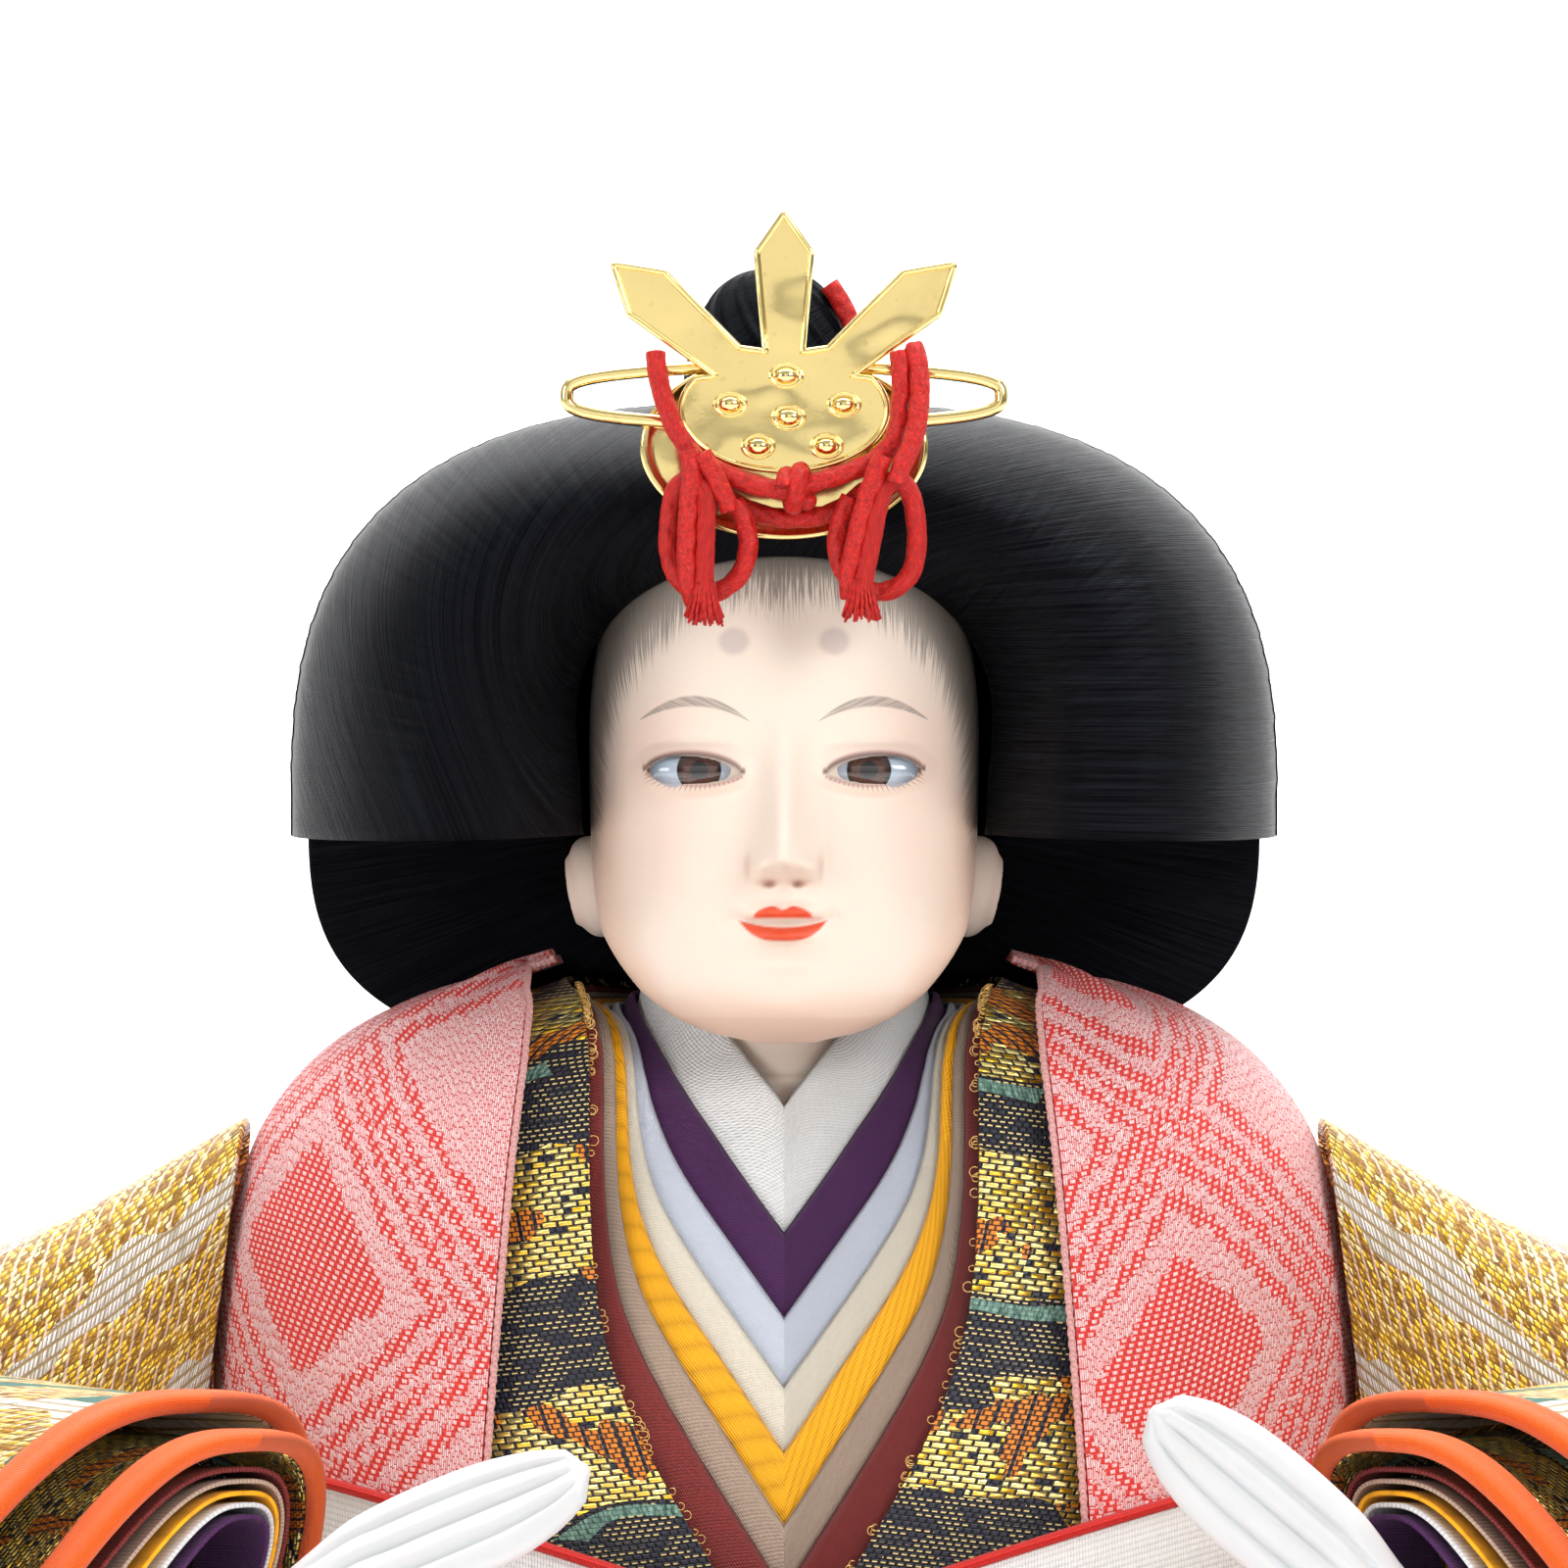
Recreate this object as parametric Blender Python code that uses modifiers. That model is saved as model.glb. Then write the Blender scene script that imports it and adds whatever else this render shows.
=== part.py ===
"""A seated hina doll: an empress in layered court dress, with a plug-in head, combed hair, a
gilt crown tied with red silk cord, and bare hands on a wire.

Units are metres, +Z is up and the doll looks along -Y. The origin is the centre of the foot
print on the floor. Every piece is made round the upright axis of the neck, and hangs on an
empty that stands on that axis.
"""

import math

import bmesh
import bpy
import numpy as np
from mathutils import Vector
from mathutils.bvhtree import BVHTree

# Overall places
NECK_AXIS_X = -0.0017
NECK_AXIS_Y = -0.0243
CLEARANCE = 0.0003
CLOTH = 0.00045
LAYER_GAP = 0.00055
LAYER_PITCH = CLOTH + LAYER_GAP
SMALL_STEP = 0.00001
CUT_OVERRUN = 0.004

# Base board and straw core
BOARD_THICKNESS = 0.003
BOARD_HALF_WIDTH = 0.058
BOARD_FRONT = 0.070
BOARD_BACK = 0.056
BOARD_FLOOR = 0.0012
CORE_RADIUS = 0.0125
CORE_TOP = 0.1555
SOCKET_DEPTH = 0.031

# Neck peg and paper wrap
PEG_RADIUS = 0.0030
PEG_LENGTH = 0.033
PEG_IN_HEAD = 0.008
WRAP_WALL = 0.0012
WRAP_LENGTH = 0.022
RUNNING_CLEARANCE = 0.00015

# Bust under the robes: height of its top edge and waist, then its largest half sizes
BUST_TOP = 0.1678
BUST_WAIST = 0.0975
BUST_HALF_WIDTH = 0.044
BUST_FRONT = 0.030
BUST_BACK = 0.026
BUST_POWER = 2.3
BUST_HEIGHT_SHARES = (1.0, 0.960, 0.925, 0.896, 0.865, 0.825, 0.768, 0.690, 0.562, 0.349, 0.0)
BUST_WIDTH_SHARES = (0.286, 0.305, 0.345, 0.43, 0.585, 0.775, 0.890, 0.950, 0.99, 0.988, 0.932)
BUST_FRONT_SHARES = (0.287, 0.307, 0.333, 0.367, 0.417, 0.493, 0.593, 0.677, 0.777, 0.90, 1.0)
BUST_BACK_SHARES = (0.462, 0.519, 0.577, 0.635, 0.692, 0.75, 0.808, 0.885, 0.942, 0.981, 1.0)
PADDING_FOOT = 0.1055
PADDING_ROWS = 6
PADDING_TOP = 0.1545
PADDING_SLACK = 0.0010

# Lap and skirts below the waist
LAP_TOP = 0.104
LAP_FLOOR = 0.0035
LAP_HALF_WIDTH = 0.071
LAP_FRONT = 0.086
LAP_BACK = 0.070
LAP_POWER = 2.5
LAP_HEIGHT_SHARES = (1.0, 0.92, 0.84, 0.76, 0.66, 0.51, 0.31, 0.11, 0.0)
LAP_WIDTH_SHARES = (0.563, 0.60, 0.68, 0.775, 0.86, 0.915, 0.958, 0.986, 1.0)
LAP_FRONT_SHARES = (0.337, 0.39, 0.52, 0.70, 0.84, 0.92, 0.965, 0.988, 1.0)
LAP_BACK_SHARES = (0.371, 0.42, 0.50, 0.60, 0.71, 0.81, 0.90, 0.97, 1.0)

# Collars, from the neck outwards: height of the front point, and reach at the neck's side
COLLAR_NAMES = ("white", "purple", "ice", "cream", "yellow", "beige", "maroon")
COLLAR_POINT_HEIGHTS = (0.1565, 0.1445, 0.1365, 0.1300, 0.1240, 0.1175, 0.1115)
COLLAR_REACHES = (0.0130, 0.0133, 0.0136, 0.0139, 0.0145, 0.0153, 0.0162)
COLLAR_SLOPES = (0.76, 0.75, 0.73, 0.71, 0.68, 0.65, 0.62)
BODICE_POINT_HEIGHT = 0.1035
BODICE_REACH = 0.0172
BODICE_SLOPE = 0.58
COLLAR_BEND_POWER = 6.0
COLLAR_UNDERLAP = 0.0022
JACKET_CLOTH = 0.0008

# How far each layer on the bust stands off it, after the collars
BODICE_LIFT = CLEARANCE + LAYER_PITCH * len(COLLAR_NAMES) + LAYER_GAP
JACKET_LIFT = BODICE_LIFT + LAYER_PITCH + 2.0 * LAYER_GAP
SASH_LIFT = JACKET_LIFT + JACKET_CLOTH + LAYER_GAP

# Jacket: its front edges and hem
JACKET_OPENING = 0.0195
JACKET_OPENING_GAIN = 0.0055
JACKET_NECK_REACH = 0.0178
ROBE_ROW_SHARES = (0.91, 0.865, 0.80, 0.70, 0.45, 0.05)
EDGE_SNAP = math.radians(1.2)

# Skirt layers, inside outwards, as the angle of their front edges at the floor
HAKAMA_CLOTH = 0.0008
HEM_NAMES = ("white", "yellow", "maroon")
HEM_EDGE_DEGREES = (26.0, 32.5, 39.0)
SKIRT_EDGE_DEGREES = 46.0
EDGE_TOP_DEGREES = 9.0
SKIRT_START = 0.16
SKIRT_ROWS = 5
SKIRT_GAP = 0.0005

# Sash
SASH_WIDTH = 0.011
SASH_CLOTH = 0.0008
SASH_FRONT_TOP = 0.1085
SASH_RISE = 0.38
SASH_BACK_SHARE = 0.6

# Train at the back
TRAIN_CLOTH = 0.0008
TRAIN_END = 0.1385
TRAIN_TOP_HALF_WIDTH = 0.026
TRAIN_END_HALF_WIDTH = 0.080
TRAIN_PLEAT = 0.0016
TRAIN_FLOOR = 0.0006
TRAIN_FLOOR_SHARES = ((0.17, 0.36), (0.40, 0.20), (1.0, 0.0))
TRAIN_PLEATS = 8

# Sleeves: span, forward reach and height of the top edge, then sections along the arm
SLEEVE_SPAN = 0.160
SLEEVE_FORWARD = 0.080
SLEEVE_TOP = 0.1545
SLEEVE_CLOTH = 0.0007
SLEEVE_TOP_SHARES = (
    (0.320, -0.02, 1.0),
    (0.412, 0.02, 0.945),
    (0.527, 0.16, 0.885),
    (0.540, 0.46, 0.868),
    (0.440, 0.74, 0.860),
    (0.345, 0.93, 0.852),
)
SLEEVE_FOOT_SHARES = (
    (0.354, -0.02, 0.745),
    (0.462, 0.03, 0.545),
    (0.660, 0.16, 0.290),
    (0.795, 0.33, 0.095),
    (0.835, 0.50, 0.034),
    (0.760, 0.70, 0.029),
)
SLEEVE_WIDTH_SHARES = (
    (0.0, -0.155, 0.0),
    (0.022, -0.160, 0.0),
    (0.055, -0.130, 0.008),
    (0.085, -0.050, 0.010),
    (0.100, 0.050, 0.006),
    (0.107, 0.148, 0.0),
)
SLEEVE_SQUARENESS = 0.66
HAND_SIDE_SHIFT = 0.0042
CUFF_FORWARD = (-0.55, -0.83, 0.05)
UNDER_SLEEVE_ROWS = 3
UNDER_SLEEVE_INSETS = (0.0085, 0.0032, 0.0040, 0.0032)
UNDER_SLEEVE_OUT = 0.0080
BAND_NAMES = ("maroon", "beige", "yellow", "white", "purple")
BAND_INSETS = (0.0019, 0.00115, 0.0012, 0.00115)
BAND_OUT = 0.0008
ROLL_RADIUS = 0.0010

# Arms and hands
WIRE_RADIUS = 0.0008
ARM_RADIUS = 0.0050
ARMHOLE_RADIUS = (ARM_RADIUS + CLEARANCE) / math.cos(math.pi / 6)
ARM_BELOW_SLEEVE_TOP = 0.0130
ARM_HEIGHT = SLEEVE_TOP - ARM_BELOW_SLEEVE_TOP
ARM_BACK = 0.0082
ARM_LONG_SHARE = 0.60
ARM_WIDE_SHARE = -0.14
ARM_ROOT = 0.019
HAND_HALF_WIDTH = 0.0052
HAND_HALF_THICKNESS = 0.0021
HAND_BORE_DEPTH = 0.007
HAND_LENGTH_SHARES = (0.0, 0.12, 0.25, 0.38, 0.52, 0.66, 0.80, 0.90, 0.97, 1.0)
HAND_WIDTH_SHARES = (0.54, 0.54, 0.56, 0.70, 0.95, 1.02, 0.98, 0.80, 0.52, 0.20)
HAND_THICKNESS_SHARES = (1.30, 1.30, 1.25, 1.2, 1.05, 0.95, 0.88, 0.78, 0.60, 0.28)
HAND_CURL = 0.0026
FINGER_GROOVE = 0.0004

# Wrists stand in the sleeves' mouths, and each hand reaches from there; left of the picture first
WRIST_SPAN_SHARES = (-0.34375, 0.396875)
WRIST_FORWARD_SHARES = (0.98, 0.9625)
WRISTS_BELOW_SLEEVE_TOP = (0.0479, 0.0485)
WRISTS = tuple(
    (SLEEVE_SPAN * out, -SLEEVE_FORWARD * forward, SLEEVE_TOP - below)
    for out, forward, below in zip(WRIST_SPAN_SHARES, WRIST_FORWARD_SHARES, WRISTS_BELOW_SLEEVE_TOP)
)
HAND_REACHES = ((0.0380, -0.0096, 0.0209), (-0.0315, -0.0085, 0.0265))
FINGERTIPS = tuple(
    tuple(place + step for place, step in zip(wrist, reach)) for wrist, reach in zip(WRISTS, HAND_REACHES)
)
HAND_FACINGS = ((0.12, -0.80, 0.62), (-0.38, -0.62, 0.30))

# Head: chin and crown heights, half width, and reach of the face and of the skull
CHIN = 0.1627
CROWN_OF_HEAD = 0.2182
HEAD_HALF_WIDTH = 0.0186
FACE_REACH = 0.0228
SKULL_REACH = 0.0240
HEAD_POWER = 2.25
HEAD_HEIGHT_SHARES = (
    0.0, 0.017, 0.045, 0.085, 0.137, 0.189, 0.25, 0.337, 0.458, 0.58, 0.684, 0.788, 0.875, 0.944, 0.985, 1.0,
)
HEAD_WIDTH_SHARES = (
    0.16, 0.38, 0.56, 0.715, 0.838, 0.925, 0.965, 0.989, 1.0, 0.995, 0.957, 0.86, 0.70, 0.50, 0.27, 0.04,
)
HEAD_FACE_SHARES = (
    0.75, 0.855, 0.921, 0.956, 0.965, 0.965, 0.965, 0.978, 0.991, 1.0, 0.965, 0.855, 0.68, 0.46, 0.22, 0.02,
)
HEAD_SKULL_SHARES = (
    -0.64, -0.58, -0.52, -0.46, -0.34, -0.06, 0.36, 0.78, 0.958, 1.0, 0.98, 0.896, 0.75, 0.54, 0.29, 0.05,
)
NOSE_REACH = 0.0046
NOSE_ABOVE_CHIN = 0.0173
NOSE_HEIGHT = CHIN + NOSE_ABOVE_CHIN
NOSE_HALF_WIDTH = 0.0032
NOSE_RISE = 0.0085
NOSE_DROP = 0.0020
NECK_RADIUS = 0.0086
NECK_FORWARD = 0.0014
NECK_FOOT = 0.1559
NECK_HIDDEN_TOP = 0.180
EAR_ABOVE_CHIN = 0.0145
EAR_HEIGHT = CHIN + EAR_ABOVE_CHIN
EAR_HALF_HEIGHT = 0.0049
EAR_HALF_DEPTH = 0.0040
EAR_HALF_WIDTH = 0.0030
EAR_BACK = 0.0010
EYE_SPACING = 0.0084
EYE_ABOVE_CHIN = 0.0255
EYE_HEIGHT = CHIN + EYE_ABOVE_CHIN
EYE_HALF_WIDTH = 0.0042
EYE_HALF_HEIGHT = 0.0016
EYE_HALF_DEPTH = 0.0019

# Front hair: an arch round the face
HAIR_CENTRE = 0.1850
HAIR_FOOT = 0.1822
WING_HALF_WIDTH = 0.0475
WING_RISE = 0.0388
WING_INNER_HALF_WIDTH = 0.0192
WING_INNER_RISE = 0.0233
WING_POWER = 2.75
WING_CREST = 0.0238
WING_BACK = 0.0060
WING_PROFILE_SHARES = (
    (0.0, 0.0),
    (0.10, 0.42),
    (0.24, 0.84),
    (0.40, 1.0),
    (0.58, 0.95),
    (0.74, 0.76),
    (0.87, 0.46),
    (0.96, 0.12),
    (1.0, -0.28),
)
WING_INNER_DEPTH = 0.0085
HAIR_OFF_SKIN = 0.0008
HAIR_CHORD = 0.0010

# Back hair behind the wings
BACK_HAIR_HALF_WIDTH = 0.0472
BACK_HAIR_RISE = 0.0375
BACK_HAIR_DROP = 0.0258
BACK_HAIR_FOOT = 0.1630
BACK_HAIR_REACH = 0.0372
BACK_HAIR_EDGE = 0.0150
BACK_HAIR_LOWER_POWER = 3.2
NAPE_FEEL = 0.0026
NAPE_GAP = 0.0011

# Topknot and its tie
KNOT_HALF_WIDTH = 0.0083
KNOT_HALF_DEPTH = 0.0075
KNOT_RISE = 0.0130
KNOT_SIDE = -0.0012
KNOT_Y = 0.0040

# Hair tail down the back
TAIL_HALF_WIDTH = 0.0085
TAIL_HALF_THICKNESS = 0.0024
TAIL_GAP = 0.0010
TIE_HALF_HEIGHT = 0.0022
TIE_WALL = 0.0006
TAIL_HEIGHTS = (0.1500, 0.1400, 0.1280, 0.1160)
TAIL_TRAIN_POINTS = 4

# Crown
PLATE_THICKNESS = 0.0006
PLATE_HALF_WIDTH = 0.0096
PLATE_HALF_HEIGHT = 0.0056
PLATE_CENTRE = 0.2217
PLATE_FRONT = 0.0274
PRONG_HALF_WIDTH = 0.00255
PRONG_ROOT_HALF_WIDTH = 0.0017
PRONG_SHOULDER_SHARE = 0.80
PRONG_ROOT_SHARE = 0.97
PRONG_LENGTH = 0.0183
SIDE_PRONG_DEGREES = 49.5
SIDE_PRONG_LENGTH = 0.0209
STUD_RADIUS = 0.0015
STUD_RISE = 0.0008
STUD_FORWARD = 0.0003
STUD_PLACE_SHARES = ((0.02, 0.57), (-0.52, 0.09), (0.58, 0.09), (0.04, -0.12), (-0.25, -0.60), (0.41, -0.60))
COMB_HALF_WIDTH = 0.0134
COMB_HALF_HEIGHT = 0.0086
COMB_BELOW_PLATE_CENTRE = 0.0033
COMB_CENTRE = PLATE_CENTRE - COMB_BELOW_PLATE_CENTRE
COMB_THICKNESS = 0.0008
PIN_WIRE_RADIUS = 0.00062
PIN_HALF_LENGTH = 0.0202
PIN_END_HALF_HEIGHT = 0.0021
PIN_MIDDLE_HALF_HEIGHT = 0.0030
PIN_ABOVE_PLATE_CENTRE = 0.0014
PIN_HEIGHT = PLATE_CENTRE + PIN_ABOVE_PLATE_CENTRE

# Red cords
CORD_RADIUS = 0.00095
CORD_SAMPLES = 32
SELF_GAP_REACH = 7.0

# Sampling of the faceted solids
BUST_SIDES = 24
LAP_SIDES = 24
PADDING_SIDES = 20
HEAD_SIDES = 22
FACE_CROWDING_SHARE = 0.42
SLEEVE_SIDES = 16
SLEEVE_STEPS = 7
WING_STEPS = 18
BACK_HAIR_SPOKES = 24
TURN = 2.0 * math.pi
QUARTER = 0.5 * math.pi

COLOURS = {
    "white_silk": ((0.88, 0.87, 0.84, 1.0), 0.75, 0.0),
    "purple_silk": ((0.06, 0.015, 0.07, 1.0), 0.6, 0.0),
    "ice_silk": ((0.76, 0.79, 0.87, 1.0), 0.7, 0.0),
    "cream_silk": ((0.88, 0.80, 0.66, 1.0), 0.75, 0.0),
    "yellow_silk": ((0.90, 0.48, 0.02, 1.0), 0.6, 0.0),
    "beige_silk": ((0.42, 0.31, 0.23, 1.0), 0.7, 0.0),
    "maroon_silk": ((0.20, 0.035, 0.03, 1.0), 0.6, 0.0),
    "orange_silk": ((0.80, 0.14, 0.01, 1.0), 0.65, 0.0),
    "dark_brocade": ((0.10, 0.08, 0.03, 1.0), 0.5, 0.2),
    "gold_brocade": ((0.60, 0.45, 0.12, 1.0), 0.45, 0.3),
    "rose_brocade": ((0.78, 0.24, 0.22, 1.0), 0.55, 0.0),
    "red_silk": ((0.70, 0.02, 0.015, 1.0), 0.5, 0.0),
    "skin": ((0.88, 0.76, 0.66, 1.0), 0.5, 0.0),
    "hand_white": ((0.86, 0.86, 0.85, 1.0), 0.55, 0.0),
    "black_hair": ((0.006, 0.006, 0.009, 1.0), 0.35, 0.0),
    "gilt": ((0.95, 0.68, 0.25, 1.0), 0.15, 1.0),
    "brown_glass": ((0.10, 0.03, 0.01, 1.0), 0.05, 0.0),
    "wood": ((0.62, 0.46, 0.29, 1.0), 0.7, 0.0),
    "straw": ((0.66, 0.53, 0.28, 1.0), 0.9, 0.0),
    "wadding": ((0.80, 0.78, 0.72, 1.0), 0.95, 0.0),
    "paper": ((0.85, 0.82, 0.74, 1.0), 0.9, 0.0),
    "iron_wire": ((0.30, 0.29, 0.28, 1.0), 0.45, 1.0),
}


# Scene and object helpers
def clear_scene():
    """Removes the objects that a new file starts with."""
    for old in list(bpy.data.objects):
        bpy.data.objects.remove(old)


def make_materials():
    """One Principled material for each finish in the table of colours."""
    made = {}
    for name, (colour, roughness, metallic) in COLOURS.items():
        material = bpy.data.materials.new(name)
        material.use_nodes = True
        shader = material.node_tree.nodes["Principled BSDF"]
        shader.inputs["Base Color"].default_value = colour
        shader.inputs["Roughness"].default_value = roughness
        shader.inputs["Metallic"].default_value = metallic
        made[name] = material
    return made


def make_collections():
    """The doll's own collection, one for its cutters, and the empty on the neck's axis."""
    doll = bpy.data.collections.new("hina_doll")
    cutters = bpy.data.collections.new("cutters")
    for collection in (doll, cutters):
        bpy.context.scene.collection.children.link(collection)
    axis = bpy.data.objects.new("neck_axis", None)
    axis.location = (NECK_AXIS_X, NECK_AXIS_Y, 0.0)
    doll.objects.link(axis)
    return doll, cutters, axis


clear_scene()
MATERIALS = make_materials()
DOLL, CUTTERS, NECK_AXIS = make_collections()


def add_piece(name, data, finish):
    """Links a finished mesh or curve as a named piece, hung on the neck's axis."""
    piece = bpy.data.objects.new(name, data)
    DOLL.objects.link(piece)
    piece.parent = NECK_AXIS
    data.materials.append(MATERIALS[finish])
    return piece


def mesh_from(name, points, faces):
    """A mesh with its doubles merged and its normals facing out."""
    mesh = bpy.data.meshes.new(name)
    mesh.from_pydata([tuple(p) for p in points], [], faces)
    work = bmesh.new()
    work.from_mesh(mesh)
    bmesh.ops.remove_doubles(work, verts=work.verts, dist=SMALL_STEP)
    bmesh.ops.recalc_face_normals(work, faces=work.faces)
    work.to_mesh(mesh)
    work.free()
    return mesh


def grid_faces(rows, columns, closed):
    """Quads of a grid of rows by columns; a closed grid joins its last column to its first."""
    faces = []
    spans = columns if closed else columns - 1
    for r in range(rows - 1):
        for c in range(spans):
            n = (c + 1) % columns
            faces.append((r * columns + c, r * columns + n, (r + 1) * columns + n, (r + 1) * columns + c))
    return faces


def loft(name, sections, finish):
    """A solid through closed sections of equal count, with a flat cap at both ends."""
    rows, columns = len(sections), len(sections[0])
    faces = grid_faces(rows, columns, True)
    faces.append(tuple(range(columns)))
    faces.append(tuple((rows - 1) * columns + c for c in range(columns)))
    points = [p for section in sections for p in section]
    return add_piece(name, mesh_from(name, points, faces), finish)


def sheet(name, rows, finish, thickness, closed, away=None):
    """Cloth through rows of points, with its thickness added on the outside. The outside of an
    open sheet is the side that faces the direction away."""
    points = [p for row in rows for p in row]
    mesh = mesh_from(name, points, grid_faces(len(rows), len(rows[0]), closed))
    if away is not None and sum(f.normal.dot(Vector(away)) * f.area for f in mesh.polygons) < 0:
        mesh.flip_normals()
    piece = add_piece(name, mesh, finish)
    wall = piece.modifiers.new("cloth", "SOLIDIFY")
    wall.thickness = thickness
    wall.offset = 1.0
    return piece


def tube(name, points, radius, finish, sides=1, cyclic=False):
    """A round cord or wire along a list of points."""
    curve = bpy.data.curves.new(name, "CURVE")
    curve.dimensions = "3D"
    curve.bevel_depth = radius
    curve.bevel_resolution = sides
    curve.use_fill_caps = True
    spline = curve.splines.new("POLY")
    spline.points.add(len(points) - 1)
    for target, point in zip(spline.points, points):
        target.co = (*point, 1.0)
    spline.use_cyclic_u = cyclic
    return add_piece(name, curve, finish)


def as_mesh(piece, finish):
    """Turns a curve piece into a mesh piece of the same name and place."""
    bpy.context.view_layer.update()
    graph = bpy.context.evaluated_depsgraph_get()
    mesh = bpy.data.meshes.new_from_object(piece.evaluated_get(graph))
    work = bmesh.new()
    work.from_mesh(mesh)
    bmesh.ops.remove_doubles(work, verts=work.verts, dist=SMALL_STEP)
    work.to_mesh(mesh)
    work.free()
    name = piece.name
    old = piece.data
    bpy.data.objects.remove(piece)
    bpy.data.curves.remove(old)
    mesh.name = name
    mesh.materials.clear()
    return add_piece(name, mesh, finish)


def cylinder(name, radius, low, high, centre, finish, segments=24):
    """An upright cylinder between two heights."""
    mesh = bpy.data.meshes.new(name)
    work = bmesh.new()
    bmesh.ops.create_cone(
        work, cap_ends=True, segments=segments, radius1=radius, radius2=radius, depth=high - low
    )
    work.to_mesh(mesh)
    work.free()
    piece = add_piece(name, mesh, finish)
    piece.location = (centre[0], centre[1], 0.5 * (low + high))
    return piece


def as_cutter(piece):
    """Moves a piece to the cutters and hides it from the render."""
    DOLL.objects.unlink(piece)
    CUTTERS.objects.link(piece)
    piece.hide_render = True
    piece.display_type = "WIRE"
    return piece


def cut(piece, cutter, operation="DIFFERENCE"):
    """Cuts one piece by another, or joins them, with the exact solver."""
    step = piece.modifiers.new(cutter.name, "BOOLEAN")
    step.operation = operation
    step.solver = "EXACT"
    step.object = cutter
    return step


# Curves and sections
def smooth_table(values, at):
    """Catmull-Rom through evenly spaced values; at runs from 0 to 1."""
    values = np.asarray(values, float)
    last = len(values) - 1
    place = min(max(at, 0.0), 1.0) * last
    i = min(int(place), last - 1)
    f = place - i
    a, b, c, d = (values[min(max(k, 0), last)] for k in (i - 1, i, i + 1, i + 2))
    return 0.5 * (2 * b + (c - a) * f + (2 * a - 5 * b + 4 * c - d) * f * f + (3 * b - a - 3 * c + d) * f**3)


def signed_power(value, power):
    """The power of a number's size, with the number's sign."""
    return math.copysign(abs(value) ** power, value)


def ring(angle, half_width, front, back, power):
    """A point of a rounded oval; angle 0 faces the front and grows towards +X."""
    c, s = math.cos(angle), math.sin(angle)
    depth = front if c > 0 else back
    return half_width * signed_power(s, 2 / power), -depth * signed_power(c, 2 / power)


def smooth_route(points, samples):
    """Evenly spaced points of a smooth curve through hand-set points."""
    fine = [smooth_table(points, k / (8.0 * samples)) for k in range(8 * samples + 1)]
    fine = np.array(fine)
    lengths = np.concatenate([[0.0], np.cumsum(np.linalg.norm(np.diff(fine, axis=0), axis=1))])
    places = np.linspace(0.0, lengths[-1], samples)
    return [tuple(np.interp(p, lengths, fine[:, k]) for k in range(3)) for p in places]


class Form:
    """A body form given by ovals at shares of its height, from its top edge down."""

    def __init__(self, top, foot, sizes, shares, power):
        self.top, self.foot, self.power = top, foot, power
        self.sizes, self.shares = sizes, shares

    def height(self, at):
        return self.foot + (self.top - self.foot) * smooth_table(self.shares[0], at)

    def oval(self, at):
        return [size * smooth_table(share, at) for size, share in zip(self.sizes, self.shares[1:])]

    def surface(self, angle, at):
        x, y = ring(angle, *self.oval(at), self.power)
        return np.array((x, y, self.height(at)))

    def point(self, angle, at, lift):
        """A point that stands off the form by lift, along the form's normal."""
        here = self.surface(angle, at)
        step = 0.01
        lower, upper = max(at - step, 0.0), min(at + step, 1.0)
        along = self.surface(angle, lower) - self.surface(angle, upper)
        across = self.surface(angle + step, at) - self.surface(angle - step, at)
        normal = np.cross(across, along)
        return here + normal * (lift / np.linalg.norm(normal))

    def at_height(self, height):
        """The place between the top edge (0) and the foot (1) with this height."""
        low, high = 0.0, 1.0
        for _ in range(40):
            middle = 0.5 * (low + high)
            if self.height(middle) > height:
                low = middle
            else:
                high = middle
        return 0.5 * (low + high)


BUST = Form(
    BUST_TOP,
    BUST_WAIST,
    (BUST_HALF_WIDTH, BUST_FRONT, BUST_BACK),
    (BUST_HEIGHT_SHARES, BUST_WIDTH_SHARES, BUST_FRONT_SHARES, BUST_BACK_SHARES),
    BUST_POWER,
)
LAP = Form(
    LAP_TOP,
    LAP_FLOOR,
    (LAP_HALF_WIDTH, LAP_FRONT, LAP_BACK),
    (LAP_HEIGHT_SHARES, LAP_WIDTH_SHARES, LAP_FRONT_SHARES, LAP_BACK_SHARES),
    LAP_POWER,
)


def collar_edge(angle, point_height, reach, slope):
    """The place on the bust of a collar's edge: straight lines up from its front point that
    bend to stand at the neck's side, then a level ring round the nape."""
    angle = abs(math.remainder(angle, TURN))
    across = min(angle, QUARTER)
    low, high = 0.0, 1.0
    for _ in range(40):
        middle = 0.5 * (low + high)
        rise = slope * max(BUST.height(middle) - point_height, 0.0)
        edge = rise / (1.0 + (rise / reach) ** COLLAR_BEND_POWER) ** (1.0 / COLLAR_BEND_POWER)
        if BUST.surface(across, middle)[0] < edge:
            low = middle
        else:
            high = middle
    return 0.5 * (low + high)


def bust_angles():
    """Angles round the bust, closer together at the front where the collars cross."""
    even = np.linspace(-math.pi, math.pi, BUST_SIDES, endpoint=False)
    return [a - 0.34 * math.sin(a) * math.cos(0.5 * a) for a in even]


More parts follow.
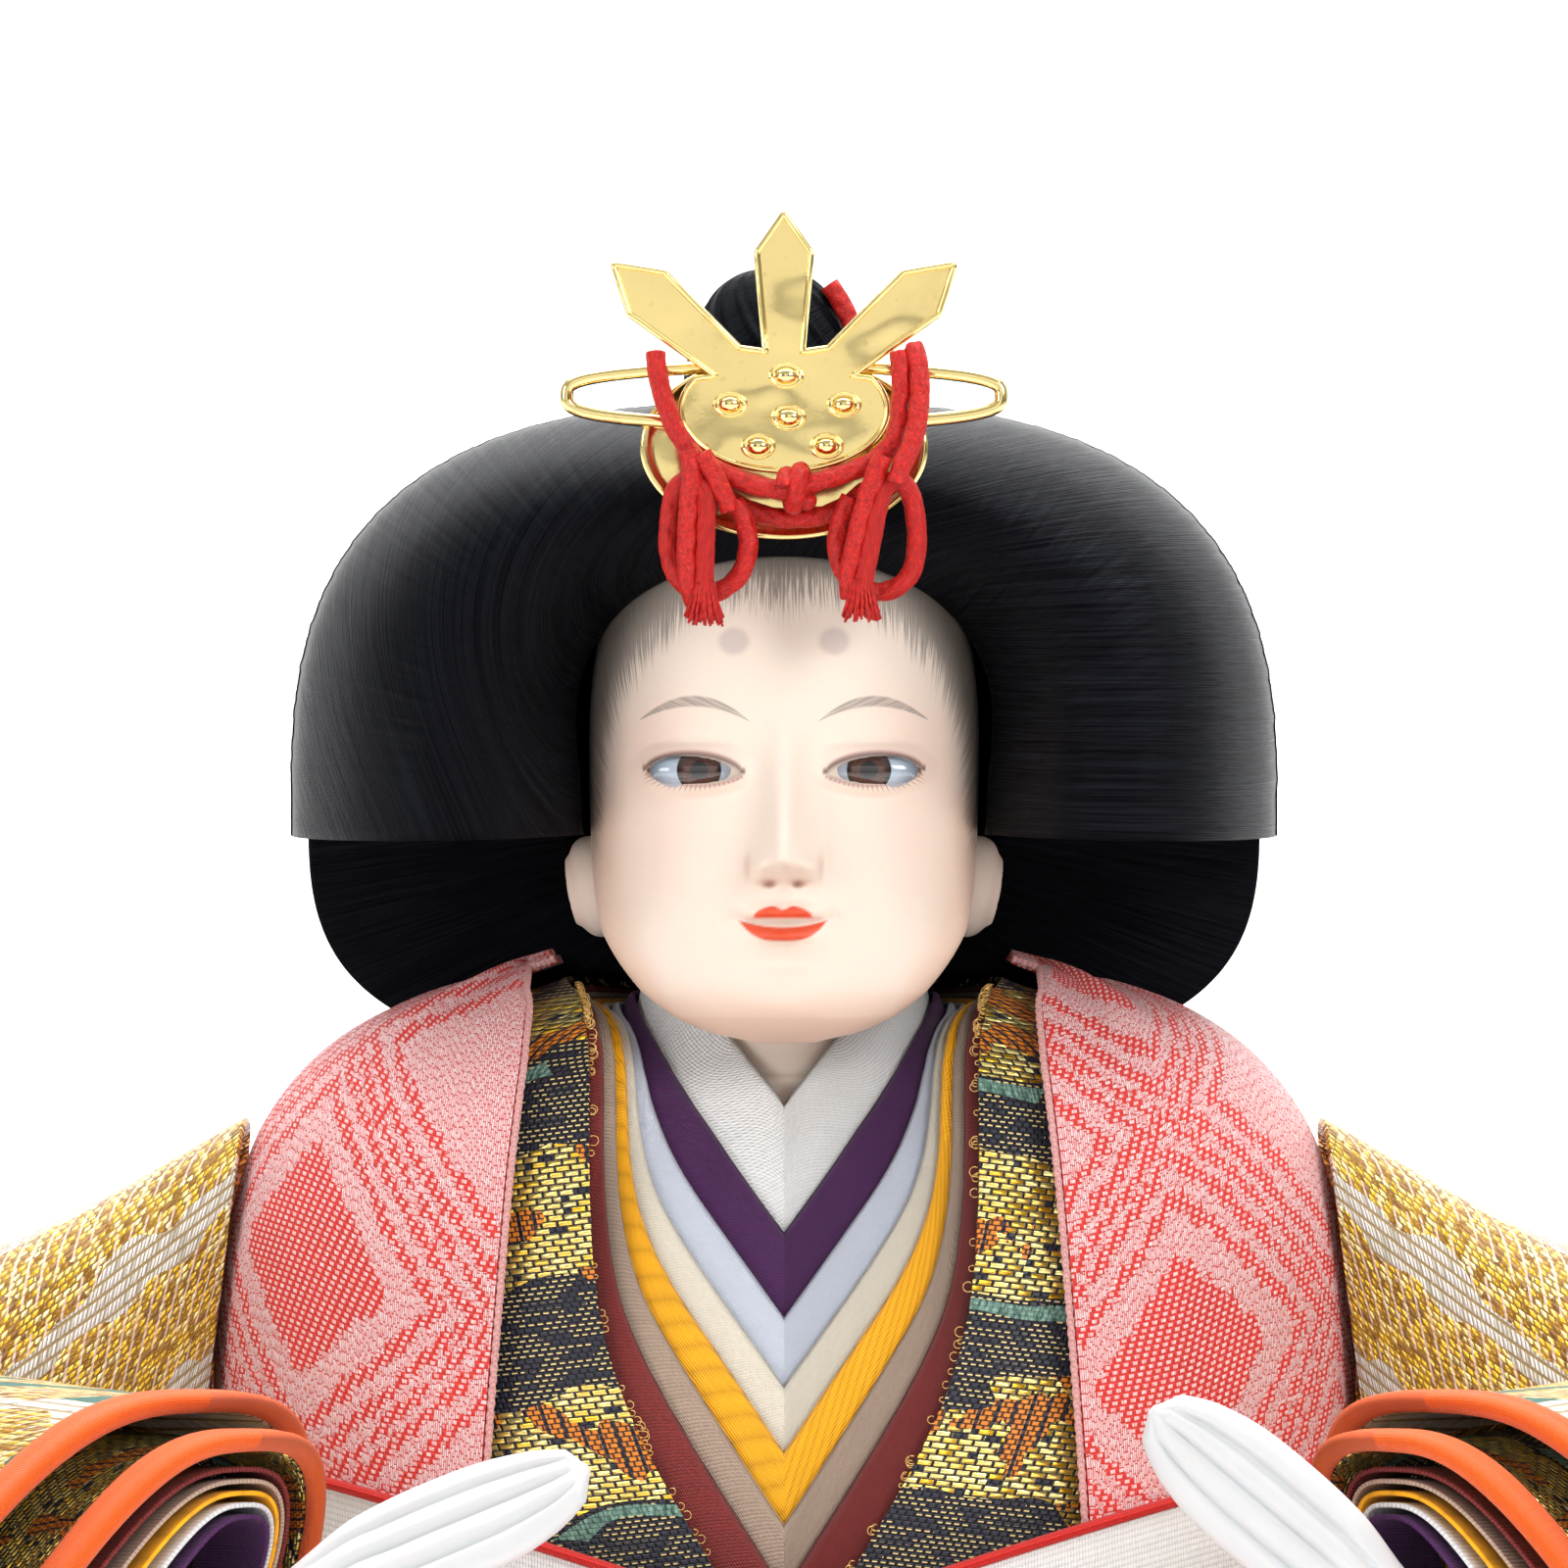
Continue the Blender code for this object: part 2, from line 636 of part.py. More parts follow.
# Body under the robes
def make_base_and_core():
    """The oval board, and the straw core glued in its seat."""
    outline = bpy.data.curves.new("base_board", "CURVE")
    outline.dimensions = "2D"
    outline.fill_mode = "BOTH"
    outline.extrude = 0.5 * BOARD_THICKNESS
    spline = outline.splines.new("POLY")
    spline.points.add(LAP_SIDES - 1)
    for k, target in enumerate(spline.points):
        x, y = ring(TURN * k / LAP_SIDES, BOARD_HALF_WIDTH, BOARD_FRONT, BOARD_BACK, LAP_POWER)
        target.co = (x, y, 0.0, 1.0)
    spline.use_cyclic_u = True
    board = add_piece("base_board", outline, "wood")
    board.location = (0.0, 0.0, 0.5 * BOARD_THICKNESS)
    board = as_mesh_at(board, "wood")
    seat_top = BOARD_THICKNESS + CUT_OVERRUN
    seat = cylinder("core_seat", CORE_RADIUS + CLEARANCE, BOARD_FLOOR, seat_top, (0, 0), "wood", 20)
    cut(board, as_cutter(seat))
    return cylinder("straw_core", CORE_RADIUS, BOARD_FLOOR + CLEARANCE, CORE_TOP, (0, 0), "straw", 20)


def as_mesh_at(piece, finish):
    """Turns a curve into a mesh and keeps its place."""
    place = piece.location.copy()
    made = as_mesh(piece, finish)
    made.location = place
    return made


def make_bust_and_lap(core_cutter):
    """Wadding that gives the robes their shape, bored for the straw core."""
    angles = np.linspace(-math.pi, math.pi, PADDING_SIDES, endpoint=False)
    top, foot = BUST.at_height(PADDING_TOP), BUST.at_height(PADDING_FOOT)
    places = np.linspace(top, foot, PADDING_ROWS)
    rows = [[BUST.point(a, at, -PADDING_SLACK) for a in angles] for at in places]
    bust = loft("bust_padding", rows, "wadding")
    cut(bust, core_cutter)
    rows = [[LAP.point(a, at, -CLEARANCE) for a in lap_angles()] for at in lap_places()[1:]]
    lap = loft("lap_stuffing", rows, "wadding")
    cut(lap, core_cutter)
    return bust


# Robes on the bust
def make_collars():
    """Seven folded collars, each lapped under the edge of the next one out."""
    edges = list(zip(COLLAR_POINT_HEIGHTS, COLLAR_REACHES, COLLAR_SLOPES))
    edges.append((BODICE_POINT_HEIGHT, BODICE_REACH, BODICE_SLOPE))
    angles = bust_angles()
    for k, name in enumerate(COLLAR_NAMES):
        lift = CLEARANCE + LAYER_PITCH * k
        inner, outer = edges[k], edges[k + 1]
        low = (outer[0] - COLLAR_UNDERLAP, outer[1] + 0.5 * COLLAR_UNDERLAP, outer[2])
        rows = []
        for share in (0.0, 0.5, 1.0):
            row = []
            for a in angles:
                start, end = collar_edge(a, *inner), collar_edge(a, *low)
                row.append(BUST.point(a, start + (end - start) * share, lift))
            rows.append(row)
        sheet(f"collar_{name}", rows, f"{name}_silk", CLOTH, True)


def bust_rows(angles, lift, start_of, edge_of):
    """Rows at fixed heights, so that two layers bend alike. Where a row would rise above the
    layer's own top edge, or a column would pass its front edge, it is drawn onto that edge."""
    heights = [BUST_TOP] + [BUST_WAIST + (BUST_TOP - BUST_WAIST) * share for share in ROBE_ROW_SHARES]
    rows = []
    for height in heights:
        row = []
        for a in angles:
            at = max(BUST.at_height(height), start_of(a))
            edge = edge_of(at)
            bound = a if abs(a) > edge + EDGE_SNAP else math.copysign(edge, a)
            row.append(BUST.point(bound, at, lift))
        rows.append(row)
    return rows


def make_bodice(armholes):
    """The dark brocade robe on the chest and back, down to the waist."""
    def neckline(angle):
        return collar_edge(angle, BODICE_POINT_HEIGHT, BODICE_REACH, BODICE_SLOPE)

    rows = bust_rows(bust_angles(), BODICE_LIFT, neckline, lambda at: -1.0)
    bodice = sheet("brocade_bodice", rows, "dark_brocade", CLOTH, True)
    for hole in armholes:
        cut(bodice, hole)


def make_jacket(armholes):
    """The rose jacket: two front panels that hang from the shoulders, and a whole back."""
    level = collar_edge(math.pi, BODICE_POINT_HEIGHT, JACKET_NECK_REACH, BODICE_SLOPE)

    def front_edge(at):
        opening = JACKET_OPENING + JACKET_OPENING_GAIN * at
        return math.asin(min(opening / BUST.oval(at)[0], 0.985) ** (BUST_POWER / 2))

    turned = [math.remainder(a, TURN) for a in bust_angles()]
    right = sorted(a for a in turned if a > SMALL_STEP)
    left = sorted(a for a in turned if a < -SMALL_STEP)
    around = right + left
    rows = bust_rows(around, JACKET_LIFT, lambda a: level, front_edge)
    jacket = sheet("jacket_body", rows, "rose_brocade", JACKET_CLOTH, False)
    for hole in armholes:
        cut(jacket, hole)


# Robes on the lap
def lap_angles():
    """The columns that the lap and every skirt share."""
    return [TURN * k / LAP_SIDES for k in range(LAP_SIDES)]


def lap_places():
    """The rows that the lap and every skirt share."""
    return [0.0] + list(np.linspace(SKIRT_START, 1.0, SKIRT_ROWS))


def skirt_rows(edge_degrees, lift):
    """Rows of a robe's skirt, open at the front between edges that part towards the floor. All
    the skirts bend at the same columns and rows."""
    rows = []
    for at in lap_places():
        share = max(at - SKIRT_START, 0.0) / (1.0 - SKIRT_START)
        edge = math.radians(EDGE_TOP_DEGREES + (edge_degrees - EDGE_TOP_DEGREES) * share**0.8)
        row = []
        for a in lap_angles()[1:]:
            turned = math.remainder(a, TURN)
            bound = turned if abs(turned) > edge + EDGE_SNAP else math.copysign(edge, turned)
            row.append(LAP.point(bound, at, lift))
        rows.append(row)
    return rows


def make_skirts():
    """Pleated red trousers, three coloured hems and the dark brocade skirt over them."""
    rows = [[LAP.point(a, at, CLEARANCE) for a in lap_angles()] for at in lap_places()]
    sheet("hakama", rows, "red_silk", HAKAMA_CLOTH, True)
    lift = CLEARANCE + HAKAMA_CLOTH + SKIRT_GAP
    for name, degrees in zip(HEM_NAMES, HEM_EDGE_DEGREES):
        sheet(f"hem_{name}", skirt_rows(degrees, lift), f"{name}_silk", CLOTH, False)
        lift += CLOTH + SKIRT_GAP
    sheet("brocade_skirt", skirt_rows(SKIRT_EDGE_DEGREES, lift), "dark_brocade", CLOTH, False)
    return lift + CLOTH


def make_sash():
    """A white sash edged in red, low at the front where its ends hang down."""
    rows = []
    angles = bust_angles()
    for share in (0.0, 0.5, 1.0):
        row = []
        for a in angles:
            x = abs(BUST.surface(a, 0.9)[0])
            if math.cos(a) < 0:
                x = max(x, SASH_BACK_SHARE * BUST_HALF_WIDTH)
            height = SASH_FRONT_TOP + SASH_RISE * min(x, BUST_HALF_WIDTH) - SASH_WIDTH * share
            top = min(height, SASH_FRONT_TOP + SASH_RISE * BUST_HALF_WIDTH)
            row.append(BUST.point(a, BUST.at_height(max(top, BUST_WAIST)), SASH_LIFT))
        rows.append(row)
    return sheet("waist_sash", rows, "white_silk", SASH_CLOTH, True)


def train_line(skirt_lift):
    """The train's line down the middle of the back, as (y, z) points from the sash's foot."""
    lift = skirt_lift + 2.0 * CLEARANCE
    sash_foot = SASH_FRONT_TOP + SASH_RISE * SASH_BACK_SHARE * BUST_HALF_WIDTH - SASH_WIDTH
    hang = BUST.point(math.pi, BUST.at_height(sash_foot - CLEARANCE), SASH_LIFT)
    slope = [hang] + [LAP.point(math.pi, at, lift) for at in lap_places()[2:-1]]
    line = [(p[1], p[2]) for p in slope]
    reach, height = line[-1]
    for out, low in TRAIN_FLOOR_SHARES:
        line.append((reach + out * (TRAIN_END - reach), TRAIN_FLOOR + low * height))
    return line


def make_train(skirt_lift):
    """The pleated train: hung from the waist, over the skirt's back, and out along the floor."""
    line = train_line(skirt_lift)
    rows = []
    columns = 2 * TRAIN_PLEATS + 1
    for r, (y, z) in enumerate(line):
        share = r / (len(line) - 1)
        half = TRAIN_TOP_HALF_WIDTH + (TRAIN_END_HALF_WIDTH - TRAIN_TOP_HALF_WIDTH) * share**1.3
        row = []
        for c in range(columns):
            side = 2.0 * c / (columns - 1) - 1.0
            fold = TRAIN_PLEAT * (c % 2)
            row.append((half * side, y + fold * (1.0 - share), z + fold * share))
        rows.append(row)
    return sheet("train", rows, "white_silk", TRAIN_CLOTH, False, (0.0, 1.0, 1.0))


# Sleeves
class Sleeve:
    """A hanging sleeve: closed sections that run from the armhole round to the cuff."""

    def __init__(self, side):
        self.side = side
        self.shift = HAND_SIDE_SHIFT * side

    def frame(self, at):
        """Middle, long half and wide half of the section at this share of the arm."""
        sizes = np.array((SLEEVE_SPAN, -SLEEVE_FORWARD, SLEEVE_TOP))
        top, foot, wide = (
            smooth_table(np.array(table) * sizes, at)
            for table in (SLEEVE_TOP_SHARES, SLEEVE_FOOT_SHARES, SLEEVE_WIDTH_SHARES)
        )
        middle = 0.5 * (top + foot)
        middle[0] += self.shift * max(at - 0.3, 0.0)
        return middle, top - 0.5 * (top + foot), wide

    def point(self, u, at, insets=(0.0, 0.0, 0.0, 0.0), out=0.0):
        """A point of the section; insets are outer, inner, top and foot, and out is forward."""
        middle, long_half, wide = self.frame(at)
        outer, inner, top, foot = insets
        long_size, wide_size = np.linalg.norm(long_half), np.linalg.norm(wide)
        long_way, wide_way = long_half / long_size, wide / wide_size
        middle = middle + long_way * 0.5 * (foot - top) + wide_way * 0.5 * (inner - outer)
        long_size -= 0.5 * (top + foot)
        wide_size -= 0.5 * (outer + inner)
        c = signed_power(math.cos(u), SLEEVE_SQUARENESS)
        s = signed_power(math.sin(u), SLEEVE_SQUARENESS)
        made = middle + long_way * (long_size * c) + wide_way * (wide_size * s)
        made = made + np.array(CUFF_FORWARD) * out
        made[0] *= self.side
        return made

    def rows(self, steps, insets, out):
        """Rows of points over the last steps of the arm, the last stretch pushed forward."""
        places = [(1.0 - k / SLEEVE_STEPS, 0.0) for k in range(steps, -1, -1)]
        if out > 0:
            places.append((1.0, out))
        angles = [TURN * k / SLEEVE_SIDES for k in range(SLEEVE_SIDES)]
        return [[self.point(u, at, insets, push) for u in angles] for at, push in places]


def make_sleeve(side, word):
    """The gold over-sleeve, the dark under-sleeve, their orange rolls and five inner bands."""
    sleeve = Sleeve(side)
    none = (0.0, 0.0, 0.0, 0.0)
    sheet(f"over_sleeve_{word}", sleeve.rows(SLEEVE_STEPS, none, 0.0), "gold_brocade", SLEEVE_CLOTH, True)
    under = np.array(UNDER_SLEEVE_INSETS)
    rows = sleeve.rows(UNDER_SLEEVE_ROWS, under, UNDER_SLEEVE_OUT)
    sheet(f"under_sleeve_{word}", rows, "dark_brocade", SLEEVE_CLOTH, True)
    angles = [TURN * k / SLEEVE_SIDES for k in range(SLEEVE_SIDES)]
    for name, insets, out in (("over", np.zeros(4), 0.0), ("under", under, UNDER_SLEEVE_OUT)):
        push = out + ROLL_RADIUS + CLEARANCE
        route = [sleeve.point(u, 1.0, insets - 0.5 * SLEEVE_CLOTH, push) for u in angles]
        tube(f"{name}_sleeve_roll_{word}", route, ROLL_RADIUS, "orange_silk", 1, True)
    insets = under + np.array(BAND_INSETS) + ROLL_RADIUS
    out = UNDER_SLEEVE_OUT + BAND_OUT
    for name in BAND_NAMES:
        rows = [[sleeve.point(u, 1.0, insets, push) for u in angles] for push in (0.0, out)]
        sheet(f"cuff_{name}_{word}", rows, f"{name}_silk", CLOTH, True)
        insets = insets + np.array(BAND_INSETS)
        out += BAND_OUT
    return sleeve


# Arms and hands
def make_arms(sleeves):
    """One wire through both arms into the hands, wrapped in wadding from shoulder to wrist."""
    halves = []
    for sleeve, wrist, tip in zip(sleeves, WRISTS, FINGERTIPS):
        way = (Vector(tip) - Vector(wrist)).normalized()
        depths = (HAND_BORE_DEPTH - CLEARANCE, 0.0, -HAND_BORE_DEPTH)
        inside = [np.array(wrist) + np.array(way) * depth for depth in depths]
        route = [tuple(p) for p in inside]
        for at in (0.98, 0.74, 0.52, 0.30):
            middle, long_half, wide = sleeve.frame(at)
            place = middle + long_half * ARM_LONG_SHARE + wide * ARM_WIDE_SHARE
            place[0] *= sleeve.side
            route.append(tuple(place))
        route.append((sleeve.side * 1.1 * BUST_HALF_WIDTH, 0.5 * ARM_BACK, ARM_HEIGHT))
        route.append((sleeve.side * ARM_ROOT, ARM_BACK, ARM_HEIGHT))
        halves.append(route)
    left, right = halves
    whole = smooth_route(np.array(left + [(0.0, ARM_BACK, ARM_HEIGHT)] + right[::-1]), 42)
    wire = tube("arm_wire", whole, WIRE_RADIUS, "iron_wire", 1)
    first, second, last_but_one, last = [np.array(whole[k]) for k in (0, 1, -2, -1)]
    ends = (first + 0.3 * (first - second), last + 0.3 * (last - last_but_one))
    longer = [tuple(ends[0])] + whole + [tuple(ends[1])]
    bore = as_cutter(as_mesh(tube("wire_bore", longer, WIRE_RADIUS + CLEARANCE, "iron_wire", 1), "iron_wire"))
    paddings, holes = [], []
    for route, word in ((whole, "left"), (whole[::-1], "right")):
        side = -1.0 if word == "left" else 1.0
        part = [p for p in route if p[0] * side > ARM_ROOT][3:]
        padding = as_mesh(tube(f"arm_padding_{word}", part, ARM_RADIUS, "wadding", 1), "wadding")
        cut(padding, bore)
        paddings.append(padding)
        near = [p for p in part if p[0] * side < 1.5 * BUST_HALF_WIDTH and p[1] > -BUST_FRONT]
        start = np.array(near[-1]) + (np.array(near[-1]) - np.array(near[-2]))
        hole = tube(f"armhole_{word}", near + [tuple(start)], ARMHOLE_RADIUS, "wadding", 1)
        holes.append(as_cutter(as_mesh(hole, "wadding")))
    return wire, bore, holes


def make_hand(word, wrist, tip, facing, bore):
    """A moulded hand: the fingers held together, slightly curled, with a groove between each."""
    wrist, tip = Vector(wrist), Vector(tip)
    way = (tip - wrist).normalized()
    face = Vector(facing)
    face = (face - way * face.dot(way)).normalized()
    across = way.cross(face)
    length = (tip - wrist).length
    sections = []
    columns = 14
    for at, wide, thick in zip(HAND_LENGTH_SHARES, HAND_WIDTH_SHARES, HAND_THICKNESS_SHARES):
        middle = wrist + way * (length * at) + face * (HAND_CURL * math.sin(math.pi * at) ** 2)
        section = []
        for k in range(columns):
            u = TURN * k / columns
            groove = FINGER_GROOVE * (k % 2) * min(max((at - 0.3) * 4.0, 0.0), 1.0)
            x = HAND_HALF_WIDTH * wide * signed_power(math.cos(u), 0.8)
            y = (HAND_HALF_THICKNESS * thick - groove) * signed_power(math.sin(u), 0.8)
            section.append(middle + across * x + face * y)
        sections.append(section)
    hand = loft(f"hand_{word}", sections, "hand_white")
    cut(hand, bore)
    return hand


# Head and neck
class Head:
    """The head as ovals at shares of its height, from the chin up."""

    def oval(self, height):
        share = (height - CHIN) / (CROWN_OF_HEAD - CHIN)
        at = np.interp(share, HEAD_HEIGHT_SHARES, np.linspace(0.0, 1.0, len(HEAD_HEIGHT_SHARES)))
        half = HEAD_HALF_WIDTH * smooth_table(HEAD_WIDTH_SHARES, at)
        face = -FACE_REACH * smooth_table(HEAD_FACE_SHARES, at)
        skull = SKULL_REACH * smooth_table(HEAD_SKULL_SHARES, at)
        return half, 0.5 * (face + skull), 0.5 * (skull - face)

    def point(self, angle, height):
        half, middle, depth = self.oval(height)
        x, y = ring(angle, half, depth, depth, HEAD_POWER)
        y += middle
        if math.cos(angle) > 0:
            lower = NOSE_DROP if height < NOSE_HEIGHT else NOSE_RISE
            rise = math.exp(-((height - NOSE_HEIGHT) / lower) ** 2 - (x / NOSE_HALF_WIDTH) ** 2)
            y -= NOSE_REACH * rise
        return (x, y, height)

    def inside(self, x, y, height):
        """Whether a point lies in the head, and so under the hair."""
        if not CHIN < height < CROWN_OF_HEAD:
            return False
        half, middle, depth = self.oval(height)
        return (abs(x) / half) ** HEAD_POWER + (abs(y - middle) / depth) ** HEAD_POWER < 1.0


HEAD = Head()


def head_angles():
    """Angles round the head, closer together across the face."""
    even = np.linspace(-math.pi, math.pi, HEAD_SIDES, endpoint=False)
    return [a - FACE_CROWDING_SHARE * math.sin(a) for a in even]


def ellipsoid(name, centre, sizes, finish, segments=16, rings=8):
    """A stretched sphere."""
    mesh = bpy.data.meshes.new(name)
    work = bmesh.new()
    bmesh.ops.create_uvsphere(work, u_segments=segments, v_segments=rings, radius=1.0)
    bmesh.ops.scale(work, vec=sizes, verts=work.verts)
    work.to_mesh(mesh)
    work.free()
    piece = add_piece(name, mesh, finish)
    piece.location = centre
    return piece


def make_head():
    """The moulded head with its neck and ears, its glass eyes, and its wooden peg."""
    span = CROWN_OF_HEAD - CHIN
    heights = [CHIN + span * share for share in HEAD_HEIGHT_SHARES]
    low, high = NOSE_HEIGHT - NOSE_DROP, NOSE_HEIGHT + NOSE_DROP
    heights = sorted([h for h in heights if not low < h < high] + [low, NOSE_HEIGHT, high])
    sections = [[HEAD.point(a, h) for a in head_angles()] for h in heights]
    head = loft("head", sections, "skin")
    middle = (0.0, -NECK_FORWARD)
    neck = cylinder("neck_body", NECK_RADIUS, NECK_FOOT, NECK_HIDDEN_TOP, middle, "skin", 20)
    cut(head, as_cutter(neck), "UNION")
    for side in (-1.0, 1.0):
        place = (side * HEAD_HALF_WIDTH * 0.97, EAR_BACK, EAR_HEIGHT)
        ear = ellipsoid("ear_form", place, (EAR_HALF_WIDTH, EAR_HALF_DEPTH, EAR_HALF_HEIGHT), "skin", 10, 6)
        ear.rotation_euler = (0.0, side * math.radians(12), 0.0)
        cut(head, as_cutter(ear), "UNION")
        word = "left" if side < 0 else "right"
        front = HEAD.point(math.asin((EYE_SPACING / HEAD_HALF_WIDTH) ** (HEAD_POWER / 2)), EYE_HEIGHT)[1]
        centre = (side * EYE_SPACING, front + 0.55 * EYE_HALF_DEPTH, EYE_HEIGHT)
        sizes = (EYE_HALF_WIDTH, EYE_HALF_DEPTH, EYE_HALF_HEIGHT)
        ellipsoid(f"eye_{word}", centre, sizes, "brown_glass", 12, 6)
        grown = tuple(s + CLEARANCE for s in sizes)
        pocket = ellipsoid(f"eye_pocket_{word}", centre, grown, "brown_glass", 12, 6)
        cut(head, as_cutter(pocket))
    peg_top = NECK_FOOT + PEG_IN_HEAD
    peg_foot = NECK_FOOT + PEG_IN_HEAD - PEG_LENGTH
    cylinder("neck_peg", PEG_RADIUS, peg_foot, peg_top, (0.0, 0.0), "wood", 24)
    low, high = NECK_FOOT - CUT_OVERRUN, peg_top + CLEARANCE
    bore = cylinder("peg_bore", PEG_RADIUS + CLEARANCE, low, high, (0, 0), "wood", 24)
    cut(head, as_cutter(bore))
    return head, peg_foot


def make_neck_wrap(core, peg_foot):
    """The paper wrap round the peg, which turns in the straw, and the socket it turns in."""
    inner = PEG_RADIUS + RUNNING_CLEARANCE
    outer = inner + WRAP_WALL
    top = CORE_TOP - CLEARANCE
    wrap = cylinder("neck_wrap", outer, top - WRAP_LENGTH, top, (0.0, 0.0), "paper", 24)
    low, high = top - WRAP_LENGTH - CUT_OVERRUN, top + CUT_OVERRUN
    bore = cylinder("wrap_bore", inner, low, high, (0, 0), "paper", 24)
    cut(wrap, as_cutter(bore))
    foot = min(peg_foot - CLEARANCE, CORE_TOP - SOCKET_DEPTH)
    socket = cylinder("neck_socket", outer + CLEARANCE, foot, CORE_TOP + CUT_OVERRUN, (0, 0), "paper", 24)
    cut(core, as_cutter(socket))


# Hair
def arch(angle, half_width, rise):
    """A point of the rounded arch of the hair; angle 0 is at the right and 90 degrees on top."""
    x = half_width * signed_power(math.cos(angle), 2 / WING_POWER)
    z = rise * abs(math.sin(angle)) ** (2 / WING_POWER)
    return np.array((x, HAIR_CENTRE + z))


def head_reach(way, depth, least):
    """How far out from the hair's centre the head reaches in this direction at this depth."""
    reach = least
    for step in np.arange(least, 0.045, 0.0005):
        x, z = way[0] * step, HAIR_CENTRE + way[1] * step
        if HEAD.inside(x, depth, z):
            reach = step + HAIR_OFF_SKIN + HAIR_CHORD
    return reach


def brow_depth(x, height, least):
    """How far forward the hair's inner edge stands, to lie on the head."""
    for depth in np.arange(0.030, least, -0.0004):
        if HEAD.inside(x, -depth, height):
            return depth + HAIR_OFF_SKIN
    return least


def wing_section(angle, drop=0.0):
    """A closed section across the front hair: up its face, over the edge, and back inside."""
    inner = arch(angle, WING_INNER_HALF_WIDTH, WING_INNER_RISE)
    outer = arch(angle, WING_HALF_WIDTH, WING_RISE)
    centre = np.array((0.0, HAIR_CENTRE))
    way = (outer - centre) / np.linalg.norm(outer - centre)
    near, far = np.linalg.norm(inner - centre), np.linalg.norm(outer - centre)
    root = brow_depth(way[0] * near, HAIR_CENTRE + way[1] * near, WING_INNER_DEPTH)
    section = []
    for out, forward in WING_PROFILE_SHARES:
        depth = root + (WING_CREST - root) * forward if out < 0.5 else WING_CREST * forward
        r = near + (far - near) * out
        section.append((way[0] * r, -depth, HAIR_CENTRE + way[1] * r))
    section.append((way[0] * far * 0.985, WING_BACK, HAIR_CENTRE + way[1] * far * 0.985))
    for depth in (WING_BACK, -0.1 * root, -0.5 * root, -0.82 * root):
        r = head_reach(way, depth, near)
        section.append((way[0] * r, depth, HAIR_CENTRE + way[1] * r))
    return [(x, y, z - drop) for x, y, z in section]


def make_front_hair():
    """The wide front hair, swept out round the face in one arch and cut level at its foot."""
    drop = HAIR_CENTRE - HAIR_FOOT
    angles = np.linspace(0.0, math.pi, WING_STEPS + 1)
    sections = [wing_section(0.0, drop)] + [wing_section(a) for a in angles] + [wing_section(math.pi, drop)]
    return loft("hair_front", sections, "black_hair")


def reach_behind(solids, x, z):
    """How far back the given solids come round this place across and up."""
    reach = 0.0
    for aside in (-NAPE_FEEL, 0.0, NAPE_FEEL):
        for above in (-NAPE_FEEL, 0.0, NAPE_FEEL):
            start = Vector((x + aside, BACK_HAIR_REACH + CORE_TOP, z + above))
            met = solids.ray_cast(start, Vector((0.0, -1.0, 0.0)))[0]
            if met is not None:
                reach = max(reach, met.y)
    return reach


def solids_before(names):
    """One search tree over the finished surfaces of the named pieces."""
    bpy.context.view_layer.update()
    graph = bpy.context.evaluated_depsgraph_get()
    points, faces = [], []
    for name in names:
        mesh = bpy.data.objects[name].evaluated_get(graph).to_mesh()
        first = len(points)
        points += [v.co.copy() for v in mesh.vertices]
        faces += [[first + k for k in f.vertices] for f in mesh.polygons]
    return BVHTree.FromPolygons(points, faces)


def make_back_hair():
    """The hair behind the wings: a shallow bowl over the back of the head, flat at the nape."""
    solids = solids_before(("head", "jacket_body", "brocade_bodice", "collar_maroon", "collar_white"))
    spokes = BACK_HAIR_SPOKES
    shares = (0.0, 0.20, 0.32, 0.46, 0.64, 0.82, 0.92, 0.97)
    front_points, back_points = [], []
    for share in shares:
        front_row, back_row = [], []
        for k in range(spokes):
            a = TURN * (k + 0.5) / spokes
            c, s = math.cos(a), math.sin(a)
            power = WING_POWER if s > 0 else BACK_HAIR_LOWER_POWER
            rise = BACK_HAIR_RISE if s > 0 else BACK_HAIR_DROP
            x = BACK_HAIR_HALF_WIDTH * signed_power(c, 2 / power) * share
            z = HAIR_CENTRE + rise * signed_power(s, 2 / power) * share
            z = max(z, BACK_HAIR_FOOT)
            nape = max(WING_BACK + CLEARANCE, reach_behind(solids, x, z) + NAPE_GAP)
            fall = 1.0 - share**2.6
            back = BACK_HAIR_EDGE + (BACK_HAIR_REACH - BACK_HAIR_EDGE) * fall
            low = min(max((HAIR_CENTRE - z) / (HAIR_CENTRE - BACK_HAIR_FOOT), 0.0), 1.0)
            middle = math.exp(-((x / (3.0 * TAIL_HALF_WIDTH)) ** 2))
            back = max(back, nape + 0.0025, low * middle * BACK_HAIR_REACH)
            front_row.append((x, nape, z))
            back_row.append((x, back, z))
        front_points.append(front_row)
        back_points.append(back_row)
    rows = front_points[1:] + back_points[:0:-1]
    return loft("hair_back", rows, "black_hair")


def make_topknot():
    """The small knot of hair on the crown of the head."""
    foot = HAIR_CENTRE + WING_RISE + CLEARANCE
    sections = []
    for share in (0.0, 0.35, 0.62, 0.82, 0.95):
        r = math.sqrt(1.0 - share**2)
        z = foot + KNOT_RISE * share
        section = []
        for k in range(16):
            u = TURN * k / 16
            x = KNOT_SIDE + KNOT_HALF_WIDTH * r * math.cos(u)
            section.append((x, KNOT_Y + KNOT_HALF_DEPTH * r * math.sin(u), z))
        sections.append(section)
    return loft("topknot", sections, "black_hair")


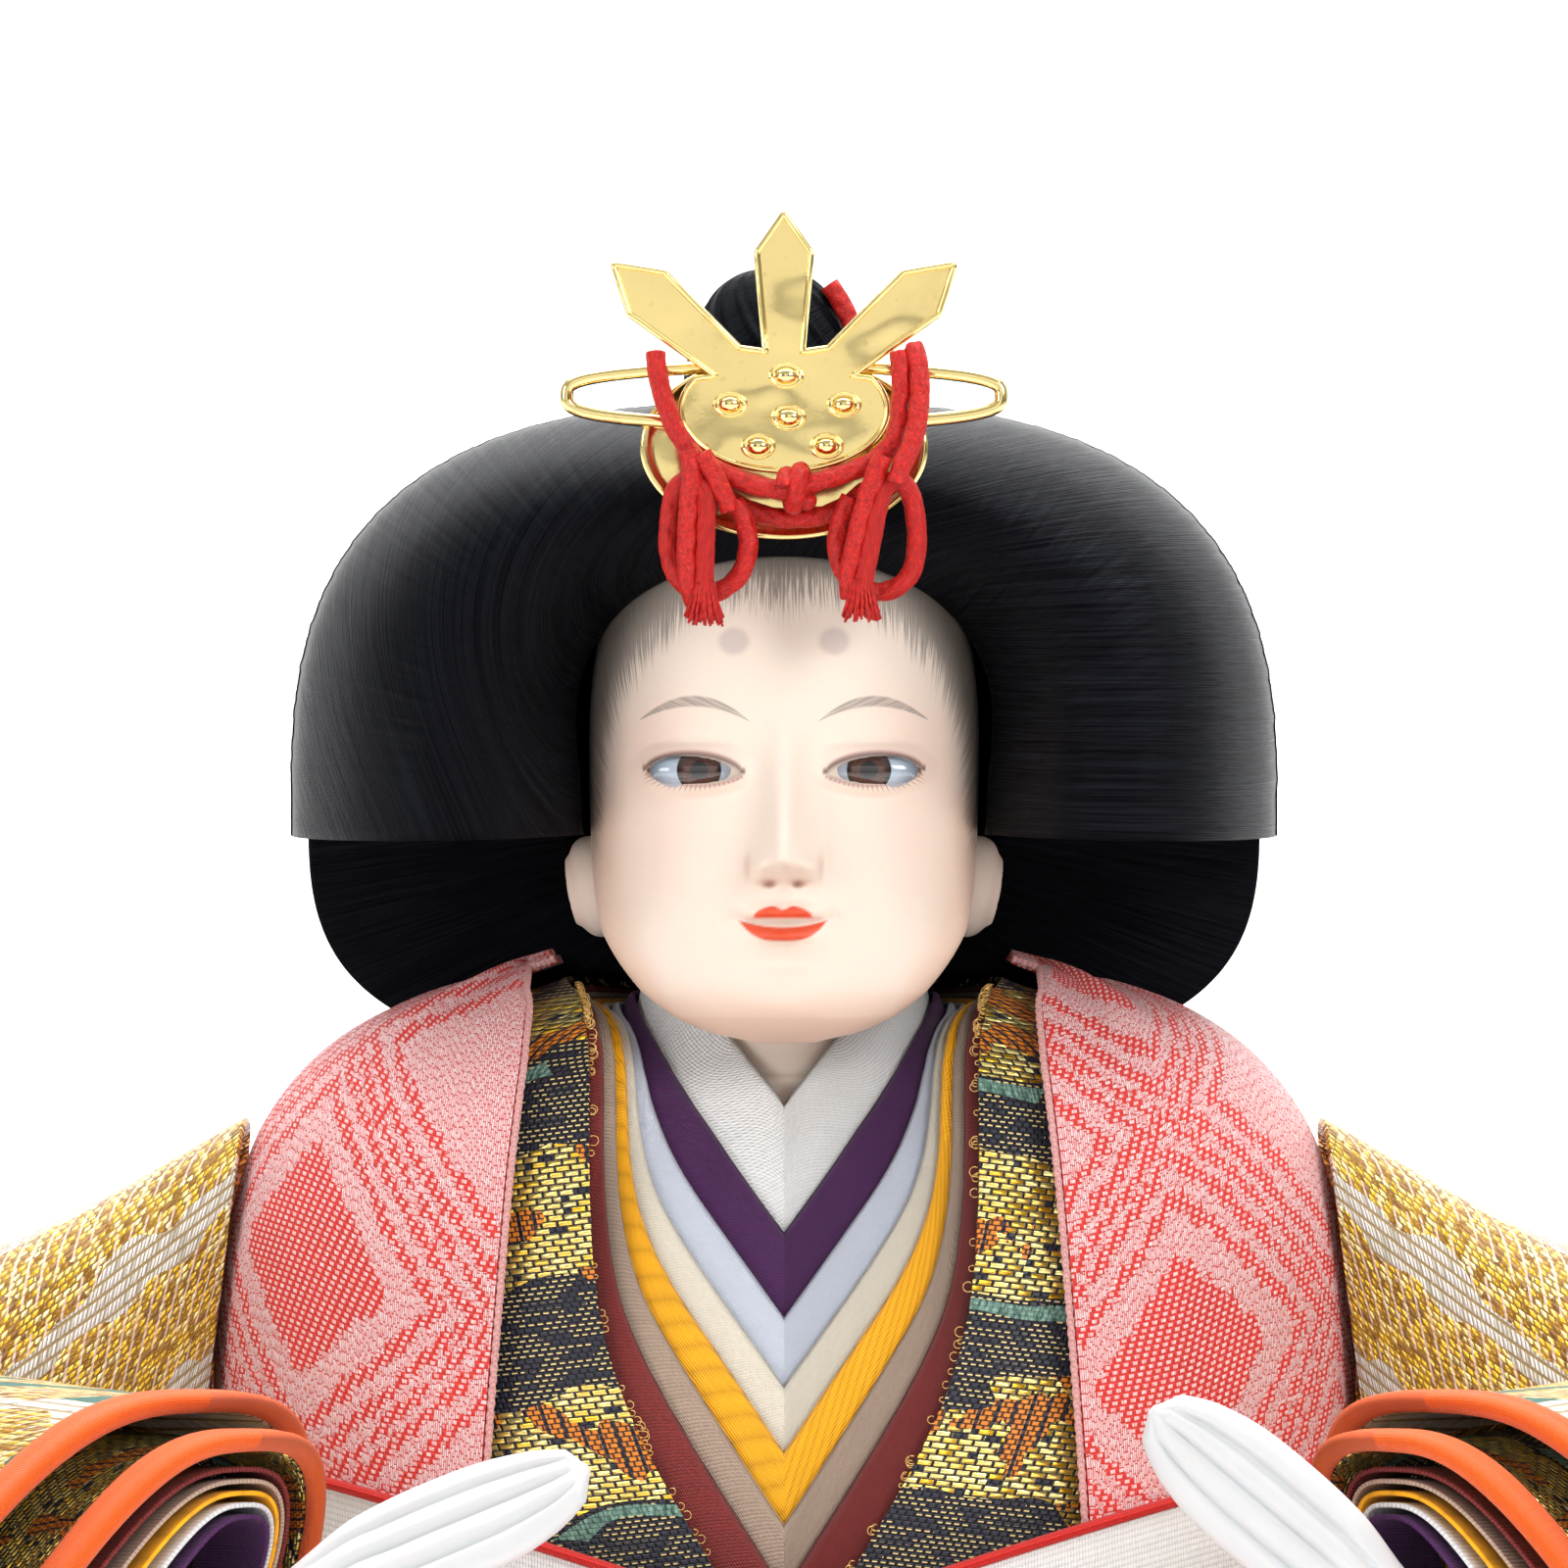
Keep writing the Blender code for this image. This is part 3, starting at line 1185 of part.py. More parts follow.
def tail_path(skirt_lift):
    """The line down the back that the hair tail lies on, as (y, z) points."""
    stand = TAIL_HALF_THICKNESS + TAIL_GAP
    line = [(BACK_HAIR_REACH - TAIL_HALF_THICKNESS - CLEARANCE, BACK_HAIR_FOOT - CLEARANCE)]
    for height in TAIL_HEIGHTS:
        p = BUST.point(math.pi, BUST.at_height(height), SASH_LIFT + SASH_CLOTH + stand)
        line.append((p[1], p[2]))
    below = np.array(train_line(skirt_lift))
    for k in range(TAIL_TRAIN_POINTS):
        way = below[k + 1] - below[max(k - 1, 0)]
        out = np.array((-way[1], way[0])) / np.linalg.norm(way)
        line.append(tuple(below[k] + out * (TRAIN_PLEAT + TRAIN_CLOTH + stand)))
    return line


def make_tail(skirt_lift):
    """The long tail of hair, and the two paper ties round it."""
    line = np.array(tail_path(skirt_lift))
    fine = np.array([smooth_table(line, t) for t in np.linspace(0.0, 1.0, 15)])
    sections = []
    for k, (y, z) in enumerate(fine):
        before, after = fine[max(k - 1, 0)], fine[min(k + 1, len(fine) - 1)]
        way = (after - before) / np.linalg.norm(after - before)
        if k == 0:
            way = np.array((0.0, -1.0))
        out = np.array((-way[1], way[0]))
        share = k / (len(fine) - 1)
        half = TAIL_HALF_WIDTH * (1.0 + 0.25 * share) * (0.75 if share > 0.95 else 1.0)
        section = []
        for c in range(10):
            u = TURN * c / 10
            offset = TAIL_HALF_THICKNESS * math.sin(u)
            section.append((half * math.cos(u), y + out[0] * offset, z + out[1] * offset))
        sections.append(section)
    tail = loft("hair_tail", sections, "black_hair")
    for word, share in (("upper", 0.17), ("lower", 0.50)):
        k = round(share * (len(fine) - 1))
        make_tie(f"tail_tie_{word}", tail, fine[k], fine[k + 1] - fine[k - 1], k / (len(fine) - 1))
    return tail


def make_tie(name, tail, middle, way, share):
    """A folded paper band round the tail, square to it; the tail is pinched to pass through."""
    way = way / np.linalg.norm(way)
    out = np.array((-way[1], way[0]))
    half = TAIL_HALF_WIDTH * (1.0 + 0.25 * share)

    def band(grow, height):
        rows = []
        for end in (-1.0, 1.0):
            section = []
            for c in range(16):
                u = TURN * c / 16
                offset = (TAIL_HALF_THICKNESS + grow) * math.sin(u)
                y = middle[0] + way[0] * end * height + out[0] * offset
                z = middle[1] + way[1] * end * height + out[1] * offset
                section.append(((half + grow) * math.cos(u), y, z))
            rows.append(section)
        return rows

    tie = loft(name, band(0.0, TIE_HALF_HEIGHT), "paper")
    hole = as_cutter(loft(f"{name}_hole", band(-TIE_WALL, TIE_HALF_HEIGHT + CUT_OVERRUN), "paper"))
    cut(tie, hole)
    grown = as_cutter(loft(f"{name}_seat", band(3 * TIE_WALL, TIE_HALF_HEIGHT + CLEARANCE), "paper"))
    inner = band(-TIE_WALL - CLEARANCE, TIE_HALF_HEIGHT + CUT_OVERRUN)
    waist = as_cutter(loft(f"{name}_waist", inner, "paper"))
    cut(grown, waist)
    cut(tail, grown)


# Crown
def prong(angle, length):
    """Outline of one blade, root edge first, turned by an angle from upright."""
    c, s = math.cos(angle), math.sin(angle)
    root = PRONG_ROOT_SHARE / math.hypot(s / PLATE_HALF_WIDTH, c / PLATE_HALF_HEIGHT)
    shoulder = length * PRONG_SHOULDER_SHARE
    flat = (
        (-PRONG_ROOT_HALF_WIDTH, root),
        (-PRONG_HALF_WIDTH, shoulder),
        (0.0, length),
        (PRONG_HALF_WIDTH, shoulder),
        (PRONG_ROOT_HALF_WIDTH, root),
    )
    return [(x * c + z * s, -x * s + z * c) for x, z in flat]


def plate_outline():
    """The round plate and its three blades as one outline."""
    side = math.radians(SIDE_PRONG_DEGREES)
    points = []
    points += prong(-side, SIDE_PRONG_LENGTH)
    points += prong(0.0, PRONG_LENGTH)
    points += prong(side, SIDE_PRONG_LENGTH)
    edge = math.degrees(math.atan2(points[-1][0] / PLATE_HALF_WIDTH, points[-1][1] / PLATE_HALF_HEIGHT)) + 9.0
    for degrees in np.linspace(edge, 360.0 - edge, 17):
        a = math.radians(degrees)
        points.append((PLATE_HALF_WIDTH * math.sin(a), PLATE_HALF_HEIGHT * math.cos(a)))
    return points


def flat_piece(name, points, thickness, finish):
    """A flat outline in the upright plane, given its thickness."""
    curve = bpy.data.curves.new(name, "CURVE")
    curve.dimensions = "2D"
    curve.fill_mode = "BOTH"
    curve.extrude = 0.5 * thickness
    spline = curve.splines.new("POLY")
    spline.points.add(len(points) - 1)
    for target, (x, z) in zip(spline.points, points):
        target.co = (x, z, 0.0, 1.0)
    spline.use_cyclic_u = True
    piece = as_mesh(add_piece(name, curve, finish), finish)
    piece.rotation_euler = (QUARTER, 0.0, 0.0)
    return piece


def make_crown():
    """The gilt front plate with its pressed studs, the comb plate behind it and the long pin."""
    plate_y = -PLATE_FRONT + 0.5 * PLATE_THICKNESS
    plate = flat_piece("crown_plate", plate_outline(), PLATE_THICKNESS, "gilt")
    plate.location = (0.0, plate_y, PLATE_CENTRE)
    for k, (across, up) in enumerate(STUD_PLACE_SHARES):
        height = PLATE_CENTRE + up * PLATE_HALF_HEIGHT
        place = (across * PLATE_HALF_WIDTH, -PLATE_FRONT - STUD_FORWARD, height)
        stud = ellipsoid(f"stud_{k}", place, (STUD_RADIUS, STUD_RISE, STUD_RADIUS * 0.8), "gilt", 8, 4)
        cut(plate, as_cutter(stud), "UNION")
    pin_y = -PLATE_FRONT + PLATE_THICKNESS + CLEARANCE + PIN_WIRE_RADIUS
    route = []
    for k in range(32):
        u = TURN * (k + 0.5) / 32
        x = PIN_HALF_LENGTH * signed_power(math.cos(u), 0.55)
        share = abs(x) / PIN_HALF_LENGTH
        half = PIN_MIDDLE_HALF_HEIGHT + (PIN_END_HALF_HEIGHT - PIN_MIDDLE_HALF_HEIGHT) * share
        route.append((x, pin_y, PIN_HEIGHT + half * signed_power(math.sin(u), 0.55)))
    tube("hairpin", route, PIN_WIRE_RADIUS, "gilt", 1, True)
    comb_y = pin_y + PIN_WIRE_RADIUS + CLEARANCE + 0.5 * COMB_THICKNESS
    outline = []
    for k in range(28):
        u = TURN * k / 28
        outline.append((COMB_HALF_WIDTH * math.sin(u), COMB_HALF_HEIGHT * math.cos(u)))
    comb = flat_piece("comb_plate", outline, COMB_THICKNESS, "gilt")
    comb.location = (0.0, comb_y, COMB_CENTRE)


# Red cords: routes in metres, chosen by hand
LEFT_BOW_ROUTE = (
    (-0.0074, -0.0303, 0.2036),
    (-0.0074, -0.0303, 0.2065),
    (-0.0073, -0.0303, 0.2100),
    (-0.0073, -0.0302, 0.2130),
    (-0.0079, -0.0299, 0.2148),
    (-0.0092, -0.0292, 0.2151),
    (-0.0102, -0.0286, 0.2139),
    (-0.0106, -0.0283, 0.2115),
    (-0.0107, -0.0282, 0.2089),
    (-0.0101, -0.0281, 0.2066),
    (-0.0088, -0.0280, 0.2052),
    (-0.0072, -0.0279, 0.2047),
    (-0.0056, -0.0280, 0.2051),
    (-0.0040, -0.0281, 0.2066),
    (-0.0033, -0.0282, 0.2092),
    (-0.0038, -0.0282, 0.2116),
    (-0.0047, -0.0282, 0.2132),
)
RIGHT_BOW_ROUTE = (
    (0.0072, -0.0303, 0.2040),
    (0.0075, -0.0303, 0.2065),
    (0.0081, -0.0303, 0.2095),
    (0.0087, -0.0302, 0.2126),
    (0.0095, -0.0299, 0.2146),
    (0.0107, -0.0293, 0.2151),
    (0.0117, -0.0287, 0.2139),
    (0.0122, -0.0284, 0.2117),
    (0.0123, -0.0282, 0.2090),
    (0.0118, -0.0281, 0.2067),
    (0.0105, -0.0280, 0.2053),
    (0.0088, -0.0279, 0.2048),
    (0.0071, -0.0280, 0.2053),
    (0.0055, -0.0281, 0.2068),
    (0.0049, -0.0282, 0.2093),
    (0.0054, -0.0282, 0.2118),
    (0.0062, -0.0282, 0.2136),
)
CROSS_ROUTE = (
    (-0.0119, -0.0284, 0.2270),
    (-0.0118, -0.0287, 0.2256),
    (-0.0113, -0.0288, 0.2232),
    (-0.0103, -0.0288, 0.2204),
    (-0.0092, -0.0288, 0.2186),
    (-0.0079, -0.0287, 0.2170),
    (-0.0053, -0.0285, 0.2157),
    (-0.0026, -0.0283, 0.2147),
    (0.0004, -0.0282, 0.2143),
    (0.0030, -0.0283, 0.2150),
    (0.0062, -0.0285, 0.2160),
    (0.0085, -0.0287, 0.2171),
    (0.0099, -0.0288, 0.2185),
    (0.0106, -0.0288, 0.2202),
    (0.0109, -0.0288, 0.2235),
    (0.0108, -0.0287, 0.2258),
    (0.0107, -0.0284, 0.2270),
)


def least_self_gap(points, radius):
    """The smallest clear gap between stretches of one cord that lie apart along it."""
    points = np.array(points)
    steps = np.linalg.norm(np.diff(points, axis=0), axis=1)
    along = np.concatenate(([0.0], np.cumsum(steps)))
    apart = np.linalg.norm(points[:, None] - points[None, :], axis=2)
    far = np.abs(along[:, None] - along[None, :]) > SELF_GAP_REACH * radius
    return apart[far].min() - 2.0 * radius


def make_cords():
    """A looped bow of red silk cord under each side of the plate, and the cord that ties it on."""
    for word, route, samples in (
        ("bow_cord_left", LEFT_BOW_ROUTE, CORD_SAMPLES),
        ("bow_cord_right", RIGHT_BOW_ROUTE, CORD_SAMPLES),
        ("cross_cord", CROSS_ROUTE, CORD_SAMPLES - 8),
    ):
        points = smooth_route(np.array(route), samples)
        tube(word, points, CORD_RADIUS, "red_silk", 1)
        gap = least_self_gap(smooth_route(np.array(route), 4 * samples), CORD_RADIUS)
        print(f"{word}: least gap to itself {gap * 1000:.2f} mm")


def main():
    core = make_base_and_core()
    sleeves = [make_sleeve(-1.0, "left"), make_sleeve(1.0, "right")]
    wire, bore, armholes = make_arms(sleeves)
    cut(core, bore)
    core_bore = as_cutter(
        cylinder("core_bore", CORE_RADIUS + CLEARANCE, 0.0, CORE_TOP + CLEARANCE, (0, 0), "wadding", 20)
    )
    bust = make_bust_and_lap(core_bore)
    for hole in armholes:
        cut(bust, hole)
    cut(bust, bore)
    make_collars()
    make_bodice(armholes)
    make_jacket(armholes)
    skirt_lift = make_skirts()
    make_sash()
    make_train(skirt_lift)
    for word, wrist, tip, facing in zip(("left", "right"), WRISTS, FINGERTIPS, HAND_FACINGS):
        make_hand(word, wrist, tip, facing, bore)
    head, peg_foot = make_head()
    make_neck_wrap(core, peg_foot)
    make_front_hair()
    make_back_hair()
    make_topknot()
    make_tail(skirt_lift)
    make_crown()
    make_cords()


main()
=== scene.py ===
# %% [markdown]
# # A seated hina doll, dressed piece by piece
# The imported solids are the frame: they say where every piece sits and which body it moves
# with. This script dresses them. Every new piece is a surface worked out with numpy, and every
# finish is a material made of nodes. Units are metres, +Z is up and the doll looks along -Y.

# %% Load the frame
import math

import bmesh
import bpy
import numpy as np
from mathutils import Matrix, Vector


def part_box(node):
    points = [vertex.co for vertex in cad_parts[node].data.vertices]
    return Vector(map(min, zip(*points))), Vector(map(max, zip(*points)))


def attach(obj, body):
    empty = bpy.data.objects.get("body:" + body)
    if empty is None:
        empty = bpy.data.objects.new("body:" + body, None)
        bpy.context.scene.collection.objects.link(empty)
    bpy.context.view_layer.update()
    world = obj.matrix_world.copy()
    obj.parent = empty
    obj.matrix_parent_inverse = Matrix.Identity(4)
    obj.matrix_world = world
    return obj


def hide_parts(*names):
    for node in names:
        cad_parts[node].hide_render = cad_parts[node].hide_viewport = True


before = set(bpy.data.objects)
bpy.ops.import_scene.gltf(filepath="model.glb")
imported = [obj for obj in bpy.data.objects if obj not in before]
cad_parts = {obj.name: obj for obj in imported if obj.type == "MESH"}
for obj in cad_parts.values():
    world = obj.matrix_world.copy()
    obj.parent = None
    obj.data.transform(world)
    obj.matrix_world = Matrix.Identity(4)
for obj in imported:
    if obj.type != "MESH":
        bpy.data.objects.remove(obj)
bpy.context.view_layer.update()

NECK = np.array((-0.0017, -0.0243, 0.0))
TURN = 2.0 * math.pi
MM = 1000.0
SIDES = ((-1.0, "left"), (1.0, "right"))

# %% [markdown]
# ## The camera
# The photograph was taken level with the face, from far off with a long lens, so the picture
# has almost no perspective. The camera stands 0.95 m before the collars at face height.

# %% Camera
PICTURE_CENTRE = (-0.0017, -0.0440, 0.1870)
PICTURE_DISTANCE = 0.950
PICTURE_LENS_MM = 233.0


def place_camera():
    """A level camera on the line through the picture's centre, looking along +Y."""
    lens = bpy.data.cameras.new("camera")
    lens.lens, lens.sensor_width, lens.clip_start = PICTURE_LENS_MM, 36.0, 0.01
    camera = bpy.data.objects.new("camera", lens)
    x, y, z = PICTURE_CENTRE
    camera.location = (x, y - PICTURE_DISTANCE, z)
    camera.rotation_euler = (0.5 * math.pi, 0.0, 0.0)
    bpy.context.scene.collection.objects.link(camera)
    bpy.context.scene.camera = camera


place_camera()

# %% [markdown]
# ## Surfaces from numbers
# A surface is a grid of points: rows run along the piece and columns run across or round it.
# The helpers below join a grid into a mesh, give it a map measured in millimetres along the
# cloth, so that threads keep their real size, and turn its faces outwards.

# %% Grid helpers
def table(values, at):
    """Catmull-Rom curve through evenly spaced values: at 0 it is the first, at 1 the last, and
    between two neighbours it is the cubic whose slopes are half the step across each."""
    values, at = np.asarray(values, float), np.asarray(at, float)
    last = len(values) - 1
    place = np.clip(at, 0.0, 1.0) * last
    i = np.minimum(place.astype(int), last - 1)
    f = place - i
    if values.ndim > 1:
        f = f[..., None]
    a, b, c, d = (values[np.clip(i + k, 0, last)] for k in (-1, 0, 1, 2))
    return 0.5 * (2 * b + (c - a) * f + (2 * a - 5 * b + 4 * c - d) * f**2 + (3 * b - a - 3 * c + d) * f**3)


def signed_power(value, power):
    """The size of a number to a power, with the number's own sign."""
    return np.sign(value) * np.abs(value) ** power


def unit(vectors):
    """Vectors divided by their lengths."""
    return vectors / np.maximum(np.linalg.norm(vectors, axis=-1, keepdims=True), 1e-12)


def measured(grid, around, along):
    """The cloth map of a grid in millimetres: how far each point lies along its row and down
    its column."""
    wide = np.concatenate([grid, grid[:, :1]], axis=1) if around else grid
    deep = np.concatenate([wide, wide[:1]], axis=0) if along else wide
    across = np.linalg.norm(np.diff(deep, axis=1), axis=2)
    down = np.linalg.norm(np.diff(deep, axis=0), axis=2)
    u = np.concatenate([np.zeros((len(deep), 1)), np.cumsum(across, axis=1)], axis=1)
    v = np.concatenate([np.zeros((1, deep.shape[1])), np.cumsum(down, axis=0)], axis=0)
    return np.stack([u, v], axis=2) * MM


def grid_mesh(name, grid, around=False, along=False, caps=False, uv=None, away=None, masks=None):
    """A mesh of quads through a grid. around joins the last column to the first, along the last
    row to the first, and caps closes both ends of a tube with a fan."""
    rows, columns = grid.shape[:2]
    uv = measured(grid, around, along) if uv is None else np.asarray(uv, float)
    r, c = np.meshgrid(np.arange(rows - (not along)), np.arange(columns - (not around)), indexing="ij")
    r, c = r.ravel(), c.ravel()
    turn_r, turn_c = (r + 1) % rows, (c + 1) % columns
    quads = np.stack([r * columns + c, r * columns + turn_c, turn_r * columns + turn_c,
        turn_r * columns + c], 1)
    corner_uv = np.stack([uv[r, c], uv[r, c + 1], uv[r + 1, c + 1], uv[r + 1, c]], 1)
    points = grid.reshape(-1, 3)
    faces, maps = quads.tolist(), [corner_uv.reshape(-1, 2)]
    if caps:
        for row, turned in ((0, True), (rows - 1, False)):
            middle = len(points)
            points = np.concatenate([points, grid[row].mean(0)[None]])
            k = np.arange(columns)
            rim, beyond = row * columns + k, row * columns + (k + 1) % columns
            fan = np.stack([beyond, rim, np.full(columns, middle)] if turned
                           else [rim, beyond, np.full(columns, middle)], 1)
            faces += fan.tolist()
            flat = grid[row] - grid[row].mean(0)
            long_way = unit(flat[np.argmax(np.linalg.norm(flat, axis=1))])
            side = unit(np.cross(np.cross(long_way, flat[columns // 4]), long_way))
            spread = np.stack([flat @ long_way, flat @ side], 1) * MM
            a, b = (spread[(k + 1) % columns], spread) if turned else (spread, spread[(k + 1) % columns])
            maps.append(np.stack([a, b, np.zeros_like(a)], 1).reshape(-1, 2))
    mesh = bpy.data.meshes.new(name)
    first = points[quads]
    normal = np.cross(first[:, 2] - first[:, 0], first[:, 3] - first[:, 1])
    if away is None:
        out = first.mean(1) - points[: rows * columns].mean(0)
    else:
        out = np.broadcast_to(np.asarray(away, float), normal.shape)
    flip = float((normal * out).sum()) < 0
    mesh.from_pydata(points.tolist(), [], faces)
    layer = mesh.uv_layers.new(name="cloth")
    layer.data.foreach_set("uv", np.concatenate(maps).ravel())
    mesh.polygons.foreach_set("use_smooth", np.ones(len(faces), bool))
    for title, values in (masks or {}).items():
        spot = mesh.attributes.new(title, "FLOAT", "POINT")
        filled = np.zeros(len(points))
        filled[: rows * columns] = np.asarray(values).ravel()
        spot.data.foreach_set("value", filled.astype(np.float32))
    if flip:
        mesh.flip_normals()
    mesh.update()
    return mesh


def make_piece(name, mesh, finish, body, replaces=(), wall=0.0, offset=1.0, rim=0.0):
    """A finished piece that rides on its body. wall gives cloth its thickness, and rim rounds
    its edges."""
    piece = bpy.data.objects.new(name, mesh)
    bpy.context.scene.collection.objects.link(piece)
    mesh.materials.append(finish)
    if wall:
        cloth = piece.modifiers.new("cloth", "SOLIDIFY")
        cloth.thickness, cloth.offset = wall, offset
        cloth.use_quality_normals = True
    if rim:
        edge = piece.modifiers.new("soft edge", "BEVEL")
        edge.width, edge.segments, edge.limit_method = rim, 2, "ANGLE"
        edge.angle_limit = math.radians(50)
    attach(piece, body)
    if replaces:
        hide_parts(*([replaces] if isinstance(replaces, str) else replaces))
    return piece


def closed_piece(name, grid, finish, body, replaces=(), along=False, **shape):
    """A piece that closes round itself. Its ends are capped, or joined where along is set."""
    mesh = grid_mesh(name, grid, around=True, along=along, caps=not along, **shape)
    return make_piece(name, mesh, finish, body, replaces)


def shift(grid):
    """Moves points from the neck's own axis to the row frame."""
    return np.asarray(grid, float) + NECK


# %% Paths and tubes
def even_route(points, count, closed=False):
    """Evenly spaced points of a smooth curve through given points."""
    points = np.asarray(points, float)
    if closed:
        loop = np.concatenate([points[-2:], points, points[:3]])
        inner = np.linspace(2.0, 2.0 + len(points), 24 * len(points) + 1) / (len(loop) - 1)
        fine = table(loop, inner)
    else:
        fine = table(points, np.linspace(0.0, 1.0, 24 * len(points)))
    along = np.concatenate([[0.0], np.cumsum(np.linalg.norm(np.diff(fine, axis=0), axis=1))])
    places = np.linspace(0.0, along[-1], count + 1)[:-1] if closed else np.linspace(0.0, along[-1], count)
    return np.stack([np.interp(places, along, fine[:, k]) for k in range(3)], 1)


def route_length(points):
    """The sum of the steps along a route."""
    return float(np.linalg.norm(np.diff(points, axis=0), axis=1).sum())


def carry(path, facing, profile, closed=False):
    """A profile carried along a path: each point is the path's, plus the profile's first number
    along the side that is square to the path and to facing, plus its second along the third
    square direction."""
    if closed:
        way = unit(np.roll(path, -1, axis=0) - np.roll(path, 1, axis=0))
    else:
        way = unit(np.gradient(path, axis=0))
    side = unit(np.cross(way, np.broadcast_to(np.asarray(facing, float), way.shape)))
    up = np.cross(side, way)
    return path[:, None] + side[:, None] * profile[..., 0:1] + up[:, None] * profile[..., 1:2]


def round_profile(rows, columns, radius):
    """Circles of the given radius, which may change from row to row and round the tube."""
    u = TURN * np.arange(columns) / columns
    size = np.broadcast_to(np.asarray(radius, float), (rows, columns))
    return np.stack([size * np.cos(u), size * np.sin(u)], 2)

# %% [markdown]
# ## Finishes made of nodes
# A finish is worked out in sums: how far along the thread, which thread, how high it stands.
# The small class below writes those sums as Math nodes, so that a formula reads like one.

# %% Sums over a surface
def operation(kind):
    """A method that writes one Math node of this kind."""
    return lambda self, *others: work(self.tree, kind, self, *others)


class Field:
    """A value that changes over a surface: one socket that can be added, multiplied and so on."""

    def __init__(self, tree, socket):
        self.tree, self.socket = tree, socket

    __add__ = __radd__ = operation("ADD")
    __mul__ = __rmul__ = operation("MULTIPLY")
    __sub__ = operation("SUBTRACT")
    __truediv__ = operation("DIVIDE")
    floor = operation("FLOOR")
    part = operation("FRACT")
    size = operation("ABSOLUTE")
    sine = operation("SINE")
    power = operation("POWER")
    above = operation("GREATER_THAN")
    least = operation("MINIMUM")
    most = operation("MAXIMUM")
    angle = operation("ARCTAN2")

    def __rsub__(self, other):
        return work(self.tree, "SUBTRACT", other, self)

    def held(self):
        """The value kept between 0 and 1."""
        return work(self.tree, "ADD", self, 0.0, clamp=True)

    def ramp(self, low, high):
        """0 below low, 1 above high, and smooth between."""
        node = self.tree.nodes.new("ShaderNodeMapRange")
        node.interpolation_type = "SMOOTHSTEP"
        plug(self.tree, self, node.inputs["Value"])
        node.inputs["From Min"].default_value, node.inputs["From Max"].default_value = low, high
        return Field(self.tree, node.outputs["Result"])


def plug(tree, value, socket):
    """Links a field, or sets a plain value. A colour's socket asks for a fourth value, 1."""
    if isinstance(value, Field):
        tree.links.new(value.socket, socket)
    elif socket.type == "RGBA":
        socket.default_value = tuple(value[:3]) + (1.0,)
    else:
        socket.default_value = value


def work(tree, kind, *values, clamp=False):
    """One Math node."""
    node = tree.nodes.new("ShaderNodeMath")
    node.operation, node.use_clamp = kind, clamp
    for socket, value in zip(node.inputs, values):
        plug(tree, value, socket)
    return Field(tree, node.outputs[0])


def mix(tree, share, first, second):
    """The first colour where share is 0 and the second where it is 1."""
    node = tree.nodes.new("ShaderNodeMix")
    node.data_type = "RGBA"
    plug(tree, share, node.inputs[0])
    plug(tree, first, node.inputs[6])
    plug(tree, second, node.inputs[7])
    return Field(tree, node.outputs[2])


def vector(tree, x, y, z=0.0):
    """Two or three fields as one place."""
    node = tree.nodes.new("ShaderNodeCombineXYZ")
    for socket, value in zip(node.inputs, (x, y, z)):
        plug(tree, value, socket)
    return Field(tree, node.outputs[0])


def noise(tree, place, scale, detail=2.0, roughness=0.5, distortion=0.0):
    """Smooth noise between 0 and 1."""
    node = tree.nodes.new("ShaderNodeTexNoise")
    plug(tree, place, node.inputs["Vector"])
    for title, value in (("Scale", scale), ("Detail", detail), ("Roughness", roughness),
            ("Distortion", distortion)):
        node.inputs[title].default_value = value
    return Field(tree, node.outputs["Fac"])


def speckle(tree, place):
    """One random value for each whole-numbered place."""
    node = tree.nodes.new("ShaderNodeTexWhiteNoise")
    plug(tree, place, node.inputs["Vector"])
    return Field(tree, node.outputs["Value"])


def object_place(tree):
    """The point in the row frame, in metres."""
    node = tree.nodes.new("ShaderNodeTexCoord")
    return Field(tree, node.outputs["Object"])


def cloth_place(tree):
    """How far across and along the cloth, in millimetres."""
    node = tree.nodes.new("ShaderNodeUVMap")
    node.uv_map = "cloth"
    split = tree.nodes.new("ShaderNodeSeparateXYZ")
    tree.links.new(node.outputs[0], split.inputs[0])
    return Field(tree, split.outputs[0]), Field(tree, split.outputs[1])


def mask_of(tree, title):
    """A mask kept on the mesh's own points."""
    node = tree.nodes.new("ShaderNodeAttribute")
    node.attribute_name = title
    return Field(tree, node.outputs["Fac"])


def bump(tree, height, distance, strength=1.0, normal=None):
    """Turns height, in shares of distance, into the surface's normal."""
    node = tree.nodes.new("ShaderNodeBump")
    node.inputs["Strength"].default_value = strength
    node.inputs["Distance"].default_value = distance
    plug(tree, height, node.inputs["Height"])
    if normal is not None:
        plug(tree, normal, node.inputs["Normal"])
    return Field(tree, node.outputs[0])


def finish(name, paint, **settings):
    """A Principled material. paint(tree) gives its fields by socket, and settings are the values
    that are the same all over."""
    material = bpy.data.materials.new(name)
    material.use_nodes = True
    tree = material.node_tree
    shader = tree.nodes["Principled BSDF"]
    for title, value in settings.items():
        plug(tree, value, shader.inputs[title.replace("_", " ")])
    for title, field in paint(tree).items():
        plug(tree, field, shader.inputs[title])
    return material


# %% [markdown]
# ## Shared effects
# Threads, hair and dust come back in many finishes. Each is one node group with its own
# inputs, placed in every material that needs it.

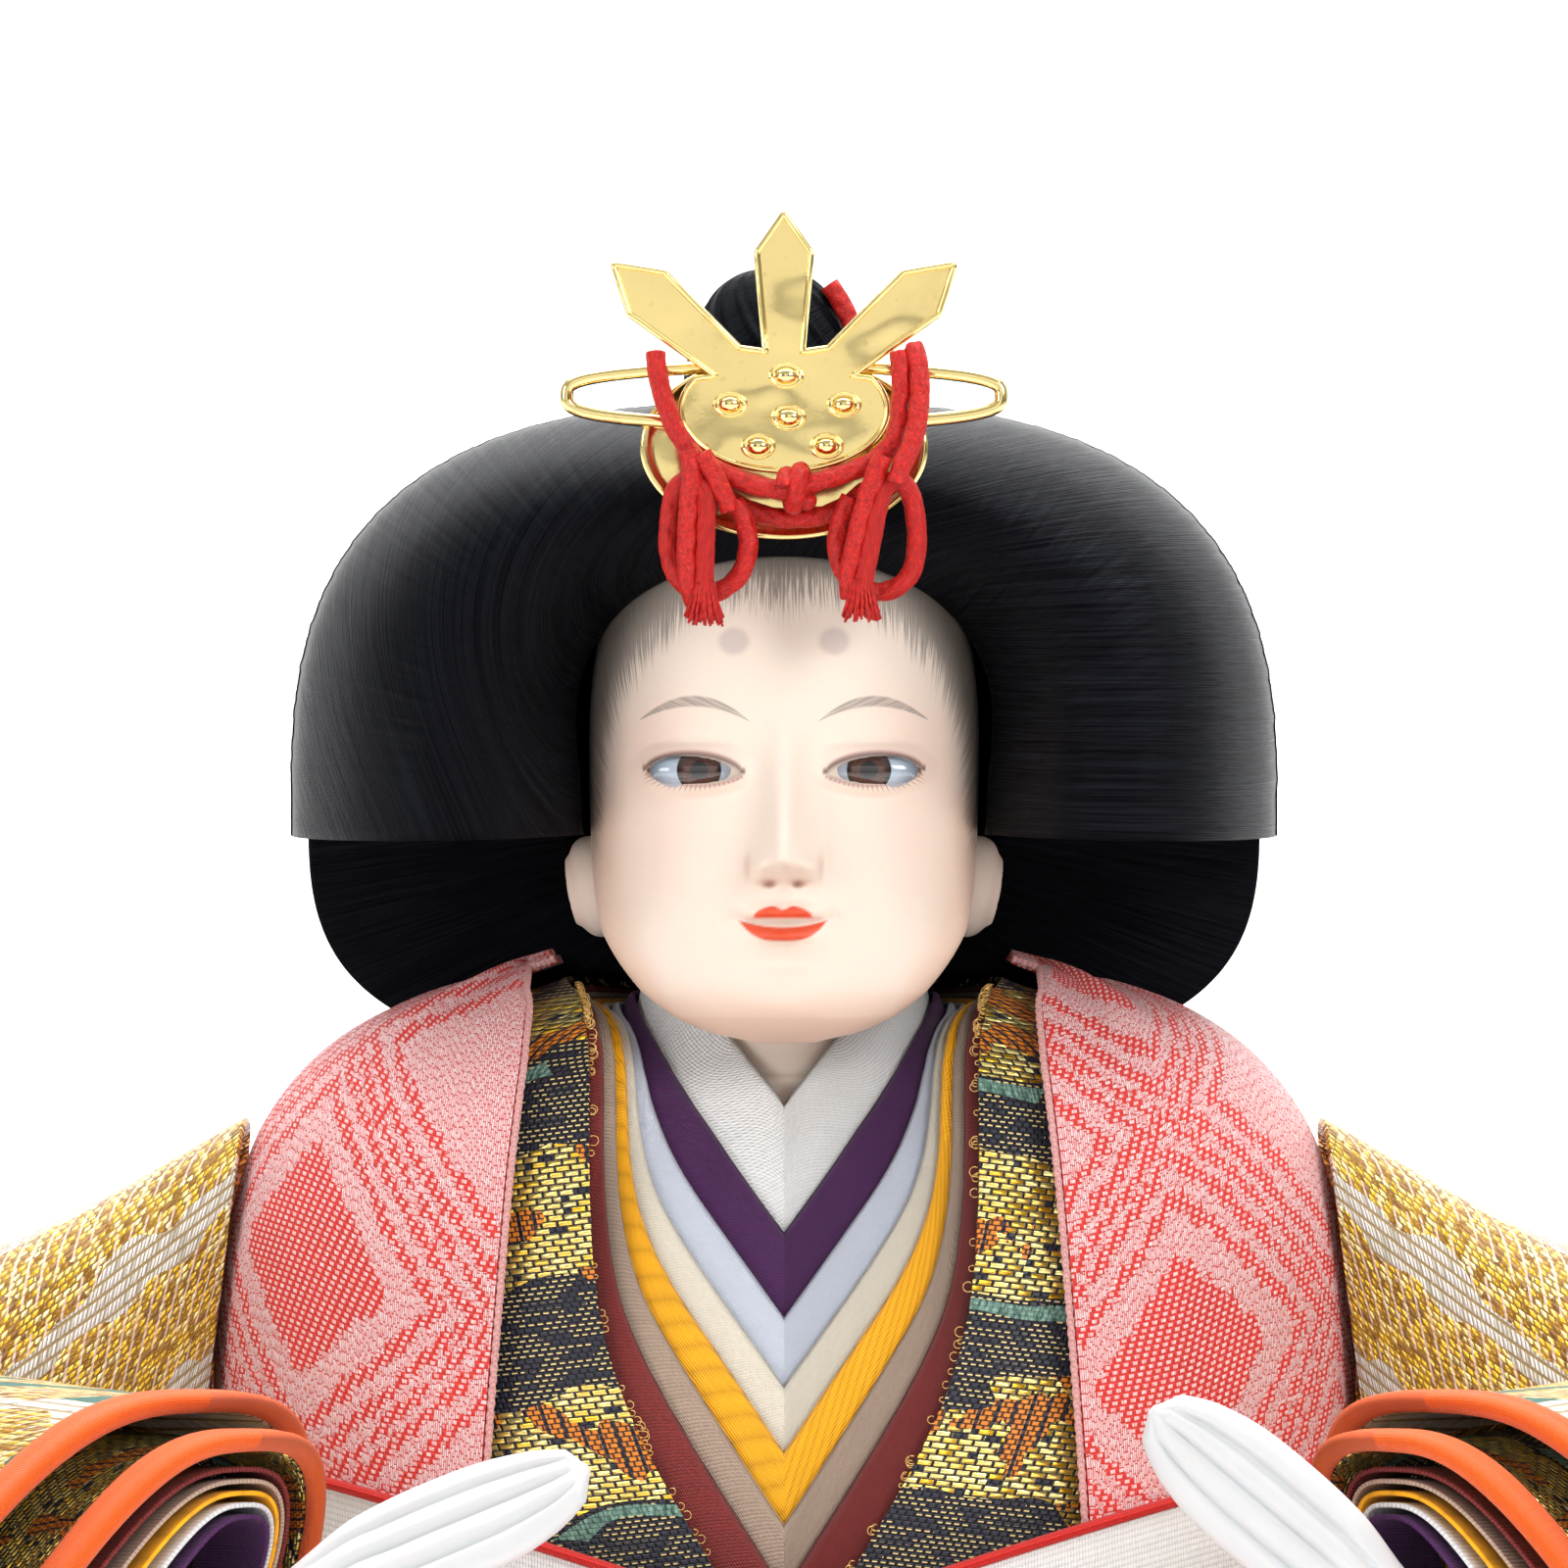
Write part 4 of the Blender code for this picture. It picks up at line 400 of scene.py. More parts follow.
# %% Node groups
def make_group(name, inputs, outputs, build):
    """A shader node group: inputs and outputs are names with plain values that show the kind."""
    group = bpy.data.node_groups.new(name, "ShaderNodeTree")
    kinds = {float: "NodeSocketFloat", tuple: "NodeSocketColor"}
    for title, value in inputs.items():
        socket = group.interface.new_socket(title, in_out="INPUT", socket_type=kinds[type(value)])
        socket.default_value = value
    for title, value in outputs.items():
        group.interface.new_socket(title, in_out="OUTPUT", socket_type=kinds[type(value)])
    entry, leave = group.nodes.new("NodeGroupInput"), group.nodes.new("NodeGroupOutput")
    fields = {title: Field(group, entry.outputs[title]) for title in inputs}
    for title, field in build(group, fields).items():
        plug(group, field, leave.inputs[title])
    return group


def use(tree, group, **values):
    """Places a group in a material and gives its outputs by name."""
    node = tree.nodes.new("ShaderNodeGroup")
    node.node_tree = group
    for title, value in values.items():
        plug(tree, value, node.inputs[title.replace("_", " ")])
    return {socket.name: Field(tree, socket) for socket in node.outputs}


def build_threads(tree, at):
    """Two sets of round threads that pass over each other: in turn where Step is a half, and in
    diagonal ribs, a twill, where it is a quarter. Height is the higher of the two arches, and
    each thread has a shade of its own."""
    across, along = at["Across"] / at["Warp"], at["Along"] / at["Weft"]
    column, row = across.floor(), along.floor()
    over = ((column + row) * at["Step"]).part().above(0.45)
    warp = (across.part() * math.pi).sine()
    weft = (along.part() * math.pi).sine()
    height = over * (warp * 0.65 + weft * 0.35) + (1.0 - over) * (weft * 0.65 + warp * 0.35)
    threads = speckle(tree, vector(tree, column, 0.0)) * over
    threads = threads + speckle(tree, vector(tree, 7.5, row)) * (1.0 - over)
    fuzz = noise(tree, vector(tree, across * 0.7, along * 0.7), 1.0, 3.0)
    dip = over * weft.power(0.5) + (1.0 - over) * warp.power(0.5)
    return {"Height": height * 0.55 + dip * 0.3 + fuzz * 0.15, "Shade": threads * 0.5 + fuzz * 0.5}


THREADS = make_group(
    "woven threads",
    {"Across": 0.0, "Along": 0.0, "Warp": 0.25, "Weft": 0.25, "Step": 0.5},
    {"Height": 0.0, "Shade": 0.0},
    build_threads,
)


def build_strands(tree, at):
    """Combed hair: noise drawn out along the strand, at three widths, the finest sharpest."""
    across, along = at["Across"], at["Along"]
    broad = noise(tree, vector(tree, across * 0.55, along * 0.012), 1.0, 2.0)
    middle = noise(tree, vector(tree, across * 2.4, along * 0.03), 1.0, 3.0, 0.6)
    fine = noise(tree, vector(tree, across * 9.0, along * 0.07), 1.0, 2.0, 0.7)
    return {"Height": broad * 0.35 + middle * 0.35 + fine * 0.30, "Shade": middle * 0.4 + fine * 0.6}


STRANDS = make_group("combed strands", {"Across": 0.0, "Along": 0.0}, {"Height": 0.0, "Shade": 0.0},
    build_strands)


def build_wear(tree, at):
    """Slow changes over a whole piece: handling, dust and uneven dye."""
    place = object_place(tree)
    broad = noise(tree, place, 55.0, 3.0, 0.6)
    fine = noise(tree, place, 600.0, 2.0, 0.6)
    return {"Patch": (broad * 0.7 + fine * 0.3 - 0.5) * at["Amount"] + 0.5, "Specks": fine.ramp(0.62, 0.8)}


WEAR = make_group("handling and dust", {"Amount": 1.0}, {"Patch": 0.0, "Specks": 0.0}, build_wear)


# %% [markdown]
# ## Silks
# Collars, linings, hems and cuffs are plain or ribbed silk, each dyed one colour. At this size
# single threads show, about four to a millimetre, so the weave is in both colour and bump.

# %% Plain silks
def shade(colour, share):
    """A colour made darker or lighter by a share."""
    return tuple(min(max(c * share, 0.0), 1.0) for c in colour[:3])


def silk(name, colour, warp=0.34, weft=0.38, step=0.5, low=0.62, high=1.12, depth=0.00016, rough=0.55,
        sheen=0.08):
    """Woven silk: the colour of each thread, painted shadow in the gaps and painted light on the
    raised threads, and a soft sheen.
    """
    def paint(tree):
        across, along = cloth_place(tree)
        weave = use(tree, THREADS, Across=across, Along=along, Warp=warp, Weft=weft, Step=step)
        wear = use(tree, WEAR, Amount=1.0)
        # Painted light and shade: thread crowns lighter and gaps darker, with a little patchy dye.
        tone = (weave["Height"] * 0.75 + weave["Shade"] * 0.25).ramp(0.2, 0.85) * 0.8 + wear["Patch"] * 0.2
        return {
            "Base Color": mix(tree, tone, shade(colour, low), shade(colour, high)),
            "Roughness": weave["Shade"] * 0.2 + (rough - 0.1),
            "Normal": bump(tree, weave["Height"], depth),
        }
    return finish(name, paint, Sheen_Weight=sheen, Sheen_Roughness=0.4, Specular_IOR_Level=0.35)


SILKS = {
    "white": silk("white collar silk", (0.80, 0.79, 0.78), 0.42, 0.36, 0.25, 0.74, 1.08),
    "purple": silk("purple collar silk", (0.040, 0.006, 0.050), 0.30, 0.30, 0.25, 0.35, 2.2),
    "ice": silk("ice white collar silk", (0.68, 0.72, 0.83), 0.22, 0.22, 0.5, 0.86, 1.1),
    "cream": silk("cream collar silk", (0.80, 0.73, 0.60), 0.30, 0.30, 0.25, 0.80, 1.1),
    "yellow": silk("yellow collar silk", (0.90, 0.40, 0.003), 2.6, 0.42, 0.5, 0.60, 1.12),
    "beige": silk("beige collar silk", (0.36, 0.26, 0.195), 0.40, 0.36, 0.5, 0.50, 1.45),
    "maroon": silk("maroon collar silk", (0.150, 0.014, 0.012), 0.36, 0.42, 0.25, 0.35, 1.8),
    "orange": silk("orange roll silk", (0.80, 0.105, 0.003), 0.24, 0.24, 0.5, 0.66, 1.2, 0.00012, 0.75, 0.2),
    "red": silk("red trouser silk", (0.62, 0.012, 0.008), 0.30, 0.30, 0.25, 0.6, 1.2),
    "sash": silk("white sash silk", (0.80, 0.79, 0.78), 0.30, 0.60, 0.5, 0.80, 1.1),
}
print("silks:", sorted(SILKS))


# %% [markdown]
# ## The rose jacket's brocade
# The ground is red, crossed by a grid of small pink points. The pattern is drawn by long pink
# warp floats, which lie side by side like satin. Its big figure is the tortoise-shell lozenge,
# one inside another, with stepped edges because a loom moves one thread at a time.

# %% Rose brocade
ROSE_RED = (0.62, 0.030, 0.022)
LOZENGE_WIDE, LOZENGE_HIGH = 42.0, 46.0
FLOAT_WIDE = 0.21


def rose_brocade():
    """Lozenge bands: distance from the figure's middle, counted in stepped cells, chooses
    between satin floats and dotted ground."""
    def paint(tree):
        across, along = cloth_place(tree)
        column, row = (across / 0.46).floor(), (along / 0.56).floor()
        right = across.above(0.0)
        p = ((column * 0.46 + 41.5 - right * 31.0) / LOZENGE_WIDE).part() - 0.5
        q = ((row * 0.56 + 21.4 - right * 6.9) / LOZENGE_HIGH).part() - 0.5
        d = (p.size() + q.size()) * 2.0
        d = d.least(2.0 - d)
        ragged = speckle(tree, vector(tree, column, (row * 0.5).floor())) * 0.05
        d = d + ragged
        edge = (p.size() - 0.22).above(0.0) * (0.52 - d).above(0.0)
        band = d.above(0.50) * (1.0 - d.above(0.69)) + d.above(0.77) * (1.0 - d.above(0.86)) + d.above(
            0.94) * (1.0 - d.above(0.99))
        band = band.most(edge)
        step = (along / 0.56).floor() * 0.5
        cell_x = (across / 0.92 + step * 0.5).part() - 0.5
        cell_y = (along / 0.56).part() - 0.5
        point = (0.27 - cell_x.size()).above(0.0) * (0.30 - cell_y.size()).above(0.0)
        thread = (across / FLOAT_WIDE).floor()
        float_y = (along / 1.15 + speckle(tree, vector(tree, thread, 3.0)) * 1.3).part()
        gap_x = (across / FLOAT_WIDE).part()
        covered = (gap_x - 0.12).above(0.0) * (float_y - 0.12).above(0.0)
        gloss = noise(tree, vector(tree, across * 6.0, along * 1.1), 1.0, 2.0)
        pink = (band * covered + (1.0 - band) * point * 0.85).held()
        # Painted sheen: the floats turn pale pink where the gloss noise is high.
        pale = mix(tree, gloss.ramp(0.3, 0.72), (0.90, 0.32, 0.32), (1.0, 0.82, 0.81))
        slow = noise(tree, vector(tree, across * 0.12, along * 0.12), 1.0)
        ground = mix(tree, slow, shade(ROSE_RED, 0.8), shade(ROSE_RED, 1.2))
        arch = (gap_x * math.pi).sine() * 0.5 + (float_y * math.pi).sine() * 0.4
        block = ((across / 0.46).part() * math.pi).sine() * (cell_y * math.pi + 0.5 * math.pi).sine()
        return {
            "Base Color": mix(tree, pink, ground, pale),
            "Roughness": 0.60 - pink * 0.22 + gloss * 0.06,
            "Normal": bump(tree, band * arch + (1.0 - band) * (block * 0.45 + point * 0.35), 0.00020),
        }
    return finish("rose brocade", paint, Sheen_Weight=0.1, Sheen_Roughness=0.35, Specular_IOR_Level=0.4)


# %% [markdown]
# ## Gold brocade
# The sleeves are woven with strips of gilt paper foil. Each foil strip passes over a few dark
# threads, so it shows as rows of small bright cells with dark slits, crossed by thin pale
# binding threads. Bands of silver-white satin and green leaves break the gold.

# %% Gold and dark brocade
GOLD = (0.92, 0.56, 0.030)
# GLINT_GOLD: the pale gold painted on some foil cells as glints.
GLINT_GOLD = (1.0, 0.88, 0.34)


def foil_cells(tree, across, along, wide, high):
    """Foil cells: a mask, the rounded height with each cell leaning its own way so that a few
    catch the lamps, and a random value each."""
    row = (along / high).floor()
    run = across / wide + (row * 0.5).part() + speckle(tree, vector(tree, row, 5.0)) * 0.14
    column = run.floor()
    x, y = run.part() - 0.5, (along / high).part() - 0.5
    inside = (0.44 - x.size()).ramp(0.0, 0.06) * (0.43 - y.size()).ramp(0.0, 0.10)
    crown = (1.0 - (y * 2.1).power(2.0)).most(0.0) * 0.5 + (1.0 - (x * 2.0).power(2.0)).most(0.0) * 0.4
    chance = speckle(tree, vector(tree, column, row))
    other = speckle(tree, vector(tree, row, column))
    lean = x * (chance - 0.5) * 2.2 + y * (other - 0.5) * 1.6
    return inside, inside * (crown + lean), chance


def gold_brocade():
    """Gold cells over a dark ground with pale binding warps, silver satin and green leaves."""
    def paint(tree):
        across, along = cloth_place(tree)
        inside, height, chance = foil_cells(tree, along + across * 0.45, across, 0.95, 0.70)
        wave = noise(tree, vector(tree, across * 0.10, along * 0.10), 1.0, 1.0) * 9.0
        band = ((across + along * 0.12 + wave) / 17.0 + 0.25).part()
        silver = (band - 0.62).above(0.0) * (0.88 - band).above(0.0)
        leaf = noise(tree, vector(tree, across * 0.11 + 3.0, along * 0.11 + 8.0), 1.0, 1.0)
        leaf = (leaf + along.ramp(40.0, 110.0) * 0.16 - 0.70).above(0.0) * (1.0 - silver)
        slits = noise(tree, vector(tree, across * 0.22, along * 0.22 + 9.0), 1.0, 2.0)
        foil = inside * (1.0 - (chance - 0.86).above(0.0) * (slits - 0.47).above(0.0))
        binder = (0.09 - (((along + across * 0.45) / 1.9).part() - 0.5).size()).above(0.0) * (
            band - 0.15).above(0.0)
        # Each foil cell gets a random tone from dark brown to gold; the palest cells are painted glints.
        foil_tone_and_glint = mix(tree, chance.ramp(0.10, 0.35), (0.42, 0.20, 0.012), GOLD)
        foil_tone_and_glint = mix(tree, chance.ramp(0.50, 0.95), foil_tone_and_glint, GLINT_GOLD)
        ground = mix(tree, slits.ramp(0.42, 0.6), (0.20, 0.085, 0.010), (0.36, 0.17, 0.02))
        gold = mix(tree, binder * 0.8, mix(tree, foil, ground, foil_tone_and_glint), (0.90, 0.66, 0.55))
        bricks, brick_height, brick_chance = foil_cells(tree, along + across * 0.45, across, 0.55, 1.30)
        satin = mix(tree, brick_chance, (0.62, 0.56, 0.46), (0.98, 0.96, 0.92))
        satin = mix(tree, bricks, (0.32, 0.20, 0.06), satin)
        line = noise(tree, vector(tree, across * 6.0, along * 0.8), 1.0, 2.0)
        green = mix(tree, line, (0.002, 0.050, 0.034), (0.008, 0.17, 0.12))
        metal = foil * (1.0 - silver) * (1.0 - leaf) * (1.0 - binder)
        raised = mix(tree, silver, height, brick_height)
        return {
            "Base Color": mix(tree, silver, mix(tree, leaf, gold, green), satin),
            "Metallic": metal * 0.50 + silver * bricks * 0.2,
            "Roughness": 0.52 - metal * 0.30 - silver * 0.15,
            "Normal": bump(tree, mix(tree, leaf, raised, line), 0.00034),
        }
    return finish("gold brocade", paint, Specular_IOR_Level=0.5)


def dark_brocade():
    """Blue-black silk with running ticks, crossed by blocks of wide gold foil, orange floats
    and a few teal leaves."""
    def paint(tree):
        across, along = cloth_place(tree)
        inside, height, chance = foil_cells(tree, across, along, 0.95, 0.60)
        wave = noise(tree, vector(tree, across * 0.09 + 2.0, along * 0.09), 1.0, 1.0) * 16.0
        band = ((along + wave) / 22.0).part()
        block = (band - 0.50).above(0.0)
        teal = (band - 0.36).above(0.0) * (0.46 - band).above(0.0)
        teal = teal * (noise(tree, vector(tree, across * 0.1 + 5.0, along * 0.05), 1.0, 1.0)
            - 0.50).above(0.0)
        orange = (noise(tree, vector(tree, across * 0.22, along * 0.16), 1.0, 2.0) - 0.57).above(0.0) * block
        checks = (((across / 0.95).floor() + (along / 0.60).floor()) * 0.5).part().above(0.25)
        foil = inside * block * (1.0 - orange) * (0.45 + checks - chance * 0.5).above(0.0)
        run = (across / 0.52 + (along / 0.50).floor() * 0.5).part() - 0.5
        pitch = (along / 0.50).part() - 0.5
        grain = (0.5 - run.size()).ramp(0.0, 0.2) * (0.5 - pitch.size()).ramp(0.0, 0.2)
        tick = (0.13 - pitch.size()).above(0.0) * (0.30 - run.size()).above(0.0) * (chance - 0.35).above(0.0)
        tick = tick * (1.0 - block)
        line = noise(tree, vector(tree, across * 5.0, along * 0.6), 1.0, 2.0)
        # Painted shade: the gaps between the weave cells are near black.
        night = mix(tree, grain, (0.001, 0.001, 0.002),
            mix(tree, line, (0.006, 0.008, 0.018), (0.026, 0.024, 0.045)))
        cloth = mix(tree, tick, night, (0.80, 0.60, 0.22))
        cloth = mix(tree, teal, cloth, mix(tree, line.ramp(0.3, 0.7), (0.04, 0.10, 0.075),
            (0.24, 0.42, 0.33)))
        floats = (across / 0.95).part().above(0.25) * grain
        cloth = mix(tree, orange * floats, cloth, mix(tree, line, (0.52, 0.11, 0.004), (0.95, 0.32, 0.02)))
        return {
            # Foil cells run at random from gold to the pale gold of painted glints.
            "Base Color": mix(tree, foil, cloth, mix(tree, chance, GOLD, GLINT_GOLD)),
            "Metallic": foil * 0.68,
            "Roughness": 0.48 - foil * 0.26,
            "Normal": bump(tree, foil * height + (1.0 - foil) * grain * 0.5, 0.00034),
        }
    return finish("dark brocade", paint, Specular_IOR_Level=0.45)


def gold_thread():
    """Fine gilt wire with small changes of tone along it."""
    def paint(tree):
        grain = noise(tree, object_place(tree), 2500.0, 2.0)
        return {"Base Color": mix(tree, grain, (0.75, 0.34, 0.04), (1.0, 0.80, 0.35)),
            "Roughness": grain * 0.2 + 0.2}
    return finish("gilt thread", paint, Metallic=0.9)


GOLD_THREAD = gold_thread()
ROSE = rose_brocade()
GOLD_CLOTH = gold_brocade()
DARK_CLOTH = dark_brocade()
print("brocades made")

# %% [markdown]
# ## Red silk cords
# Two bows hang under the crown and a third cord crosses them. They are round braided silk: two
# sets of strands that wind in opposite directions. The cord is a tube whose radius rises where
# either set lies on top. The routes are those of the solids, so each cord lies where they lie.

# %% Cord routes and tubes
CORD_RADIUS = 0.00095
LEFT_BOW_ROUTE = (
    (-7.4, -30.3, 203.6), (-7.4, -30.3, 206.5), (-7.3, -30.3, 210.0), (-7.3, -30.2, 213.0),
    (-7.9, -29.9, 214.8),
    (-9.2, -29.2, 215.1), (-10.2, -28.6, 213.9), (-10.6, -28.3, 211.5), (-10.7, -28.2, 208.9),
    (-10.1, -28.1, 206.6),
    (-8.8, -28.0, 205.2), (-7.2, -27.9, 204.7), (-5.6, -28.0, 205.1), (-4.0, -28.1, 206.6),
    (-3.3, -28.2, 209.2),
    (-3.8, -28.2, 211.6), (-4.7, -28.2, 213.2),
)
RIGHT_BOW_ROUTE = (
    (7.2, -30.3, 204.0), (7.5, -30.3, 206.5), (8.1, -30.3, 209.5), (8.7, -30.2, 212.6), (9.5, -29.9, 214.6),
    (10.7, -29.3, 215.1), (11.7, -28.7, 213.9), (12.2, -28.4, 211.7), (12.3, -28.2, 209.0),
    (11.8, -28.1, 206.7),
    (10.5, -28.0, 205.3), (8.8, -27.9, 204.8), (7.1, -28.0, 205.3), (5.5, -28.1, 206.8), (4.9, -28.2, 209.3),
    (5.4, -28.2, 211.8), (6.2, -28.2, 213.6),
)
CROSS_ROUTE = (
    (-11.9, -28.4, 227.0), (-11.8, -28.7, 225.6), (-11.3, -28.8, 223.2), (-10.3, -28.8, 220.4),
    (-9.2, -28.8, 218.6),
    (-7.9, -28.7, 217.0), (-5.3, -28.5, 215.7), (-2.6, -28.3, 214.7), (0.4, -28.2, 214.3),
    (3.0, -28.3, 215.0),
    (6.2, -28.5, 216.0), (8.5, -28.7, 217.1), (9.9, -28.8, 218.5), (10.6, -28.8, 220.2), (10.9, -28.8, 223.5),
    (10.8, -28.7, 225.8), (10.7, -28.4, 227.0),
)


def braid(rows, columns, radius, step, turns=4, depth=0.24):
    """A braided tube's radius: the larger of two waves that wind round it in opposite
    directions, so that each strand shows as a slanting ridge."""
    u = TURN * np.arange(columns) / columns
    s = (np.arange(rows) * step / (radius * 2.6))[:, None] * TURN
    first = np.abs(np.cos(0.5 * (turns * u - s)))
    second = np.abs(np.cos(0.5 * (turns * u + s)))
    return radius * (1.0 - depth + depth * np.maximum(first, second) ** 0.8)


def cord_silk():
    """Red silk: fine threads along the strand, bright red on the raised fibres and dark red
    between them as painted shade.
    """
    def paint(tree):
        across, along = cloth_place(tree)
        slant = noise(tree, vector(tree, (across + along) * 6.0, (across - along) * 1.2), 1.0, 2.0)
        other = noise(tree, vector(tree, (across - along) * 6.0, (across + along) * 1.2), 1.0, 2.0)
        fibre = slant.most(other)
        return {
            "Base Color": mix(tree, fibre.ramp(0.35, 0.8), (0.24, 0.001, 0.001), (0.80, 0.014, 0.006)),
            "Roughness": 0.55 - fibre * 0.2,
            "Normal": bump(tree, fibre, 0.00008),
        }
    return finish("red cord silk", paint, Sheen_Weight=0.06, Sheen_Roughness=0.4, Specular_IOR_Level=0.35)


CORD_SILK = cord_silk()


def cord_tube(name, points, replaces=(), thick=1.0):
    """A braided tube along a smooth line through the points, and that line."""
    path = even_route(points, 260)
    radius = braid(260, 28, CORD_RADIUS * thick, route_length(path) / 260)
    grid = carry(path, (0.3, -1.0, 0.1), round_profile(260, 28, 1.0) * radius[..., None])
    return closed_piece(name, grid, CORD_SILK, "head_group", replaces), path


def make_cord(name, route_mm):
    """A braided cord from where it leaves the crown to its other end."""
    piece, path = cord_tube(name, shift(np.array(route_mm) / 1000.0)[::-1], name)


def make_tassel(word, tip_mm, count=110):
    """The frayed end of a cord: thin threads in a brush round its end that spread as they fall,
    each a small tube."""
    rng = np.random.default_rng(7 if word == "left" else 8)
    tip = shift(np.array(tip_mm) / 1000.0)
    grids = []
    for _ in range(count):
        turn, spread, drop = rng.uniform(0, TURN), rng.uniform(0.35, 1.0) ** 0.5, rng.uniform(0.0026, 0.0040)
        aside = np.array((math.cos(turn), 0.75 * math.sin(turn), 0.0))
        root = tip + aside * 0.00105 * spread + np.array((0, 0, 0.0022 - 0.0004 * rng.uniform()))
        t = np.linspace(0.0, 1.0, 7)[:, None]
        path = root - np.array((0, 0, drop)) * t + aside * 0.0008 * spread * t**1.8
        grids.append(carry(path, (0.0, -1.0, 0.0), round_profile(7, 5, 0.00013)))
    return make_piece(f"tassel_{word}", bundle_mesh(f"tassel_{word}", grids), CORD_SILK, "head_group")


def bundle_mesh(name, grids):
    """Many small closed tubes of equal size in one mesh."""
    block = np.stack(grids)
    count, rows, columns = block.shape[:3]
    index = np.arange(count * rows * columns).reshape(count, rows, columns)
    beside = np.roll(index, -1, axis=2)
    quads = np.stack([beside[:, :-1], index[:, :-1], index[:, 1:], beside[:, 1:]], -1).reshape(-1, 4)
    caps = np.concatenate([index[:, 0], index[:, -1, ::-1]])
    mesh = bpy.data.meshes.new(name)
    mesh.from_pydata(block.reshape(-1, 3).tolist(), [], quads.tolist() + caps.tolist())
    place = np.stack(np.meshgrid(np.arange(rows), np.arange(columns), indexing="ij")[::-1], -1) * 0.25
    place = np.tile(place.reshape(-1, 2), (count, 1))
    loops = np.concatenate([quads.ravel(), caps.ravel()])
    mesh.uv_layers.new(name="cloth").data.foreach_set("uv", place[loops].ravel())
    mesh.polygons.foreach_set("use_smooth", np.ones(len(mesh.polygons), bool))
    joined = bmesh.new()
    joined.from_mesh(mesh)
    bmesh.ops.recalc_face_normals(joined, faces=joined.faces)
    joined.to_mesh(mesh)
    joined.free()
    return mesh


def make_knot():
    """The knot at the middle of the crossing cord: one strand wound twice round it."""
    turn = np.linspace(0.3, 0.3 + 1.75 * TURN, 60)
    place = np.stack([1.1 + 0.62 * (turn - turn.mean()) / math.pi, -28.2 - 1.35 * np.cos(turn),
        214.4 + 1.5 * np.sin(turn)], 1)
    place[:, 2] += 0.35 * (place[:, 0] - 1.1)
    cord_tube("cord_knot", shift(place / 1000.0), (), 0.95)


STRAND_ROUTES = {
    "topknot_tie": (
        (4.3, 1.2, 234.8), (5.2, 1.2, 233.5), (6.1, 1.2, 231.8), (6.7, 1.2, 230.3), (7.0, 1.2, 228.8),
    ),
    "strand_left_middle": (
        (-8.3, -29.2, 203.8), (-8.9, -30.1, 206.0), (-9.0, -30.3, 208.6), (-8.9, -30.3, 211.4),
        (-8.7, -30.4, 214.0),
        (-8.5, -30.5, 216.0), (-8.9, -30.4, 217.8),
    ),
    "strand_left_inner": (
        (-5.0, -29.6, 212.4), (-5.9, -30.1, 214.4), (-6.8, -30.5, 216.2), (-7.6, -30.7, 217.6),
    ),
    "strand_right_middle": (
        (6.1, -29.2, 204.3), (6.0, -30.0, 206.4), (6.5, -30.3, 208.8), (7.1, -30.3, 211.4),
        (7.8, -30.4, 213.8),
        (8.5, -30.6, 215.8), (9.2, -30.7, 217.4),
    ),
    "strand_right_outer": (
        (10.4, -30.9, 214.8), (10.9, -30.8, 216.4), (11.8, -30.6, 218.4), (12.4, -30.2, 220.8),
        (12.6, -29.6, 223.6),
        (12.4, -29.0, 226.2), (12.0, -28.2, 227.6),
    ),
    "strand_low_front": (
        (-6.4, -27.2, 214.6), (-5.0, -26.4, 213.4), (-3.0, -26.0, 212.4), (-0.8, -25.9, 211.8),
        (1.6, -25.9, 211.7),
        (4.0, -26.0, 212.1), (6.0, -26.4, 213.0), (7.6, -27.2, 214.3),
    ),
}

tassels = [make_tassel("left", LEFT_BOW_ROUTE[0]), make_tassel("right", RIGHT_BOW_ROUTE[0])]
make_cord("bow_cord_left", LEFT_BOW_ROUTE)
make_cord("bow_cord_right", RIGHT_BOW_ROUTE)
make_cord("cross_cord", CROSS_ROUTE)
for name, route in STRAND_ROUTES.items():
    cord_tube(name, shift(np.array(route) / 1000.0))
make_knot()

# %% [markdown]
# ## The pale studio
# A white floor curves up into a white wall far behind the doll, and large soft lamps stand
# before and beside it, as for a catalogue picture. A wide dim panel behind the camera is what
# the gilt plate reflects. The wall is clear from its back.

# %% Floor and light
def plain_white():
    """Matt white that is clear from behind, so that the wall hides nothing from that side."""
    def paint(tree):
        grain = noise(tree, object_place(tree), 40.0, 2.0)
        behind = Field(tree, tree.nodes.new("ShaderNodeNewGeometry").outputs["Backfacing"])
        return {
            "Base Color": mix(tree, grain, (0.90, 0.90, 0.90), (0.93, 0.93, 0.93)),
            "Alpha": 1.0 - behind,
        }
    return finish("pale floor", paint, Roughness=0.9, Specular_IOR_Level=0.2)


def make_sweep():
    """A floor that turns up into a wall: a straight line, a quarter circle and a line, drawn
    sideways."""
    bend = np.linspace(0.0, 0.5 * math.pi, 24)
    y = np.concatenate([[-3.0], 0.9 + 0.5 * np.sin(bend), [1.4]])
    z = np.concatenate([[0.0], 0.5 - 0.5 * np.cos(bend), [3.5]])
    x = np.linspace(-4.0, 4.0, 9)
    grid = np.stack(np.broadcast_arrays(x[None, :], y[:, None], z[:, None]), 2)
    mesh = grid_mesh("floor", grid, away=(0.0, -1.0, 1.0))
    floor = bpy.data.objects.new("floor", mesh)
    bpy.context.scene.collection.objects.link(floor)
    mesh.materials.append(plain_white())


